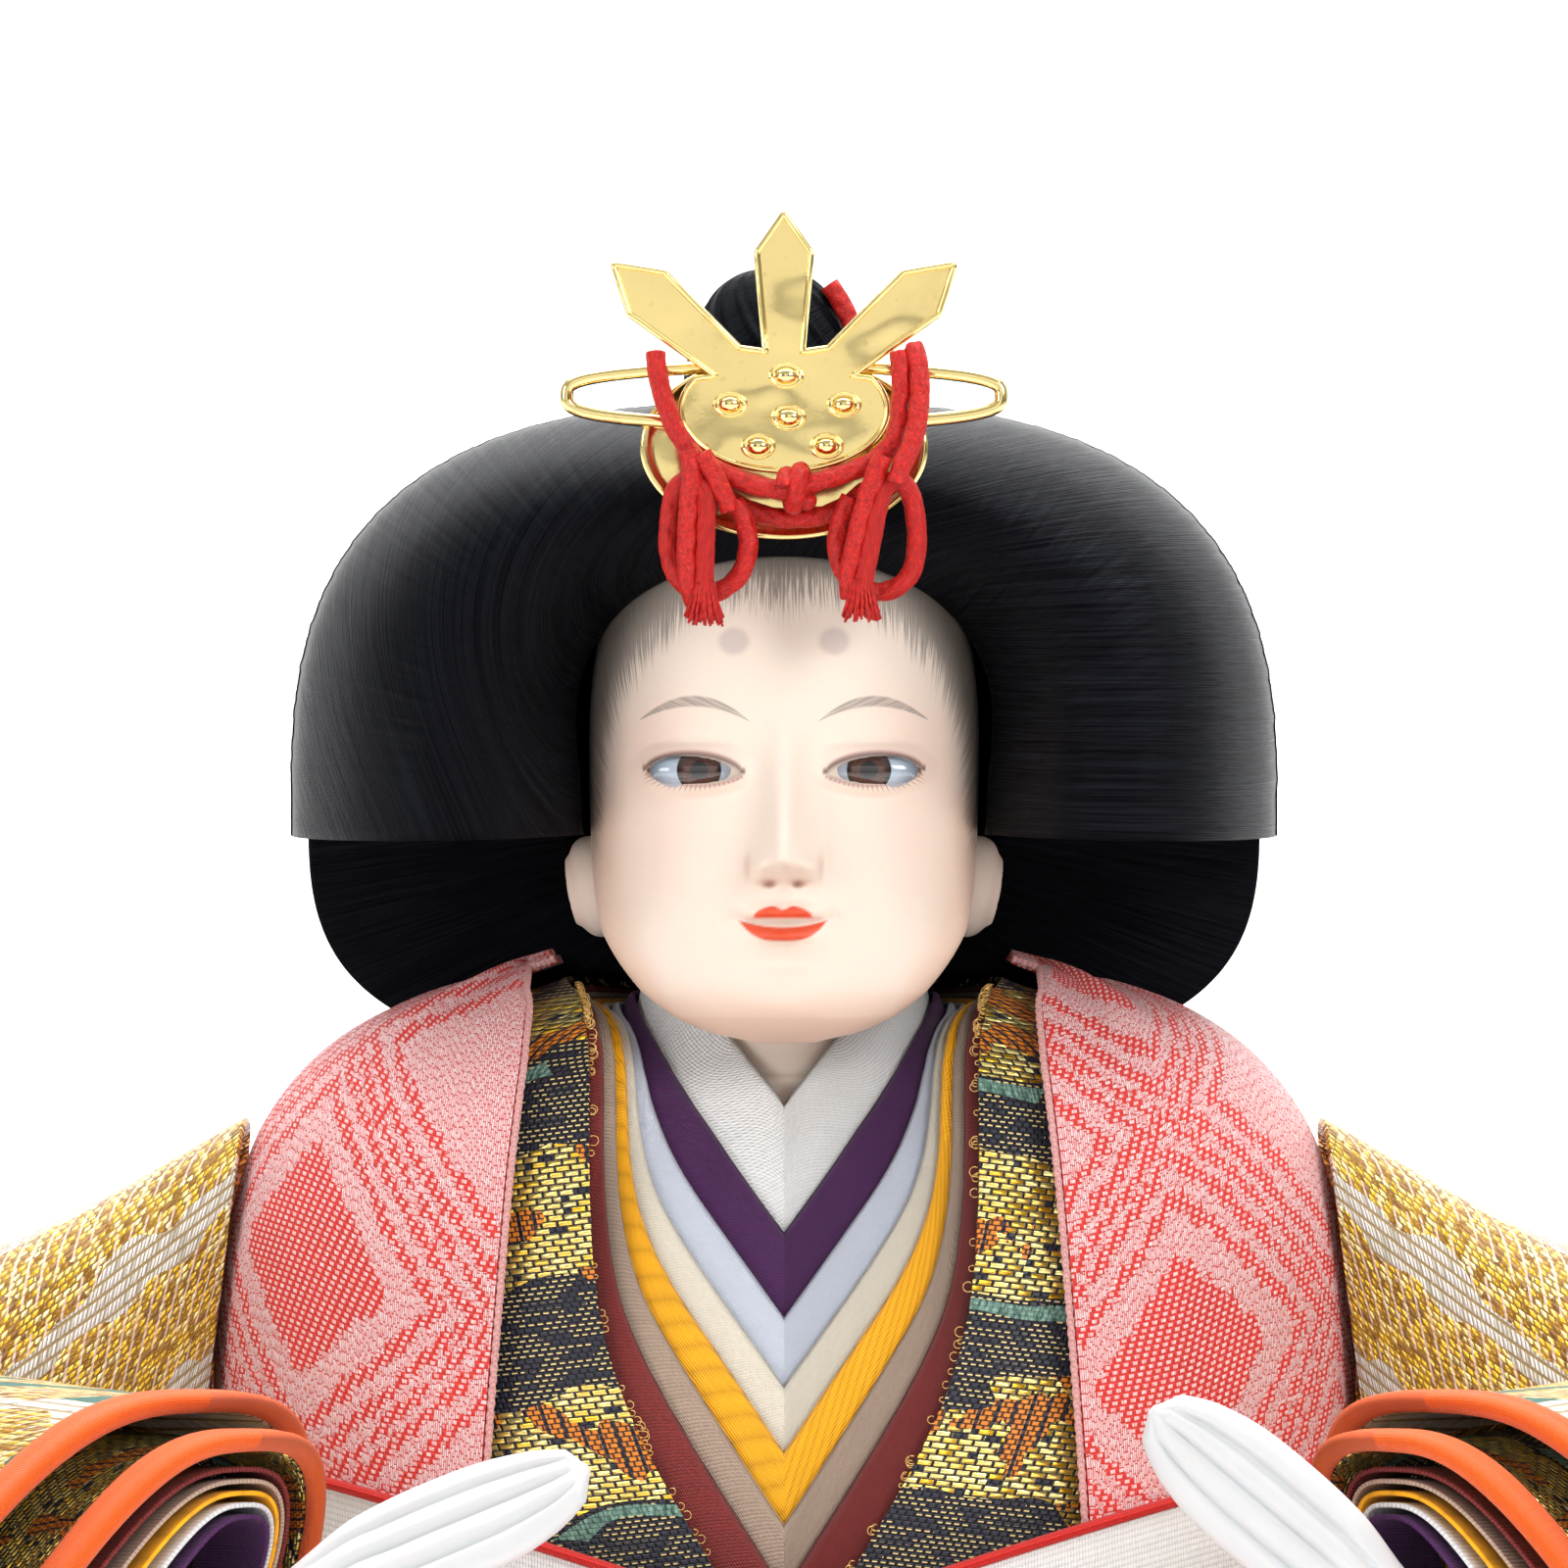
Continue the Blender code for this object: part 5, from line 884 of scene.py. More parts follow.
def add_lamp(name, place, aim, size, power, colour=(1.0, 1.0, 1.0)):
    """A square soft lamp at place that points at aim."""
    lamp = bpy.data.lights.new(name, "AREA")
    lamp.shape, lamp.size, lamp.energy, lamp.color = "SQUARE", size, power, colour
    thing = bpy.data.objects.new(name, lamp)
    thing.location = place
    thing.visible_camera = False
    way = np.array(aim, float) - np.array(place, float)
    flat = math.hypot(way[0], way[1])
    thing.rotation_euler = (math.atan2(flat, -way[2]), 0.0, math.atan2(way[1], way[0]) - 0.5 * math.pi)
    bpy.context.scene.collection.objects.link(thing)


def make_air():
    """Soft light from above and behind the doll, and dim air low on the camera's side, so that
    gilt and hair have something dark to reflect."""
    sky = bpy.data.worlds.new("studio air")
    sky.use_nodes = True
    tree = sky.node_tree
    way = Field(tree, tree.nodes.new("ShaderNodeTexCoord").outputs["Generated"])
    split = tree.nodes.new("ShaderNodeSeparateXYZ")
    plug(tree, way, split.inputs[0])
    behind, up = Field(tree, split.outputs[1]), Field(tree, split.outputs[2])
    light = (up * 0.9 + behind * 0.35).ramp(-0.22, 0.30) * 0.40 + 0.15
    plug(tree, light, tree.nodes["Background"].inputs["Strength"])
    tree.nodes["Background"].inputs["Color"].default_value = (0.96, 0.98, 1.0, 1.0)
    bpy.context.scene.world = sky


make_sweep()
make_air()
LAMP_AIM = (0.0, -0.04, 0.17)
add_lamp("key lamp", (0.66, -0.76, 0.66), LAMP_AIM, 0.42, 5.4)
add_lamp("fill lamp", (-0.78, -0.70, 0.40), LAMP_AIM, 0.42, 3.5)
add_lamp("top lamp", (0.05, 0.22, 1.0), LAMP_AIM, 0.6, 5.0)
add_lamp("front panel", (0.0, -1.5, 0.55), LAMP_AIM, 0.9, 2.2)
add_lamp("wall lamp", (0.0, 0.30, 1.5), (0.0, 1.4, 0.5), 1.4, 42.0)
bpy.context.scene.view_settings.view_transform = "Standard"

# %% [markdown]
# ## The forms under the robes
# The chest and the lap are given as ovals at shares of their height. Each robe is laid on the
# form at its own lift, so the layers follow each other and never touch.

# %% Body forms
CLEARANCE, CLOTH, LAYER_GAP = 0.0003, 0.00045, 0.00055
LAYER_PITCH = CLOTH + LAYER_GAP


def ring(angle, half_width, front, back, power):
    """A rounded oval: its half width and its depth, each times the sine or cosine raised to 2
    over power. Angle 0 faces the front and grows towards +X."""
    c, s = np.cos(angle), np.sin(angle)
    depth = np.where(c > 0, front, back)
    return half_width * signed_power(s, 2 / power), -depth * signed_power(c, 2 / power)


class Form:
    """A body form given by ovals at shares of its height, from its top edge down."""

    def __init__(self, top, foot, sizes, shares, power):
        self.top, self.foot, self.sizes, self.shares, self.power = top, foot, sizes, shares, power

    def height(self, at):
        return self.foot + (self.top - self.foot) * table(self.shares[0], at)

    def oval(self, at):
        return [size * table(share, at) for size, share in zip(self.sizes, self.shares[1:])]

    def surface(self, angle, at):
        x, y = ring(angle, *self.oval(at), self.power)
        return np.stack(np.broadcast_arrays(x, y, self.height(at)), -1)

    def point(self, angle, at, lift):
        """The surface plus its own normal times lift."""
        step = 0.01
        along = self.surface(angle, np.maximum(at - step, 0.0)) - self.surface(angle,
            np.minimum(at + step, 1.0))
        across = self.surface(angle + step, at) - self.surface(angle - step, at)
        return self.surface(angle, at) + unit(np.cross(across, along)) * np.asarray(lift)[..., None]

    def at_height(self, height):
        """The place with this height, by halving."""
        low, high = np.zeros(np.shape(height)), np.ones(np.shape(height))
        for _ in range(34):
            middle = 0.5 * (low + high)
            above = self.height(middle) > height
            low, high = np.where(above, middle, low), np.where(above, high, middle)
        return 0.5 * (low + high)


BUST = Form(0.1678, 0.0975, (0.044, 0.030, 0.026), (
    (1.0, 0.960, 0.925, 0.896, 0.865, 0.825, 0.768, 0.690, 0.562, 0.349, 0.0),
    (0.286, 0.305, 0.345, 0.43, 0.585, 0.775, 0.890, 0.950, 0.99, 0.988, 0.932),
    (0.287, 0.307, 0.333, 0.367, 0.417, 0.493, 0.593, 0.677, 0.777, 0.90, 1.0),
    (0.462, 0.519, 0.577, 0.635, 0.692, 0.75, 0.808, 0.885, 0.942, 0.981, 1.0)), 2.3)
LAP = Form(0.104, 0.0035, (0.071, 0.086, 0.070), (
    (1.0, 0.92, 0.84, 0.76, 0.66, 0.51, 0.31, 0.11, 0.0),
    (0.563, 0.60, 0.68, 0.775, 0.86, 0.915, 0.958, 0.986, 1.0),
    (0.337, 0.39, 0.52, 0.70, 0.84, 0.92, 0.965, 0.988, 1.0),
    (0.371, 0.42, 0.50, 0.60, 0.71, 0.81, 0.90, 0.97, 1.0)), 2.5)


def collar_edge(angle, point_height, reach, slope):
    """A collar's edge on the chest, by halving: straight up from its front point at the slope,
    bending to stand at the neck's side, and level round the nape."""
    angle = np.abs(np.remainder(angle + math.pi, TURN) - math.pi)
    across = np.minimum(angle, 0.5 * math.pi)
    low, high = np.zeros(across.shape), np.ones(across.shape)
    for _ in range(34):
        middle = 0.5 * (low + high)
        rise = slope * np.maximum(BUST.height(middle) - point_height, 0.0)
        edge = rise / (1.0 + (rise / reach) ** 6.0) ** (1.0 / 6.0)
        outside = BUST.surface(across, middle)[..., 0] < edge
        low, high = np.where(outside, middle, low), np.where(outside, high, middle)
    return 0.5 * (low + high)


def around_front(count):
    """Angles round the body, closer together at the front."""
    even = np.linspace(-math.pi, math.pi, count, endpoint=False)
    return even - 0.34 * np.sin(even) * np.cos(0.5 * even)


# %% [markdown]
# ## Seven collars
# Each collar is a strip of silk folded in half lengthways, so its inner edge is a soft round
# fold. The profile runs up the inside, round the fold and down the outside.

# %% Collars
COLLAR_NAMES = ("white", "purple", "ice", "cream", "yellow", "beige", "maroon")
COLLAR_POINTS = (0.1565, 0.1445, 0.1365, 0.1300, 0.1240, 0.1175, 0.1115)
COLLAR_REACHES = (0.0130, 0.0133, 0.0136, 0.0139, 0.0145, 0.0153, 0.0162)
COLLAR_SLOPES = (0.76, 0.75, 0.73, 0.71, 0.68, 0.65, 0.62)
BODICE_EDGE = (0.1035, 0.0172, 0.58)
UNDERLAP = 0.0022


def make_collar(k, name, inner, outer):
    """One folded collar between its own edge and a little under the next one."""
    angles = around_front(280)[None, :]
    base = CLEARANCE + LAYER_PITCH * k
    low_edge = (outer[0] - UNDERLAP, outer[1] + 0.5 * UNDERLAP, outer[2])
    start, end = collar_edge(angles, *inner), collar_edge(angles, *low_edge)
    down = np.concatenate([np.linspace(1.0, 0.0, 9), np.linspace(0.0, 1.0, 13)[1:]])[:, None]
    lift = np.concatenate(
        [np.full(8, 0.0), [0.00022], 0.00045 + 0.00022 * np.sin(np.linspace(0.25, 1.0, 12) * math.pi)])
    lift = np.minimum(base + lift, base + 0.00075)[:, None]
    fold = np.concatenate([np.zeros(8), [-0.0015], np.zeros(12)])[:, None]
    at = np.clip(start + (end - start) * down + fold, 0.0, 1.0)
    grid = BUST.point(np.broadcast_to(angles, at.shape), at, np.broadcast_to(lift, at.shape))
    mesh = grid_mesh(f"collar_{name}", shift(grid), around=True, along=True)
    piece = make_piece(f"collar_{name}", mesh, SILKS[name], "torso", f"collar_{name}")
    strip = BUST.surface(angles, at[-1:]) - BUST.surface(angles, at[8:9])
    return piece


edges = list(zip(COLLAR_POINTS, COLLAR_REACHES, COLLAR_SLOPES)) + [BODICE_EDGE]
for k, name in enumerate(COLLAR_NAMES):
    make_collar(k, name, edges[k], edges[k + 1])
print("collars laid:", len(COLLAR_NAMES))

# %% [markdown]
# ## The bodice and the rose jacket
# The dark bodice goes all round the chest. The jacket is open: two front panels hang straight
# down from the shoulders, and the back is whole. Its front edges are turned in and pressed.

# %% Bodice and jacket
BODICE_LIFT = CLEARANCE + LAYER_PITCH * len(COLLAR_NAMES) + LAYER_GAP
JACKET_LIFT = BODICE_LIFT + LAYER_PITCH + 2.0 * LAYER_GAP
JACKET_CLOTH = 0.0008
SASH_LIFT = JACKET_LIFT + JACKET_CLOTH + LAYER_GAP


def cloth_piece(name, grid, finish, wall, around=False, away=None,
        body="torso", rim=0.00012, uv=None):
    """A sheet of cloth of one thickness laid through a grid."""
    mesh = grid_mesh(name, grid, around=around, away=away, uv=uv)
    piece = make_piece(name, mesh, finish, body, name, wall=wall, rim=rim)
    return piece


BODICE_STRIP_LEAN = math.radians(-12.0)
BODICE_FALL = 1.08


def make_bodice():
    """The chest form at its own lift, from the neckline down to the waist, with slow
    creases. The cloth map is the form rolled out flat and leaned along the neckline, so that
    the weave follows it."""
    angles = around_front(240)[None, :]
    top = collar_edge(angles, *BODICE_EDGE)
    t = np.linspace(0.0, 1.0, 60)[:, None]
    at = top + (1.0 - top) * t
    crease = 0.00018 * np.sin(30.0 * angles + 5.0 * t) * np.sin(t * math.pi)
    lift = BODICE_LIFT + np.zeros_like(at) - 0.00016 + crease * 0.6
    grid = BUST.point(np.broadcast_to(angles, at.shape), at, lift)
    level = BUST.point(angles, np.full_like(angles, 0.45), np.zeros_like(angles))
    ring = measured(np.repeat(level, 2, axis=0), True, False)[:1, :, 0]
    ring = np.where(ring > 0.5 * ring[:, -1:], ring - ring[:, -1:], ring)
    drop = 1000.0 * np.concatenate([grid[..., 2], grid[:, :1, 2]], 1) * BODICE_FALL
    lean = BODICE_STRIP_LEAN * np.sign(ring)
    uv = np.stack([ring * np.cos(lean) - drop * np.sin(lean), ring * np.sin(lean) + drop * np.cos(lean)], 2)
    return cloth_piece("brocade_bodice", shift(grid), DARK_CLOTH, CLOTH, around=True, uv=uv)


JACKET_TOP = float(collar_edge(np.array(math.pi), BODICE_EDGE[0], 0.0178, BODICE_EDGE[2]))
JACKET_COLUMNS = 260


def jacket_front(at):
    """The angle of the jacket's front edge, which opens a little towards the waist."""
    opening = 0.0195 + 0.0055 * at
    return np.arcsin(np.minimum(opening / BUST.oval(at)[0], 0.985) ** (BUST.power / 2))


def make_jacket():
    """Both panels and the back in one grid, from one front edge round to the other. Slow folds fall
    from the shoulders and die away near the front edges. The cloth map starts at each front edge,
    so the two fronts match."""
    at = JACKET_TOP + (0.966 - JACKET_TOP) * np.linspace(0.0, 1.0, 90)[:, None] ** 1.15
    edge = jacket_front(at)
    s = np.linspace(0.0, 1.0, JACKET_COLUMNS)[None, :]
    s = s - 0.06 * np.sin(TURN * s)
    angles = edge + (TURN - 2.0 * edge) * s
    near_edge = np.minimum(s, 1.0 - s)
    turned = np.exp(-((near_edge / 0.012) ** 2))
    folds = 0.00030 * np.sin(26.0 * s + 3.0 * at) * np.sin(np.clip(at * 3.2, 0, math.pi)) * (1.0 - turned)
    shoulder = np.exp(-(((at - JACKET_TOP - 0.10) / 0.16) ** 2)) * (1.0 - turned)
    pleats = 0.00075 * np.clip(np.sin(46.0 * s + 9.0 * at), -0.1, 1.0) ** 2 * shoulder
    lift = JACKET_LIFT + folds * 0.55 + pleats - 0.00005
    grid = BUST.point(angles, np.broadcast_to(at, angles.shape), lift)
    uv = measured(grid, False, False)
    uv[:, JACKET_COLUMNS // 2:, 0] -= uv[:, -1:, 0]
    return cloth_piece("jacket_body", shift(grid), ROSE, JACKET_CLOTH, rim=0.0003, uv=uv)


def make_edge_trims():
    """A two-ply twisted edge along both jacket fronts, and loose loops of gilt thread along the
    bodice's neckline, where the foil strips turn back."""
    at = JACKET_TOP + (0.958 - JACKET_TOP) * np.linspace(0.004, 1.0, 400) ** 1.15
    edge = jacket_front(at)
    pink = silk("twisted edge silk", (0.85, 0.42, 0.40), 0.16, 0.5, 0.25, 0.5, 1.15)
    rng = np.random.default_rng(21)
    for side, word in SIDES:
        angles = side * (edge - 0.0004 / BUST.oval(at)[0])
        path = even_route(shift(BUST.point(angles, at, np.full(400, JACKET_LIFT + 0.6 * JACKET_CLOTH))), 700)
        twist = np.arange(700)[:, None] * route_length(path) / 700 / 0.0011 * TURN
        radius = 0.00038 * (0.72 + 0.28 * np.abs(np.cos(TURN * np.arange(12) / 12 - 0.5 * twist)))
        grid = carry(path, (0.0, -1.0, 0.0), round_profile(700, 12, 1.0) * radius[..., None])
        closed_piece(f"jacket_edge_{word}", grid, pink, "torso")
        loops = []
        for angle in side * rng.uniform(0.04, 1.1, 90):
            foot = BUST.point(np.array(angle), collar_edge(np.array(angle), *BODICE_EDGE),
                np.array(BODICE_LIFT + 0.0004))
            size, lean, turn = rng.uniform(0.00018, 0.00048), rng.uniform(-0.6, 0.6), np.linspace(0.15,
                0.85, 12) * TURN
            curl = size * np.stack([side * (np.cos(turn) - 1.0), lean * (np.cos(turn) - 1.0),
                np.sin(turn)], 1)
            loops.append(carry(shift(foot + curl), (0.0, -1.0, 0.0), round_profile(12, 4, 0.00005)))
        make_piece(f"thread_loops_{word}", bundle_mesh(f"thread_loops_{word}", loops), GOLD_THREAD, "torso")


make_bodice()
make_jacket()
make_edge_trims()

# %% [markdown]
# ## Padding, board and core
# Nothing of these shows from outside, but they are real parts: wadding over a straw core on a
# wooden board. The wadding is soft, so it is made again here as a stuffed form.

# %% Padding
def wadding_finish():
    """Cotton wadding: fine tufts of noise."""
    def paint(tree):
        tuft = noise(tree, object_place(tree), 900.0, 4.0, 0.7, 1.5)
        return {
            "Base Color": mix(tree, tuft, (0.62, 0.59, 0.52), (0.88, 0.86, 0.80)),
            "Normal": bump(tree, tuft, 0.0006),
        }
    return finish("cotton wadding", paint, Roughness=0.95, Sheen_Weight=0.3, Specular_IOR_Level=0.1)


WADDING = wadding_finish()


def stuffed(name, rows, body="torso"):
    """A stuffed form: closed ovals from the top to the foot with rounded ends."""
    piece = closed_piece(name, rows, WADDING, body, name)


def make_padding():
    """The chest and lap forms a little inside the robes, with slow dents."""
    angles = np.linspace(-math.pi, math.pi, 96, endpoint=False)[None, :]
    top, foot = (float(BUST.at_height(np.array(h))) for h in (0.1545, 0.1055))
    at = np.linspace(top, foot, 40)[:, None]
    edge = np.minimum((at - top) / (foot - top), (foot - at) / (foot - top))
    lift = -0.0010 - 0.0012 * np.exp(-((edge / 0.03) ** 2)) - 0.0003 * np.sin(5 * angles + 9 * at) ** 2
    stuffed("bust_padding", shift(BUST.point(angles + 0 * at, at + 0 * angles, lift)))
    at = np.linspace(0.17, 1.0, 40)[:, None]
    edge = np.minimum((at - 0.17) / 0.83, (1.0 - at) / 0.83)
    lift = -0.0004 - 0.0015 * np.exp(-((edge / 0.03) ** 2)) - 0.0004 * np.sin(6 * angles + 7 * at) ** 2
    stuffed("lap_stuffing", shift(LAP.point(angles + 0 * at, at + 0 * angles, lift)))


make_padding()

# %% [markdown]
# ## Trousers, hems and skirt
# Under the dark skirt come three coloured hems and the red pleated trousers. The layers part at
# the front, so that each shows beyond the next.

# %% Lap robes
HAKAMA_CLOTH, SKIRT_GAP = 0.0008, 0.0005
HEM_NAMES, HEM_DEGREES, SKIRT_DEGREES = ("white", "yellow", "maroon"), (26.0, 32.5, 39.0), 46.0
SASH_TOP, SASH_RISE, SASH_WIDTH, SASH_BACK_SHARE = 0.1085, 0.38, 0.011, 0.6


def make_hakama():
    """The lap form with knife pleats at the front: a saw wave of the angle, which fades where
    the hems lie on it."""
    angles = np.linspace(-math.pi, math.pi, 480, endpoint=False)[None, :]
    at = np.concatenate([[0.0, 0.05], np.linspace(0.10, 1.0, 60)])[:, None]
    saw = np.remainder(angles / (TURN / 44), 1.0)
    pleat = np.where(saw < 0.85, saw / 0.85, (1.0 - saw) / 0.15)
    bare = 1.0 / (1.0 + np.exp((np.abs(angles) - math.radians(21.0) * at**0.8) / 0.03))
    front = bare * np.clip((at - 0.12) * 5.0, 0.0, 1.0)
    grid = LAP.point(angles + 0 * at, at + 0 * angles, CLEARANCE + 0.0011 * pleat * front)
    return cloth_piece("hakama", shift(grid), SILKS["red"], HAKAMA_CLOTH, around=True)


def skirt_grid(edge_degrees, lift, wave):
    """An open robe from one front edge round to the other; the edges part towards the floor."""
    at = np.concatenate([[0.0, 0.05, 0.1], np.linspace(0.14, 1.0, 56)])[:, None]
    share = np.maximum(at - 0.16, 0.0) / 0.84
    edge = np.radians(9.0 + (edge_degrees - 9.0) * share**0.8)
    s = np.linspace(0.0, 1.0, 220)[None, :]
    angles = edge + (TURN - 2.0 * edge) * s
    swell = wave * np.sin(22.0 * s + 2.0 * at) * np.clip((at - 0.15) * 2.0, 0.0, 1.0)
    return LAP.point(angles, at + 0 * s, lift + swell)


def make_skirts():
    lift = CLEARANCE + HAKAMA_CLOTH + SKIRT_GAP
    for name, degrees in zip(HEM_NAMES, HEM_DEGREES):
        cloth_piece(f"hem_{name}", shift(skirt_grid(degrees, lift, 0.0)), SILKS[name], CLOTH)
        lift += CLOTH + SKIRT_GAP
    cloth_piece("brocade_skirt", shift(skirt_grid(SKIRT_DEGREES, lift, 0.0)), DARK_CLOTH, CLOTH)
    return lift + CLOTH


make_hakama()
SKIRT_OUTSIDE = make_skirts()

# %% [markdown]
# ## The white sash and its red edge
# The sash crosses the waist in a shallow V and is edged on both sides with a narrow red cord.

# %% Sash
def sash_line(angles, share):
    """The place of the sash's line on the chest: its height rises with the distance aside."""
    x = np.abs(BUST.surface(angles, np.full(angles.shape, 0.9))[..., 0])
    x = np.where(np.cos(angles) < 0, np.maximum(x, SASH_BACK_SHARE * 0.044), x)
    height = SASH_TOP + SASH_RISE * np.minimum(x, 0.044) - SASH_WIDTH * share
    return BUST.at_height(np.maximum(np.minimum(height, SASH_TOP + SASH_RISE * 0.044), BUST.foot))


def make_sash():
    angles = around_front(240)[None, :]
    rows = [sash_line(angles, share) for share in np.linspace(0.0, 1.0, 12)]
    at = np.concatenate(rows)
    grid = BUST.point(np.broadcast_to(angles, at.shape), at, np.full(at.shape, SASH_LIFT))
    cloth_piece("waist_sash", shift(grid), SILKS["sash"], 0.0008, around=True, rim=0.0002)
    for word, share in (("upper", 0.02), ("lower", 0.98)):
        path = BUST.point(angles, sash_line(angles, share), np.full(angles.shape, SASH_LIFT + 0.0010))[0]
        grid = carry(path, (0, 0, 1), round_profile(len(path), 10, 0.00055), closed=True)
        closed_piece(f"sash_edge_{word}", shift(grid), SILKS["red"], "torso", along=True)


make_sash()

# %% [markdown]
# ## The train
# A pleated white train hangs from the back of the waist, over the skirt and along the floor.

# %% Train
def train_finish():
    """White silk painted with pale green and rose waves, faint as on old dyed gauze."""
    def paint(tree):
        across, along = cloth_place(tree)
        weave = use(tree, THREADS, Across=across, Along=along, Warp=0.25, Weft=0.25)
        wave = ((along * 0.16 + (across * 0.12).sine() * 0.6).sine()).ramp(0.80, 0.93)
        rose = ((along * 0.16 + 2.2 + (across * 0.12 + 1.0).sine() * 0.6).sine()).ramp(0.84, 0.95)
        # Painted shade: the weave's low places are darker than its raised threads.
        tone = mix(tree, weave["Height"], (0.46, 0.44, 0.40), (0.62, 0.60, 0.56))
        tone = mix(tree, wave * 0.6, tone, (0.12, 0.26, 0.17))
        return {"Base Color": mix(tree, rose * 0.55, tone, (0.55, 0.15, 0.14)),
            "Normal": bump(tree, weave["Height"], 0.00008)}
    return finish("painted white silk", paint, Roughness=0.55, Sheen_Weight=0.2)


def train_line():
    """Points (y, z) down the middle of the back, from under the sash to the train's end."""
    lift = SKIRT_OUTSIDE + 2.0 * CLEARANCE
    foot = SASH_TOP + SASH_RISE * SASH_BACK_SHARE * 0.044 - SASH_WIDTH
    behind = np.array(math.pi)
    hang = BUST.point(behind, BUST.at_height(np.array(foot - CLEARANCE)), np.array(SASH_LIFT))
    slope = [hang] + [LAP.point(behind, np.array(at), np.array(lift))
        for at in np.linspace(0.16, 1.0, 5)[1:-1]]
    line = [(p[1], p[2]) for p in slope]
    reach, height = line[-1]
    line += [(reach + out * (0.1385 - reach), 0.0006 + low * height) for out,
        low in ((0.17, 0.36), (0.40, 0.20), (1.0, 0.0))]
    return np.array(line)


def make_train():
    """Each pleat is a rounded wave, up off the skirt on the back and up off the floor."""
    line = table(train_line(), np.linspace(0.0, 1.0, 90))
    line[:, 1] = np.maximum(line[:, 1], 0.0006)
    share = np.linspace(0.0, 1.0, 90)[:, None]
    side = np.linspace(-1.0, 1.0, 321)[None, :]
    half = 0.026 + 0.054 * share**1.3
    fold = 0.0016 * (0.5 - 0.5 * np.cos(side * math.pi * 8.0))
    grid = np.stack([half * side, line[:, :1] + fold * (1.0 - share), line[:, 1:] + fold * share], 2)
    cloth_piece("train", shift(grid), train_finish(), 0.0008, away=(0.0, 1.0, 1.0))


make_train()

# %% [markdown]
# ## Sleeves
# The sleeve is a closed oval section that runs from the shoulder, out and round to the front,
# growing longer as it goes. The gold sleeve is lined in orange, whose edge is rolled out at the
# cuff. Inside it are the dark sleeve and five coloured bands.

# %% Sleeves
SLEEVE_SIZES = np.array((0.160, -0.080, 0.1545))
SLEEVE_TOP = ((0.320, -0.02, 1.0), (0.412, 0.02, 0.945), (0.527, 0.16, 0.885), (0.540, 0.46, 0.868),
    (0.440, 0.74, 0.860), (0.345, 0.93, 0.852))
SLEEVE_FOOT = ((0.354, -0.02, 0.745), (0.462, 0.03, 0.545), (0.660, 0.16, 0.290), (0.795, 0.33, 0.095),
    (0.835, 0.50, 0.034), (0.760, 0.70, 0.029))
SLEEVE_WIDE = ((0.0, -0.155, 0.0), (0.022, -0.160, 0.0), (0.055, -0.130, 0.008), (0.085, -0.050, 0.010),
    (0.100, 0.050, 0.006), (0.107, 0.148, 0.0))
CUFF_WAY = np.array((-0.55, -0.83, 0.05))
SLEEVE_CLOTH, ROLL_RADIUS = 0.0007, 0.0010
UNDER_INSETS, UNDER_OUT = np.array((0.0085, 0.0032, 0.0040, 0.0032)), 0.0080
BAND_NAMES, BAND_INSETS, BAND_OUT = ("maroon", "beige", "yellow", "white", "purple"), np.array(
    (0.0019, 0.00115, 0.0012, 0.00115)), 0.0008


class Sleeve:
    """One arm's sleeve. side is -1 for the picture's left and 1 for its right."""

    def __init__(self, side):
        self.side = side

    def frame(self, at):
        """The section's middle, its long half and its wide half at a share of the arm."""
        top, foot, wide = (table(np.array(t) * SLEEVE_SIZES, at)
            for t in (SLEEVE_TOP, SLEEVE_FOOT, SLEEVE_WIDE))
        middle = 0.5 * (top + foot)
        middle = middle + np.stack([0.0042 * self.side * np.maximum(at - 0.3, 0.0), 0 * at, 0 * at], -1)
        return middle, 0.5 * (top - foot), wide

    def point(self, u, at, insets=(0.0, 0.0, 0.0, 0.0), out=0.0):
        """A point of the section, whose cosine and sine are raised to 0.66 so that it is a
        rounded box; insets draw in its outer, inner, top and foot sides, and out pushes it
        forward."""
        u, at, out = np.broadcast_arrays(u, at, out)
        middle, long_half, wide = self.frame(at)
        outer, inner, top, foot = insets
        long_size = np.linalg.norm(long_half, axis=-1, keepdims=True)
        wide_size = np.linalg.norm(wide, axis=-1, keepdims=True)
        long_way, wide_way = long_half / long_size, wide / wide_size
        middle = middle + long_way * 0.5 * (foot - top) + wide_way * 0.5 * (inner - outer)
        long_size, wide_size = long_size - 0.5 * (top + foot), wide_size - 0.5 * (outer + inner)
        c, s = signed_power(np.cos(u), 0.66)[..., None], signed_power(np.sin(u), 0.66)[..., None]
        made = middle + long_way * (long_size * c) + wide_way * (wide_size * s)
        made = made + CUFF_WAY * out[..., None]
        made = made + wide_way * self.sway(u, at)[..., None]
        return made * np.array((self.side, 1.0, 1.0))

    def sway(self, u, at):
        """The slow folds that every layer of the sleeve shares."""
        hang = np.clip(at * 2.2, 0.0, 1.0)
        return 0.0007 * hang * np.sin(3.0 * np.cos(u) * 2.2 + 6.0 * at) * np.clip(0.55 - 0.45 * np.cos(u),
            0.0, 1.0)


def sleeve_angles(count):
    """Angles whose points lie evenly along a rounded box."""
    even = np.linspace(0.0, TURN, count, endpoint=False)
    return even + 0.11 * np.sin(4.0 * even) * 0.8


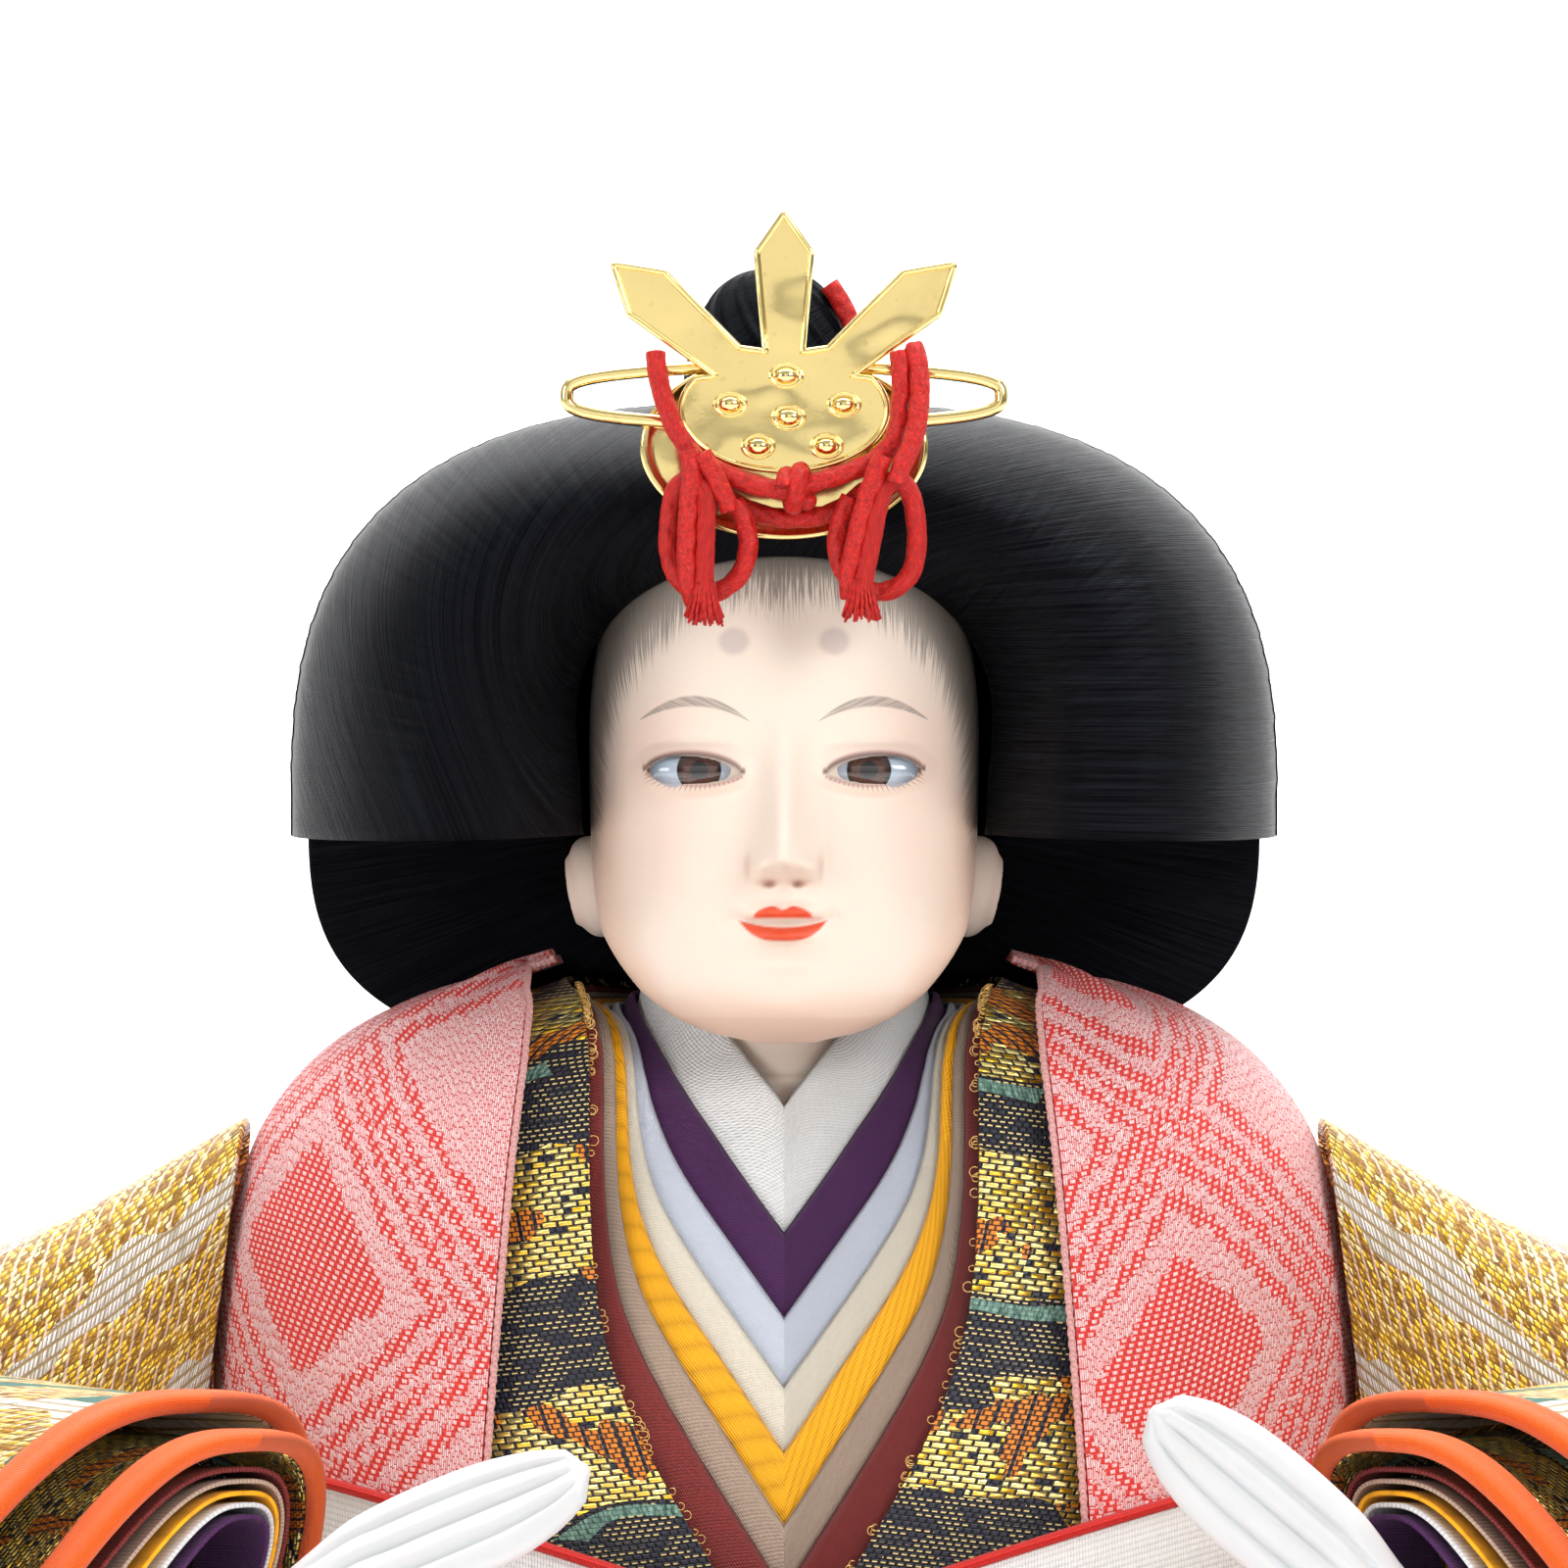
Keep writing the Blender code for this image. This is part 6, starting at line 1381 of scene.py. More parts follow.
LIP_PROFILE = ((1.00, -3.3), (1.30, -2.9), (1.40, -1.6), (1.35, -0.2), (1.25, 1.0), (0.90, 1.9),
    (0.35, 2.3), (-0.25, 2.2),
               (-0.70, 1.7), (-0.85, 0.9), (-0.70, 0.45), (-0.2, 0.35), (0.28, 0.32), (0.34, -0.4),
               (0.35, -1.8), (0.36, -3.0), (0.62, -3.4))
LIP_CREASES = ((0.35, 0.5), (1.15, -0.45), (1.9, 0.55), (2.7, -0.3), (3.6, 0.4), (4.5, -0.5), (5.4, 0.45))
ARM_STRETCH = 0.107


def folded_lip(sleeve, insets, out, turn):
    """The lining turned out over the sleeve's end, as a closed section taken round the cuff: a
    flap outside, a soft front edge and a short return inside. It bends sharply at each crease,
    as pressed silk does."""
    u = sleeve_angles(240)[:, None]
    places = table(np.array(LIP_PROFILE + LIP_PROFILE[:1]), np.linspace(0.0, 1.0, 41)[:-1])
    away = np.abs(np.remainder(u - turn - np.array([c[0] for c in LIP_CREASES]) + math.pi, TURN) - math.pi)
    crease = (np.array([c[1] for c in LIP_CREASES]) * np.maximum(1.0 - away / 0.42, 0.0)).sum(1,
        keepdims=True)
    columns = []
    for outward, forward in places:
        raised = outward + max(outward, 0.0) * 0.45 * crease
        ahead = (forward + 0.5 * crease * np.clip(forward + 0.4, 0.0, 1.0)) / 1000.0
        at = 1.0 + np.minimum(ahead, 0.0) / ARM_STRETCH + 0 * u
        rim = sleeve.point(u, at, insets - SLEEVE_CLOTH, out + np.maximum(ahead, 0.0))
        inner = sleeve.point(u, at, insets, out + np.maximum(ahead, 0.0))
        columns.append(rim + unit(rim - inner) * (raised / 1000.0)[..., None])
    return np.concatenate(columns, 1)


SLEEVE_COLUMNS = 200


def make_sleeve(side, word):
    """Both sleeves of one arm, their rolls and the five inner bands. The gold sleeve's map starts
    at its top, so that the bands of the weave run level along the arm."""
    sleeve, u = Sleeve(side), sleeve_angles(SLEEVE_COLUMNS)[None, :] - math.pi
    at = np.linspace(0.0, 1.0, 110)[:, None]
    grid = sleeve.point(u, at)
    uv = measured(grid, True, False)
    top = SLEEVE_COLUMNS // 2
    uv[..., 0] -= uv[:, top:top + 1, 0]
    cloth_piece(f"over_sleeve_{word}", shift(grid), GOLD_CLOTH, SLEEVE_CLOTH, around=True,
        uv=uv)
    steps = np.concatenate([np.linspace(1.0 - 3 / 7, 1.0, 56), np.ones(8)])[:, None]
    push = np.concatenate([np.zeros(56), np.linspace(0.0, UNDER_OUT, 9)[1:]])[:, None]
    grid = sleeve.point(u, steps, UNDER_INSETS, push)
    cloth_piece(f"under_sleeve_{word}", shift(grid), DARK_CLOTH, SLEEVE_CLOTH, around=True)
    for title, insets, out in (("over", np.zeros(4), 0.0), ("under", UNDER_INSETS, UNDER_OUT)):
        name = f"{title}_sleeve_roll_{word}"
        grid = folded_lip(sleeve, insets, out, 0.0 if title == "over" else 1.3)
        piece = closed_piece(name, shift(grid), SILKS["orange"], "torso", name, along=True)
    insets, out = UNDER_INSETS + BAND_INSETS + ROLL_RADIUS, UNDER_OUT + BAND_OUT
    for band in BAND_NAMES:
        push = np.linspace(0.0, out, 10)[:, None]
        grid = sleeve.point(u, 1.0, insets, push)
        cloth_piece(f"cuff_{band}_{word}", shift(grid), SILKS[band], CLOTH, around=True,
            rim=0.00015)
        insets, out = insets + BAND_INSETS, out + BAND_OUT
    return sleeve


SLEEVES = [make_sleeve(-1.0, "left"), make_sleeve(1.0, "right")]

# %% [markdown]
# ## Arms and hands
# The hands are moulded in one piece with the fingers together and painted with shell white. A
# hand is a row of flat ovals from wrist to fingertip, with a shallow groove between fingers.

# %% Arms and hands
WRISTS = ((-0.0550, -0.0784, 0.1066), (0.0635, -0.0770, 0.1060))
FINGERTIPS = ((-0.0170, -0.0880, 0.1275), (0.0320, -0.0855, 0.1325))
FACINGS = ((0.12, -0.80, 0.62), (-0.38, -0.62, 0.30))
HAND_PLACES = (0.0, 0.12, 0.25, 0.38, 0.52, 0.66, 0.80, 0.90, 0.97, 1.0)
HAND_WIDE = (0.54, 0.54, 0.56, 0.70, 0.95, 1.02, 0.98, 0.80, 0.52, 0.10)
HAND_THICK = (1.30, 1.30, 1.25, 1.2, 1.05, 0.95, 0.88, 0.78, 0.60, 0.18)


def shell_white():
    """Ground shell over a moulded core: near white, satin, with faint brush marks and wear."""
    def paint(tree):
        wear = use(tree, WEAR, Amount=1.0)
        brush = noise(tree, object_place(tree), 420.0, 3.0, 0.6)
        tone = mix(tree, wear["Patch"], (0.56, 0.56, 0.56), (0.63, 0.63, 0.63))
        return {
            "Base Color": mix(tree, wear["Specks"] * 0.12, tone, (0.60, 0.56, 0.52)),
            "Roughness": brush * 0.15 + 0.42,
            "Normal": bump(tree, brush, 0.00006),
        }
    return finish("shell white", paint, Specular_IOR_Level=0.4, Subsurface_Weight=0.15,
        Subsurface_Scale=0.002)


SHELL_WHITE = shell_white()


def make_hand(word, wrist, tip, facing):
    """Ovals of the widths and thicknesses above, bent in a shallow curl, with three grooves."""
    wrist, tip, face = np.array(wrist), np.array(tip), np.array(facing)
    way = unit(tip - wrist)
    face = unit(face - way * (face @ way))
    across = np.cross(way, face)
    at = 0.5 - 0.5 * np.cos(np.linspace(0.12, 1.0, 90) * math.pi)
    at = (at - at[0]) / (1.0 - at[0])
    even = np.interp(at, HAND_PLACES, np.linspace(0.0, 1.0, 10))
    wide, thick = 0.0052 * table(HAND_WIDE, even), 0.0021 * table(HAND_THICK, even)
    u = np.linspace(0.0, TURN, 120, endpoint=False)[None, :]
    x = signed_power(np.cos(u), 0.85)
    finger = np.clip((at[:, None] - 0.34) * 4.0, 0.0, 1.0) * np.clip((1.0 - at[:, None]) * 14.0, 0.0, 1.0)
    groove = sum(np.exp(-(((x - place) / 0.085) ** 2)) for place in (-0.50, 0.0, 0.50))
    y = signed_power(np.sin(u), 0.85) * (1.0 - 0.42 * groove * finger)
    knuckle = 0.0003 * np.exp(-(((at[:, None] - 0.52) / 0.05) ** 2)) * np.maximum(np.sin(u), 0.0)
    middle = wrist + way * (np.linalg.norm(tip - wrist) * at[:, None]) + face * (
        0.0026 * np.sin(math.pi * at[:, None]) ** 2)
    grid = middle[:, None] + across * (wide[:, None] * x)[..., None] + face * (
        thick[:, None] * y + knuckle)[..., None]
    name = f"hand_{word}"
    closed_piece(name, shift(grid), SHELL_WHITE, f"{word}_hand", name)


def make_arm_padding(side, word):
    """Wadding wrapped round the wire from the shoulder to the wrist, a little lumpy."""
    sleeve = SLEEVES[0 if side < 0 else 1]
    at = np.array((0.98, 0.74, 0.52, 0.30))
    middle, long_half, wide = sleeve.frame(at)
    route = (middle + long_half * 0.60 - wide * 0.14) * np.array((side, 1.0, 1.0))
    wrist, tip = (np.array(WRISTS[side > 0]), np.array(FINGERTIPS[side > 0]))
    route = np.concatenate([[wrist], [wrist - unit(tip - wrist) * 0.007], route,
        [[side * 0.0484, 0.0041, 0.1415], [side * 0.019, 0.0082, 0.1415]]])
    path = even_route(route, 160)
    path = path[np.arange(len(path)) >= 14]
    path = path[side * path[:, 0] > 0.0205]
    lump = 0.0046 * (1.0 + 0.05 * np.sin(np.linspace(0, 40, len(path)))[:, None])
    grid = carry(path, (0, 0, 1), round_profile(len(path), 24, lump))
    stuffed(f"arm_padding_{word}", shift(grid))


for side, word in SIDES:
    k = 0 if side < 0 else 1
    make_hand(word, WRISTS[k], FINGERTIPS[k], FACINGS[k])
    make_arm_padding(side, word)

# %% [markdown]
# ## The head
# The head is an egg of ovals, as moulded heads are, with the face worked into its front: lids
# that bulge over the eyes, a straight small nose, and a small mouth. All of it is one function
# of the place on the face, in millimetres across and up.

# %% Head surface
CHIN, CROWN_OF_HEAD, HEAD_HALF, FACE_REACH, SKULL_REACH, HEAD_POWER = 0.1627, 0.2182, 0.0186, 0.0228, 0.0240, 2.25
HEAD_PLACES = (0.0, 0.017, 0.045, 0.085, 0.137, 0.189, 0.25, 0.337, 0.458, 0.58, 0.684, 0.788, 0.875,
    0.944, 0.985, 1.0)
HEAD_WIDE = (0.16, 0.38, 0.56, 0.715, 0.838, 0.925, 0.965, 0.989, 1.0, 0.995, 0.957, 0.86, 0.70, 0.50,
    0.27, 0.04)
HEAD_FACE = (0.75, 0.855, 0.921, 0.956, 0.965, 0.965, 0.965, 0.978, 0.991, 1.0, 0.965, 0.855, 0.68, 0.46,
    0.22, 0.02)
HEAD_SKULL = (-0.64, -0.58, -0.52, -0.46, -0.34, -0.06, 0.36, 0.78, 0.958, 1.0, 0.98, 0.896, 0.75, 0.54,
    0.29, 0.05)


def head_oval(height):
    """Half width, middle and half depth of the head at a height."""
    share = (height - CHIN) / (CROWN_OF_HEAD - CHIN)
    at = np.interp(share, HEAD_PLACES, np.linspace(0.0, 1.0, len(HEAD_PLACES)))
    half = HEAD_HALF * table(HEAD_WIDE, at)
    face, skull = -FACE_REACH * table(HEAD_FACE, at), SKULL_REACH * table(HEAD_SKULL, at)
    return half, 0.5 * (face + skull), 0.5 * (skull - face)


def hump(x, z, cx, cz, wide, high):
    """A bell: 1 at its middle, falling off by the square of the distance."""
    return np.exp(-(((x - cx) / wide) ** 2) - (((z - cz) / high) ** 2))


def smooth_step(value, low, high):
    t = np.clip((value - low) / (high - low), 0.0, 1.0)
    return t * t * (3.0 - 2.0 * t)


EYE_X, EYE_Z = 8.45, 188.25


def eye_opening(x, z):
    """How far inside the almond of the eye a place is: 1 within, 0 outside. The upper lid is a
    higher arch than the lower, and the outer corner is a little higher than the inner."""
    across = (np.abs(x) - EYE_X) / 4.45
    tilt = 0.16 * across
    top = EYE_Z - 0.15 + tilt + 1.50 * np.sqrt(np.maximum(1.0 - across**2, 0.0)) ** 1.3
    foot = EYE_Z - 0.25 + tilt - 1.00 * np.sqrt(np.maximum(1.0 - across**2, 0.0)) ** 1.6
    inside = smooth_step(np.minimum(top - z, z - foot), -0.02, 0.16)
    return inside * (np.abs(across) < 1.0)


def face_relief(x, z):
    """How far the face stands off the plain egg, in millimetres."""
    a = np.abs(x)
    reach = np.where(z > EYE_Z, 3.3, 2.6)
    lid_shape = 1.0 - ((a - EYE_X) / 6.2) ** 2 - ((z - EYE_Z) / reach) ** 2
    lids = 1.15 * smooth_step(lid_shape, 0.0, 1.0) ** 0.8
    crease = -0.22 * hump(a, z, EYE_X + 0.2, EYE_Z + 2.6, 4.0, 0.35)
    socket = -0.5 * hump(a, z, 6.0, 190.6, 3.4, 2.2)
    tip = 4.4 * np.exp(-((x / 2.35) ** 2)) * np.where(z < 180.0, np.exp(-(((z - 180.0) / 1.75) ** 2)),
        np.exp(-(((z - 180.0) / 6.3) ** 2)))
    bridge = 1.2 * hump(x, z, 0.0, 187.0, 1.7, 6.0) - 0.35 * hump(a, z, 3.4, 185.0, 1.3, 5.0)
    wings = 1.7 * hump(a, z, 2.45, 179.15, 1.05, 1.30) - 0.45 * hump(a, z, 3.75, 179.6, 0.45, 1.4)
    nostril = -1.2 * hump(a, z, 1.35, 177.75, 0.65, 0.38)
    philtrum = -0.28 * hump(x, z, 0.0, 176.7, 0.55, 1.0)
    upper = 1.05 * hump(a, z, 1.0, 175.1, 2.2, 0.70) - 0.30 * hump(x, z, 0.0, 176.0, 0.5, 0.4)
    lower = 1.30 * hump(x, z, 0.0, 172.8, 2.4, 0.70)
    slit = -0.80 * np.exp(-(((z - 174.05 - 0.012 * x**2) / 0.30) ** 2)) * smooth_step(4.3 - a, 0.0, 1.5)
    corner = -0.55 * hump(a, z, 4.6, 174.3, 0.9, 0.8)
    chin = 1.0 * hump(x, z, 0.0, 166.2, 4.6, 2.3) - 0.60 * hump(x, z, 0.0, 170.2, 3.6, 1.0)
    cheek = 0.75 * hump(a, z, 10.0, 177.0, 5.0, 5.5) - 0.25 * hump(a, z, 5.6, 172.5, 1.8, 3.0)
    relief = crease + socket + tip + bridge + wings + nostril + philtrum + upper + lower + slit + corner + chin + cheek
    opening = eye_opening(x, z)
    return (relief + lids) * (1.0 - opening) + (relief - 0.55) * opening


def head_surface(angle, height):
    """The egg, plus the face's relief on its front."""
    half, middle, depth = head_oval(height)
    x, y = ring(angle, half, depth, depth, HEAD_POWER)
    front = smooth_step(np.cos(angle), 0.05, 0.35)
    y = y + middle - 0.001 * face_relief(x * 1000.0, height * 1000.0 + 0 * x) * front
    return np.stack(np.broadcast_arrays(x, y, height), -1)


# %% [markdown]
# ## Paint on the face
# Brows, lashes, lips and the fine hairline are painted with a brush on the shell white. Soft
# patches, the lips and the lines round the lids are masks on the mesh's own points: patches are
# bells, and lines are the distance to a curve. The brows, the hairline strokes and the lower
# lashes are drawn in the material from the place on the face, so a stroke tapers and ends in a
# point.

# %% Face paint
def lip_mask(x, z):
    """1 on the painted lips: a short bow above, and below it a crescent that runs out to both
    corners. The skin between them is the parting."""
    a = np.abs(x + 0.1)
    bow = 174.42 + 1.30 * np.clip(1.0 - (a / 2.8) ** 2.4, 0.0, 1.0) ** 0.5 - 0.42 * np.exp(
        -(((x + 0.1) / 0.55) ** 2))
    upper = smooth_step(np.minimum(bow - z, z - 174.42), -0.03, 0.14) * (a < 2.85)
    share = np.clip(a / 4.15, 0.0, 1.0)
    foot, rim = 172.30 + 1.95 * share**3.2, 174.32 - 0.68 * (1.0 - share**2)
    return np.maximum(upper, smooth_step(np.minimum(rim - z, z - foot), -0.04, 0.14) * (a < 4.15))


def make_head():
    """The face at a fine step and the back of the head at a coarse one, in one closed mesh."""
    front = np.linspace(-1.0, 1.0, 250)
    angles = np.concatenate([front * 1.42, 1.42 + (TURN - 2.84) * np.linspace(0.0, 1.0, 42)[1:-1]])[None, :]
    heights = np.concatenate([CHIN + np.array((0.00003, 0.0003, 0.0008, 0.0014)),
        np.linspace(0.1645, 0.2075, 290), np.linspace(0.2080, 0.21818, 18)])[:, None]
    grid = head_surface(angles, heights)
    x, z = grid[..., 0] * 1000.0, grid[..., 2] * 1000.0
    facing = smooth_step(np.cos(angles) + 0 * z, 0.0, 0.15)
    a = np.abs(x)
    across = (a - EYE_X) / 4.5
    lid_top = EYE_Z - 0.10 + 0.16 * across + 1.50 * np.sqrt(np.clip(1.0 - across**2, 0, 1)) ** 1.3
    lid_low = EYE_Z - 0.30 + 0.16 * across - 1.00 * np.sqrt(np.clip(1.0 - across**2, 0, 1)) ** 1.6
    upper_line = np.exp(-(((z - lid_top - 0.12) / 0.22) ** 2)) * (np.abs(across) < 1.06)
    lower_line = np.exp(-(((z - lid_low + 0.10) / 0.16) ** 2)) * (np.abs(across) < 1.02)
    masks = {
        "front": facing,
        "lash": upper_line * facing,
        "lid": np.maximum(np.exp(-(((z - lid_top - 0.34) / 0.20) ** 2)) * (np.abs(across) < 1.08),
        lower_line) * facing,
        # rim: painted shade, darker peach on the lower sides of the face and under the chin.
        "rim": np.maximum(smooth_step(a / (head_oval(heights)[0] * 1000.0), 0.70, 1.0) * smooth_step(
        190.0 - z, 0.0, 8.0),
                          smooth_step(169.5 - z, 0.0, 5.5)) * facing,
        "smudge": 1.0 - smooth_step(np.hypot((a - 4.7) / 1.62, (z - 200.35) / 1.45), 0.62, 1.12),
        "lips": lip_mask(x, z) * facing,
        # Cheek colour, and a band of painted shade just under the lower lip.
        "blush_and_under_lip_shade": (0.8 * hump(a, z, 12.6, 190.5, 5.0, 5.5) + 0.5 * hump(a, z, 11.0, 180.0, 6.0, 7.0)
        + 0.4 * hump(x, z, 0.0, 171.3, 3.0, 0.8)) * facing,
        # nostril: painted shade in the nostrils and in the creases beside the nose wings.
        "nostril": np.maximum(hump(a, z, 1.4, 177.8, 0.8, 0.35),
        0.45 * hump(a, z, 3.45, 179.3, 0.35, 1.2)) * facing,
    }
    uv = np.stack([np.pad(x, ((0, 0), (0, 1)), mode="wrap"), np.pad(z, ((0, 0), (0, 1)), mode="wrap")], 2)
    return grid_mesh("head", shift(grid), around=True, caps=True, uv=uv, masks=masks)


def brush_lines(tree):
    """Brows and the hairline in fine strokes, drawn from the place on the face. A brow is a
    shallow arc filled with slanting hairs. Hairline strokes start at the hair's edge, an oval,
    and run inwards, leaning down the more the further they are from the top. Lashes are a comb
    of short lines below each eye that fan outwards."""
    x, z = cloth_place(tree)
    a = x.size()
    arc = 194.75 - (a - 8.5).power(2.0) * 0.068
    thick = (1.0 - ((a - 8.4) / 5.2).power(2.0)).most(0.0) * 0.62 + 0.03
    hairs = noise(tree, vector(tree, a * 2.2 - z * 4.5, z * 0.5), 1.0, 2.0).ramp(0.34, 0.60)
    brow = (5.6 - (a - 8.4).size()).ramp(0.0, 0.8) * (1.0 - (z - arc).size() / thick).ramp(0.0, 0.5) * (
        hairs * 0.45 + 0.55)
    high = (z - 188.0).most(0.0) / 19.9
    depth = (1.0 - ((x / 18.5).power(2.0) + high.power(2.0)).power(0.5)) * 19.0
    turn = x.angle(z - 188.0)
    side = turn.size()
    around = turn * (19.0 - depth * 1.25)
    chance = noise(tree, vector(tree, around * 1.9, 2.0), 1.0, 1.0)
    long = (1.75 - side * 0.60).most(0.62) * (1.4 + chance * 3.0) + (1.0 - side * 4.0).most(0.0) * 2.0
    fade = (1.0 - depth / long).most(0.0) * (2.14 - side).ramp(0.0, 0.3)
    single = noise(tree, vector(tree, around * 7.5, depth * 0.22 + 6.0), 1.0, 2.0, 0.6)
    strands = (single - 0.55 + fade * 0.20).ramp(0.0, 0.10) * fade.ramp(0.0, 0.6)
    edge = (1.0 - depth / 1.6).held() * 0.75 * (2.12 - side).ramp(0.0, 0.3)
    place = (a - EYE_X) / 4.5
    below = EYE_Z - 0.35 + place * 0.16 - (1.0 - place.power(2.0)).most(0.0) * 0.95 - z
    comb = ((a + below * place * -0.85 - below * 0.25) / 0.42).part() - 0.5
    lashes = (0.13 - comb.size()).ramp(0.0, 0.08) * below.ramp(-0.1, 0.1) * (
        1.0 - below / (0.75 + place * 0.45)).ramp(0.0, 0.5)
    lashes = lashes * (1.1 - place.size()).ramp(0.0, 0.1)
    return brow, strands.most(edge), lashes


def face_finish():
    """Pale shell white, pinked on the cheeks, with painted shade towards the jaw, under the chin,
    under the lower lip and in the nostrils, and the painted features laid over it in order.
    """
    def paint(tree):
        wear = use(tree, WEAR, Amount=0.6)
        place = object_place(tree)
        fine = noise(tree, place, 1400.0, 2.0)
        skin = mix(tree, wear["Patch"], (0.77, 0.645, 0.545), (0.83, 0.705, 0.605))
        # Cheek colour, with painted shade under the lower lip.
        skin = mix(tree, mask_of(tree, "blush_and_under_lip_shade") * 0.42, skin, (0.88, 0.55, 0.44))
        # Painted shade towards the jaw and under the chin.
        skin = mix(tree, mask_of(tree, "rim") * 0.55, skin, (0.74, 0.45, 0.31))
        skin = mix(tree, mask_of(tree, "smudge") * 0.40, skin, (0.34, 0.27, 0.28))
        skin = mix(tree, mask_of(tree, "lid") * 0.65, skin, (0.36, 0.13, 0.12))
        brow, strands, lashes = brush_lines(tree)
        front = mask_of(tree, "front")
        skin = mix(tree, brow * front * 0.66, skin, (0.14, 0.115, 0.105))
        skin = mix(tree, strands * front * 0.66, skin, (0.115, 0.098, 0.086))
        skin = mix(tree, lashes * front * 0.65, skin, (0.10, 0.06, 0.05))
        lips = mix(tree, fine, (0.66, 0.062, 0.022), (0.80, 0.115, 0.045))
        skin = mix(tree, mask_of(tree, "lips"), skin, lips)
        # Painted shade in the nostrils and beside the nose wings.
        skin = mix(tree, mask_of(tree, "nostril") * 0.7, skin, (0.45, 0.16, 0.11))
        skin = mix(tree, mask_of(tree, "lash") * 0.85, skin, (0.05, 0.03, 0.03))
        return {
            "Base Color": skin,
            "Roughness": 0.50 - mask_of(tree, "lips") * 0.15 + fine * 0.06,
            "Normal": bump(tree, fine, 0.00002),
        }
    return finish("painted shell white", paint, Specular_IOR_Level=0.35, Subsurface_Weight=0.12,
        Subsurface_Scale=0.0025)


FACE = face_finish()
make_piece("head", make_head(), FACE, "head_group", "head")


def make_neck_and_ears():
    """The neck is an upright tube with a seam line. An ear is a flat shell whose rim curls
    forward round a hollow."""
    rows, u = np.linspace(0.0, 1.0, 60)[:, None], np.linspace(0.0, TURN, 96, endpoint=False)[None, :]
    z = 0.1559 + (0.172 - 0.1559) * rows
    radius = 0.0086 - 0.00022 * np.exp(-(((z - 0.1592) / 0.00022) ** 2)) + 0.0010 * np.clip(
        (z - 0.1615) / 0.008, 0, 1) ** 1.5
    grid = np.stack(np.broadcast_arrays(radius * np.sin(u), -0.0014 - radius * np.cos(u), z), 2)
    plain = np.zeros(grid.shape[:2])
    names = ("front", "lash", "lid", "smudge", "lips", "rim", "nostril")
    masks = {name: plain for name in names} | {"blush_and_under_lip_shade": plain + 0.25}
    closed_piece("neck", shift(grid), FACE, "head_group", masks=masks)
    v = np.linspace(0.03, math.pi - 0.03, 60)[:, None]
    for side, word in SIDES:
        a = u + 0 * v
        rim = np.sin(v)
        y = 0.0040 * rim * np.cos(a)
        x = 0.0030 * rim * np.sin(a)
        up = 0.0049 * np.cos(v) + 0 * a
        outer = np.clip(np.sin(a), 0.0, 1.0) * rim
        hollow = 0.0016 * outer * np.exp(-((y / 0.0019) ** 2) - (((up - 0.0004) / 0.0028) ** 2))
        inner_fold = 0.0006 * np.exp(-(((np.hypot(y / 0.0031, up / 0.0042) - 0.72) / 0.10) ** 2)) * outer
        x = x - hollow + inner_fold
        tilt = math.radians(12)
        spot = np.stack([side * (x * math.cos(tilt) + up * math.sin(tilt)) + side * HEAD_HALF * 0.97,
            0.0010 + y, 0.1772 + up * math.cos(tilt) - x * math.sin(tilt)], 2)
        masks = {name: np.zeros(spot.shape[:2]) for name in names} | {"blush_and_under_lip_shade": 0.9 * outer}
        closed_piece(f"ear_{word}", shift(spot), FACE, "head_group", masks=masks)


make_neck_and_ears()

# %% [markdown]
# ## Glass eyes
# The eyes are small glass ovals painted from behind: a bluish white, a brown iris with a darker
# rim, and a black pupil. The white is painted darker towards the corners as shade, and the top
# of each eye near black as the shadow of the upper lid. A clear coat gives the single bright
# light in each.

# %% Eyes
def eye_glass():
    def paint(tree):
        across, up = cloth_place(tree)
        radius = (across * across + up * up).power(0.5)
        rays = noise(tree, vector(tree, across * 3.0, up * 3.0), 1.0, 3.0)
        iris = mix(tree, rays, (0.030, 0.009, 0.004), (0.085, 0.027, 0.012))
        iris = mix(tree, radius.ramp(1.55, 2.0), iris, (0.008, 0.004, 0.003))
        iris = mix(tree, 1.0 - radius.ramp(0.75, 0.92), iris, (0.003, 0.002, 0.002))
        white = mix(tree, rays, (0.34, 0.40, 0.48), (0.42, 0.48, 0.56))
        # Painted shade: the white darker towards both corners.
        white = mix(tree, (across.size() - 2.2).ramp(0.0, 2.2), white, (0.20, 0.24, 0.28))
        # Painted shadow of the upper lid: the top of the eye near black.
        upper = up.ramp(0.55, 1.35) * 0.75
        return {"Base Color": mix(tree, upper, mix(tree, radius.ramp(2.02, 2.14), iris, white),
            (0.012, 0.008, 0.008))}
    return finish("painted glass", paint, Roughness=0.12, Coat_Weight=1.0, Coat_Roughness=0.03,
        Specular_IOR_Level=0.5)


EYE_GLASS = eye_glass()


def make_eye(side, word):
    """A flattened ball whose map is centred on the iris, a little towards the nose."""
    low, high = (np.array(corner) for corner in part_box(f"eye_{word}"))
    centre, half = 0.5 * (low + high), 0.5 * (high - low)
    v = np.linspace(0.02, math.pi - 0.02, 48)[:, None]
    u = np.linspace(0.0, TURN, 72, endpoint=False)[None, :]
    ball = np.stack([np.sin(v) * np.cos(u), np.cos(v) + 0 * u, np.sin(v) * np.sin(u)], 2)
    grid = centre + ball * half * np.array((1.10, 1.0, 1.18)) + np.array((-side * 0.0005, -0.0001, 0.0))
    iris_x = (side * 7.94 / 1000.0 + NECK[0], 0.18830)
    uv = np.stack([(grid[..., 0] - iris_x[0]) * 1000.0, (grid[..., 2] - iris_x[1]) * 1000.0], 2)
    uv = np.concatenate([uv, uv[:, :1]], 1)
    closed_piece(f"eye_{word}", grid, EYE_GLASS, "head_group", f"eye_{word}", uv=uv)


make_eye(-1.0, "left")
make_eye(1.0, "right")

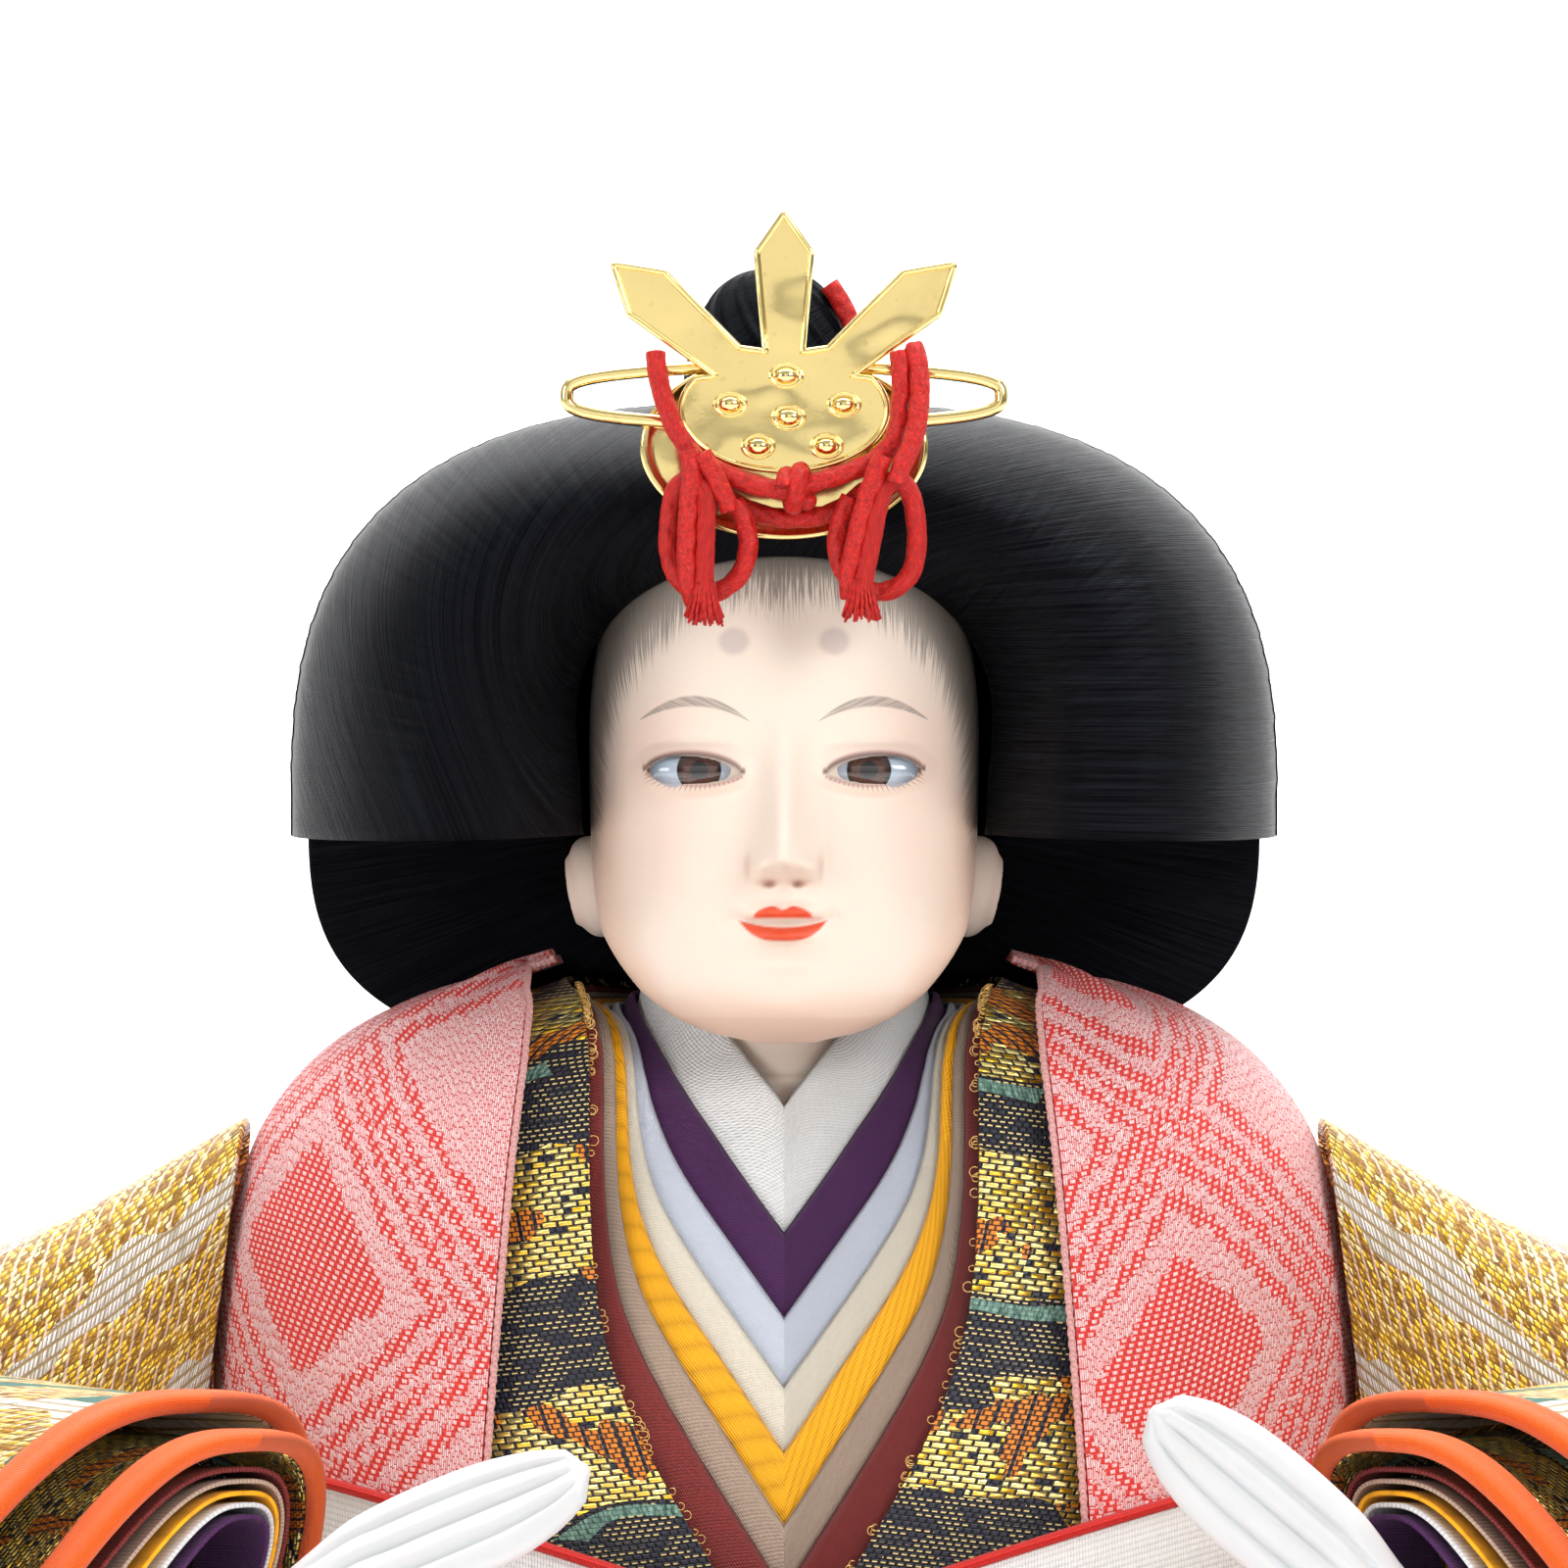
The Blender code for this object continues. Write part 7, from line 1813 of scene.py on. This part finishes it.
# %% [markdown]
# ## Hair
# The front hair is combed out over a stiff form into one wide arch and cut level at its foot.
# Fine ridges run from the face outwards, and the material adds the single strands.

# %% Hair
def hair_finish():
    """Black strands with a cool sheen from a bluish specular tint; the bump draws the strands."""
    def paint(tree):
        across, along = cloth_place(tree)
        strands = use(tree, STRANDS, Across=across, Along=along)
        cool = mix(tree, strands["Shade"].ramp(0.35, 0.75), (0.0006, 0.0006, 0.0009), (0.012, 0.013, 0.018))
        return {
            "Base Color": cool,
            "Roughness": 0.36 - strands["Shade"] * 0.10,
            "Normal": bump(tree, strands["Height"], 0.00045),
        }
    return finish("combed black hair", paint, IOR=1.12, Specular_Tint=(0.80, 0.86, 1.0, 1.0))


HAIR = hair_finish()
HAIR_CENTRE, HAIR_FOOT = 0.1850, 0.1822
WING_PROFILE = ((0.0, 0.0), (0.10, 0.42), (0.24, 0.84), (0.40, 1.0), (0.58, 0.95), (0.74, 0.76),
    (0.87, 0.46), (0.96, 0.12), (1.0, -0.28))
WING_CREST, WING_BACK = 0.0238, 0.0060


def in_head(x, y, height):
    """Whether points lie in the plain head, and so under the hair."""
    half, middle, depth = head_oval(np.clip(height, CHIN, CROWN_OF_HEAD))
    inside = (np.abs(x) / np.maximum(half, 1e-5)) ** HEAD_POWER + (
        np.abs(y - middle) / np.maximum(depth, 1e-5)) ** HEAD_POWER < 1.0
    return inside & (height > CHIN) & (height < CROWN_OF_HEAD)


def arch(angle, half_width, rise):
    """A rounded arch over the hair's centre; angle 0 is at the right and a quarter turn on top."""
    x = half_width * signed_power(np.cos(angle), 2 / 2.75)
    return np.stack([x, rise * np.abs(np.sin(angle)) ** (2 / 2.75)], -1)


def wing_sections(angles):
    """Closed sections across the front hair at many angles: up its face, over the rim, and back
    inside on the head. The inner edge stands where a search finds the head's surface."""
    inner, outer = arch(angles, 0.0192, 0.0233), arch(angles, 0.0475, 0.0388)
    far = np.linalg.norm(outer, axis=1)
    way = outer / far[:, None]
    near = np.linalg.norm(inner, axis=1)
    depths = np.arange(0.030, 0.0085, -0.0002)
    met = in_head((way[:, 0] * near)[:, None], -depths[None, :], (HAIR_CENTRE + way[:, 1] * near)[:, None])
    root = np.where(met.any(1), depths[met.argmax(1)] + 0.0008, 0.0085)
    table_in = np.array(WING_PROFILE)
    t = np.linspace(0.0, 1.0, 64)
    forward = table(table_in[:, 1], t)
    out_share = table(table_in[:, 0], t)
    mixed = smooth_step(out_share, 0.35, 0.65)[None, :]
    depth = (root[:, None] + (WING_CREST - root[:, None]) * forward) * (
        1.0 - mixed) + WING_CREST * forward * mixed
    r = near[:, None] + (far - near)[:, None] * out_share
    face = np.stack([way[:, :1] * r, -depth, HAIR_CENTRE + way[:, 1:] * r], 2)
    back_r, back_y = far[:, None] * np.array((0.996, 0.985)), np.array((0.0035, WING_BACK))
    back = np.stack([way[:, :1] * back_r, np.broadcast_to(back_y, back_r.shape),
        HAIR_CENTRE + way[:, 1:] * back_r], 2)
    rows = []
    for y in (np.full(len(angles), WING_BACK), -0.1 * root, -0.5 * root, -0.82 * root):
        steps = near[:, None] + np.arange(0.0, 0.026, 0.0002)[None, :]
        hit = in_head(way[:, :1] * steps, y[:, None], HAIR_CENTRE + way[:, 1:] * steps)
        last = steps.shape[1] - 1 - hit[:, ::-1].argmax(1)
        reach = np.where(hit.any(1), steps[np.arange(len(angles)), last] + 0.0013, near)
        rows.append(np.stack([way[:, 0] * reach, y, HAIR_CENTRE + way[:, 1] * reach], 1))
    return np.concatenate([face, back, np.stack(rows, 1)], 1), t


def make_front_hair():
    """Sections from one foot over the head to the other, with ridges that fan out."""
    angles = np.linspace(0.0, math.pi, 420)
    grid, t = wing_sections(angles)
    rng = np.random.default_rng(5)
    ridge = np.zeros(len(angles))
    for count, size in ((34, 0.30), (61, 0.24), (97, 0.20), (149, 0.16)):
        ridge += size * np.sin(count * angles * 2.0 + rng.uniform(0, TURN))
    fade = np.sin(np.clip(t * 1.05, 0, 1) * math.pi) ** 0.5
    push = 0.00016 * ridge[:, None] * fade[None, :]
    grid[:, :64, 1] -= push * np.clip(1.15 - t, 0, 1)
    out = np.stack([np.cos(angles), np.zeros(len(angles)), np.sin(angles)], 1)[:, None]
    grid[:, :64] += out * (0.00012 * ridge[:, None] * np.clip(t * 3.0 - 2.0, 0.0, 1.0))[..., None]
    foot_first, foot_last = grid[:1].copy(), grid[-1:].copy()
    drops = np.linspace(1.0, 0.1, 6)[:, None, None] * np.array((0.0, 0.0, HAIR_CENTRE - HAIR_FOOT))
    belly = 0.0009 * np.sin(np.linspace(0, math.pi, grid.shape[1]))[None, :, None] * np.array((0, 0, -1.0))
    lower_first = np.repeat(foot_first, 6, 0) - drops
    lower_last = np.repeat(foot_last, 6, 0) - drops[::-1]
    lower_first[0] += 0.6 * belly[0]
    lower_last[-1] += 0.6 * belly[0]
    grid = np.concatenate([lower_first, grid, lower_last])
    mesh_uv = measured(grid, True, False)
    swapped = np.stack([mesh_uv[..., 1], mesh_uv[..., 0]], 2)
    closed_piece("hair_front", shift(grid), HAIR, "head_group", "hair_front", uv=swapped)


make_front_hair()


def make_back_hair():
    """A shallow bowl over the back of the head. Its rows are shares of one rounded outline; its
    front lies flat behind the wings and clears the nape and the robes."""
    shares = np.concatenate([np.linspace(0.02, 0.9, 44), np.linspace(0.91, 0.97, 8)])
    u = TURN * np.arange(320) / 320
    c, s = np.cos(u), np.sin(u)
    power = np.where(s > 0, 2.75, 3.2)
    rise = np.where(s > 0, 0.0375, 0.0258)
    outline_x = 0.0472 * signed_power(c, 2 / power)
    outline_z = rise * signed_power(s, 2 / power)
    x = outline_x[None, :] * shares[:, None]
    z = np.maximum(HAIR_CENTRE + outline_z[None, :] * shares[:, None], 0.1630)
    half, middle, depth = head_oval(np.clip(z - 0.0015, CHIN + 0.0001, CROWN_OF_HEAD - 0.0001))
    room = np.clip(1.0 - (np.abs(x) / (half + 0.0026)) ** HEAD_POWER, 0.0, 1.0) ** (1 / HEAD_POWER)
    skull = np.where(np.abs(x) < half + 0.0026, middle + (depth + 0.0010) * room, 0.0)
    neck = np.where((np.abs(x) < 0.011) & (z < 0.176), 0.0075, 0.0)
    lift = 0.0125
    below = np.clip((0.1690 - z) / 0.0012, 0.0, 1.0)
    at = BUST.at_height(np.clip(z - 0.0015, BUST.foot, BUST.top))
    wide, _, back = BUST.oval(at)
    robe_room = np.clip(1.0 - (np.abs(x) / (wide + lift)) ** 2.3, 0.0, 1.0) ** (1 / 2.3)
    robe = np.where(np.abs(x) < wide + lift, (back + lift) * robe_room, 0.0) * below
    front = np.maximum(0.0063, np.maximum(np.maximum(skull, neck), robe) + 0.0011)
    fall = 1.0 - shares[:, None] ** 2.6
    low = np.clip((HAIR_CENTRE - z) / (HAIR_CENTRE - 0.1630), 0.0, 1.0)
    centre = np.exp(-((x / 0.0255) ** 2))
    behind = np.maximum(np.maximum(0.0150 + 0.0222 * fall, front + 0.0025), low * centre * 0.0372)
    ridge = sum(0.00012 * np.sin(count * u + count) for count in (40, 67, 101, 143))
    behind = behind + ridge[None, :] * np.clip(shares[:, None] * 1.5, 0.0, 1.0)
    rows = np.concatenate([np.stack([x, front, z], 2), np.stack([x, behind, z], 2)[::-1]])
    radius = np.concatenate([shares, 1.0 + (1.0 - shares[::-1])])[:, None] * 45.0 + 0 * u
    across = np.concatenate([u, [TURN]])[None, :] * 30.0 + 0 * radius[:, :1]
    uv = np.stack([across, np.concatenate([radius, radius[:, :1]], 1)], 2)
    closed_piece("hair_back", shift(rows), HAIR, "head_group", "hair_back", uv=uv)


make_back_hair()


def make_topknot():
    """A dome of hair wound round itself: the ridges climb as they go round."""
    foot = HAIR_CENTRE + 0.0388 + CLEARANCE
    v = np.linspace(0.0, 0.5 * math.pi - 0.02, 60)[:, None]
    u = np.linspace(0.0, TURN, 200, endpoint=False)[None, :]
    wave = 1.0 + 0.018 * np.sin(22 * (u + 0.9 * v)) + 0.012 * np.sin(37 * (u + 0.9 * v) + 1.0)
    x = -0.0012 + 0.0083 * np.cos(v) ** 0.8 * np.cos(u) * wave
    y = 0.0040 + 0.0075 * np.cos(v) ** 0.8 * np.sin(u) * wave
    z = foot + 0.0130 * 0.95 * np.sin(v) + 0 * u
    grid = np.stack([x, y, z], 2)
    closed_piece("topknot", shift(grid), HAIR, "head_group", "topknot")


make_topknot()


def make_tail():
    """A flat tail of strands down the back, pinched where the paper ties hold it."""
    line = train_line()
    stand = 0.0024 + 0.0010
    points = [(0.0372 - 0.0024 - CLEARANCE, 0.1630 - CLEARANCE)]
    for height in (0.1500, 0.1400, 0.1280, 0.1160):
        p = BUST.point(np.array(math.pi), BUST.at_height(np.array(height)),
            np.array(SASH_LIFT + 0.0008 + stand))
        points.append((p[1], p[2]))
    for k in range(4):
        way = line[k + 1] - line[max(k - 1, 0)]
        out = np.array((-way[1], way[0])) / np.linalg.norm(way)
        points.append(tuple(line[k] + out * (0.0016 + 0.0008 + stand)))
    t = np.linspace(0.0, 1.0, 150)
    path = table(np.array(points), t)
    way = unit(np.gradient(path, axis=0))
    way[0] = (0.0, -1.0)
    out = np.stack([-way[:, 1], way[:, 0]], 1)
    u = np.linspace(0.0, TURN, 120, endpoint=False)[None, :]
    share = t[:, None]
    pinch = 1.0 - 0.11 * sum(np.exp(-(((share - place) / 0.022) ** 2)) for place in (2 / 14, 7 / 14))
    end = np.clip((1.0 - share) / 0.06, 0.18, 1.0) ** 0.5
    ridge = 1.0 + 0.05 * np.sin(23 * u) + 0.04 * np.sin(41 * u + 1)
    half = 0.0085 * (1.0 + 0.25 * share) * pinch * end * 0.985
    thick = 0.0024 * (1.0 - 0.42 * (1.0 - pinch) / 0.11) * ridge * 0.96
    offset = thick * np.sin(u)
    grid = np.stack([half * np.cos(u), path[:, :1] + out[:, :1] * offset,
        path[:, 1:] + out[:, 1:] * offset], 2)
    closed_piece("hair_tail", shift(grid), HAIR, "tail_group", "hair_tail")


make_tail()

# %% [markdown]
# ## The gilt crown
# The plate is pressed from thin gilt brass with a raised rim, three blades and six faceted
# studs. A dished comb plate stands behind it and a long wire pin runs through.

# %% Crown
def gilt_finish(name, colour, rough):
    def paint(tree):
        place = object_place(tree)
        brushed = noise(tree, place, 700.0, 3.0, 0.6)
        wear = use(tree, WEAR, Amount=1.0)
        tone = mix(tree, wear["Patch"], shade(colour, 0.86), shade(colour, 1.05))
        return {
            "Base Color": mix(tree, wear["Specks"] * 0.3, tone, (0.45, 0.22, 0.06)),
            "Roughness": brushed * 0.12 + rough,
            "Normal": bump(tree, noise(tree, place, 95.0, 1.0), 0.0016, 1.0, bump(tree, brushed, 0.00001)),
        }
    return finish(name, paint, Metallic=1.0)


GILT = gilt_finish("gilt brass", (1.0, 0.76, 0.32), 0.07)
PLATE_MIDDLE, PLATE_FRONT, PLATE_WALL = 0.2217, 0.0274, 0.0006


def plate_outline():
    """The oval plate and its three blades as one outline, then evened out with rounded
    shoulders."""
    def blade(angle, length):
        c, s = math.cos(angle), math.sin(angle)
        root = 0.97 / math.hypot(s / 0.0096, c / 0.0056)
        flat = ((-0.0017, root), (-0.00255, length * 0.8), (0.0, length), (0.00255, length * 0.8),
            (0.0017, root))
        return [(x * c + z * s, -x * s + z * c) for x, z in flat]
    side = math.radians(49.5)
    points = blade(-side, 0.0209) + blade(0.0, 0.0183) + blade(side, 0.0209)
    edge = math.atan2(points[-1][0] / 0.0096, points[-1][1] / 0.0056) + math.radians(9.0)
    a = np.linspace(edge, TURN - edge, 64)
    points = np.array(points + list(zip(0.0096 * np.sin(a), 0.0056 * np.cos(a))))
    closed = np.concatenate([points, points[:1]])
    along = np.concatenate([[0.0], np.cumsum(np.linalg.norm(np.diff(closed, axis=0), axis=1))])
    places = np.linspace(0.0, along[-1], 321)[:-1]
    return np.stack([np.interp(places, along, closed[:, k]) for k in range(2)], 1)


def make_plate():
    """The outline filled, its face set in by a rim's width and sunk a little, then given its
    thickness and soft edges. A wire along the outline is its raised rim."""
    outline = plate_outline()
    mesh = bpy.data.meshes.new("crown_plate")
    made = bmesh.new()
    verts = [made.verts.new((x, -PLATE_FRONT, PLATE_MIDDLE + z)) for x, z in outline]
    face = made.faces.new(verts)
    bmesh.ops.inset_region(made, faces=[face], thickness=0.00042, depth=0.0, use_even_offset=True)
    inner = [f for f in made.faces if len(f.verts) > 4]
    bmesh.ops.inset_region(made, faces=inner, thickness=0.00012, depth=0.0, use_even_offset=True)
    inner = [f for f in made.faces if len(f.verts) > 4]
    for vert in {v for f in inner for v in f.verts}:
        vert.co.y += 0.00018
    bmesh.ops.recalc_face_normals(made, faces=made.faces)
    bmesh.ops.triangulate(made, faces=[f for f in made.faces if len(f.verts) > 4])
    made.normal_update()
    if sum(f.normal.y * f.calc_area() for f in made.faces) > 0:
        bmesh.ops.reverse_faces(made, faces=made.faces)
    bmesh.ops.translate(made, verts=made.verts, vec=tuple(NECK))
    made.to_mesh(mesh)
    made.free()
    loop = np.concatenate([outline, outline[:1]])
    route = even_route(np.stack([loop[:, 0], np.full(len(loop), -PLATE_FRONT), PLATE_MIDDLE + loop[:, 1]],
        1), 640, closed=True)
    rim = carry(route, (0.0, 1.0, 0.0), round_profile(640, 8, 0.00030), closed=True)
    closed_piece("plate_rim", shift(rim), GILT, "head_group", along=True)
    make_piece("crown_plate", mesh, GILT, "head_group", "crown_plate", wall=PLATE_WALL, offset=-1.0,
        rim=0.00010)


def make_studs():
    """Pressed studs: a rolled ring round a low dome, as wide as they are spaced on the plate."""
    places = ((0.02, 0.57), (-0.52, 0.09), (0.58, 0.09), (0.04, -0.12), (-0.25, -0.60), (0.41, -0.60))
    rings = ((0.96, -0.7), (1.0, 0.0), (0.98, 0.35), (0.90, 0.52), (0.80, 0.48), (0.72, 0.36), (0.66, 0.50),
             (0.50, 0.85), (0.28, 1.05), (0.02, 1.12))
    u = TURN * np.arange(32) / 32
    for k, (across, up) in enumerate(places):
        rows = [np.stack([0.00165 * r * np.cos(u), np.full(32, -0.0010 * h), 0.00122 * r * np.sin(u)], 1)
            for r, h in rings]
        grid = np.stack(rows) + np.array((across * 0.0096, -PLATE_FRONT, PLATE_MIDDLE + up * 0.0056))
        closed_piece(f"stud_{k}", shift(grid), GILT, "head_group")


def make_comb_and_pin():
    """The comb plate is an oval dish; the pin is one closed loop of wire with rounded ends."""
    pin_y = -PLATE_FRONT + PLATE_WALL + CLEARANCE + 0.00062
    u = np.linspace(0.0, TURN, 120, endpoint=False)
    x = 0.0202 * signed_power(np.cos(u), 0.55)
    half = 0.0030 + (0.0021 - 0.0030) * np.abs(x) / 0.0202
    route = even_route(np.stack([x, np.full(120, pin_y), 0.2231 + half * signed_power(np.sin(u), 0.55)],
        1), 260, closed=True)
    grid = carry(route, (0.0, 1.0, 0.0), round_profile(260, 14, 0.00062), closed=True)
    closed_piece("hairpin", shift(grid), GILT, "head_group", "hairpin", along=True)
    comb_y = pin_y + 0.00062 + CLEARANCE
    r = np.concatenate([np.linspace(0.02, 0.9, 14), [0.94, 0.97, 1.0]])
    dish = np.concatenate([np.full(14, 0.00028), [0.00016, 0.0, 0.00008]])
    u = np.linspace(0.0, TURN, 160, endpoint=False)[None, :]
    front = np.stack([0.0134 * r[:, None] * np.sin(u), comb_y + dish[:, None] + 0 * u,
        0.2184 + 0.0086 * r[:, None] * np.cos(u)], 2)
    back = front[::-1].copy()
    back[..., 1] = comb_y + 0.0008
    grid = np.concatenate([front, back])
    closed_piece("comb_plate", shift(grid), GILT, "head_group", "comb_plate")


make_plate()
make_studs()
make_comb_and_pin()

# %% [markdown]
# ## Board, core, peg and ties
# These solids have the right shape already, so they keep it and only get their materials:
# planed wood with rings, bound straw, iron wire, and folded paper.

# %% Carried-over solids
def drawn_place(tree, scales):
    """The object's place stretched by its own scale on each axis, for grain that runs one way."""
    place = object_place(tree)
    node = tree.nodes.new("ShaderNodeMapping")
    node.inputs["Scale"].default_value = scales
    plug(tree, place, node.inputs["Vector"])
    return Field(tree, node.outputs[0])


def wood_finish():
    """Planed wood: grain drawn out along X."""
    def paint(tree):
        grain = noise(tree, drawn_place(tree, (14.0, 260.0, 260.0)), 1.0, 4.0, 0.65, 0.6)
        return {
            "Base Color": mix(tree, grain.ramp(0.3, 0.7), (0.36, 0.22, 0.11), (0.66, 0.47, 0.28)),
            "Roughness": grain * 0.2 + 0.5,
            "Normal": bump(tree, grain, 0.0002),
        }
    return finish("planed wood", paint)


def straw_finish():
    """Bound straw: thin upright stalks."""
    def paint(tree):
        stalk = noise(tree, drawn_place(tree, (900.0, 900.0, 30.0)), 1.0, 2.0)
        return {
            "Base Color": mix(tree, stalk.ramp(0.35, 0.65), (0.30, 0.20, 0.07), (0.72, 0.56, 0.28)),
            "Normal": bump(tree, stalk, 0.0008),
        }
    return finish("bound straw", paint, Roughness=0.7)


def paper_finish():
    """Soft handmade paper with crossing fibres."""
    def paint(tree):
        fibre = noise(tree, object_place(tree), 900.0, 4.0, 0.7, 2.0)
        return {
            "Base Color": mix(tree, fibre.ramp(0.35, 0.7), (0.74, 0.71, 0.64), (0.90, 0.88, 0.83)),
            "Normal": bump(tree, fibre, 0.0001),
        }
    return finish("folded paper", paint, Roughness=0.85)


def iron_finish():
    """Drawn iron with patches of rust."""
    def paint(tree):
        rust = noise(tree, object_place(tree), 500.0, 3.0)
        return {
            "Base Color": mix(tree, rust.ramp(0.5, 0.7), (0.30, 0.29, 0.28), (0.20, 0.09, 0.04)),
            "Roughness": rust * 0.3 + 0.35,
        }
    return finish("iron wire", paint, Metallic=0.9)


def dress(node, material):
    """Gives a CAD node a finish and leaves its mesh alone."""
    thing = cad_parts[node]
    thing.data.materials.clear()
    thing.data.materials.append(material)


CARRIED_OVER = (
    (wood_finish(), ("base_board", "neck_peg")),
    (straw_finish(), ("straw_core",)),
    (paper_finish(), ("neck_wrap", "tail_tie_upper", "tail_tie_lower")),
    (iron_finish(), ("arm_wire",)),
)
for material, nodes in CARRIED_OVER:
    for node in nodes:
        dress(node, material)
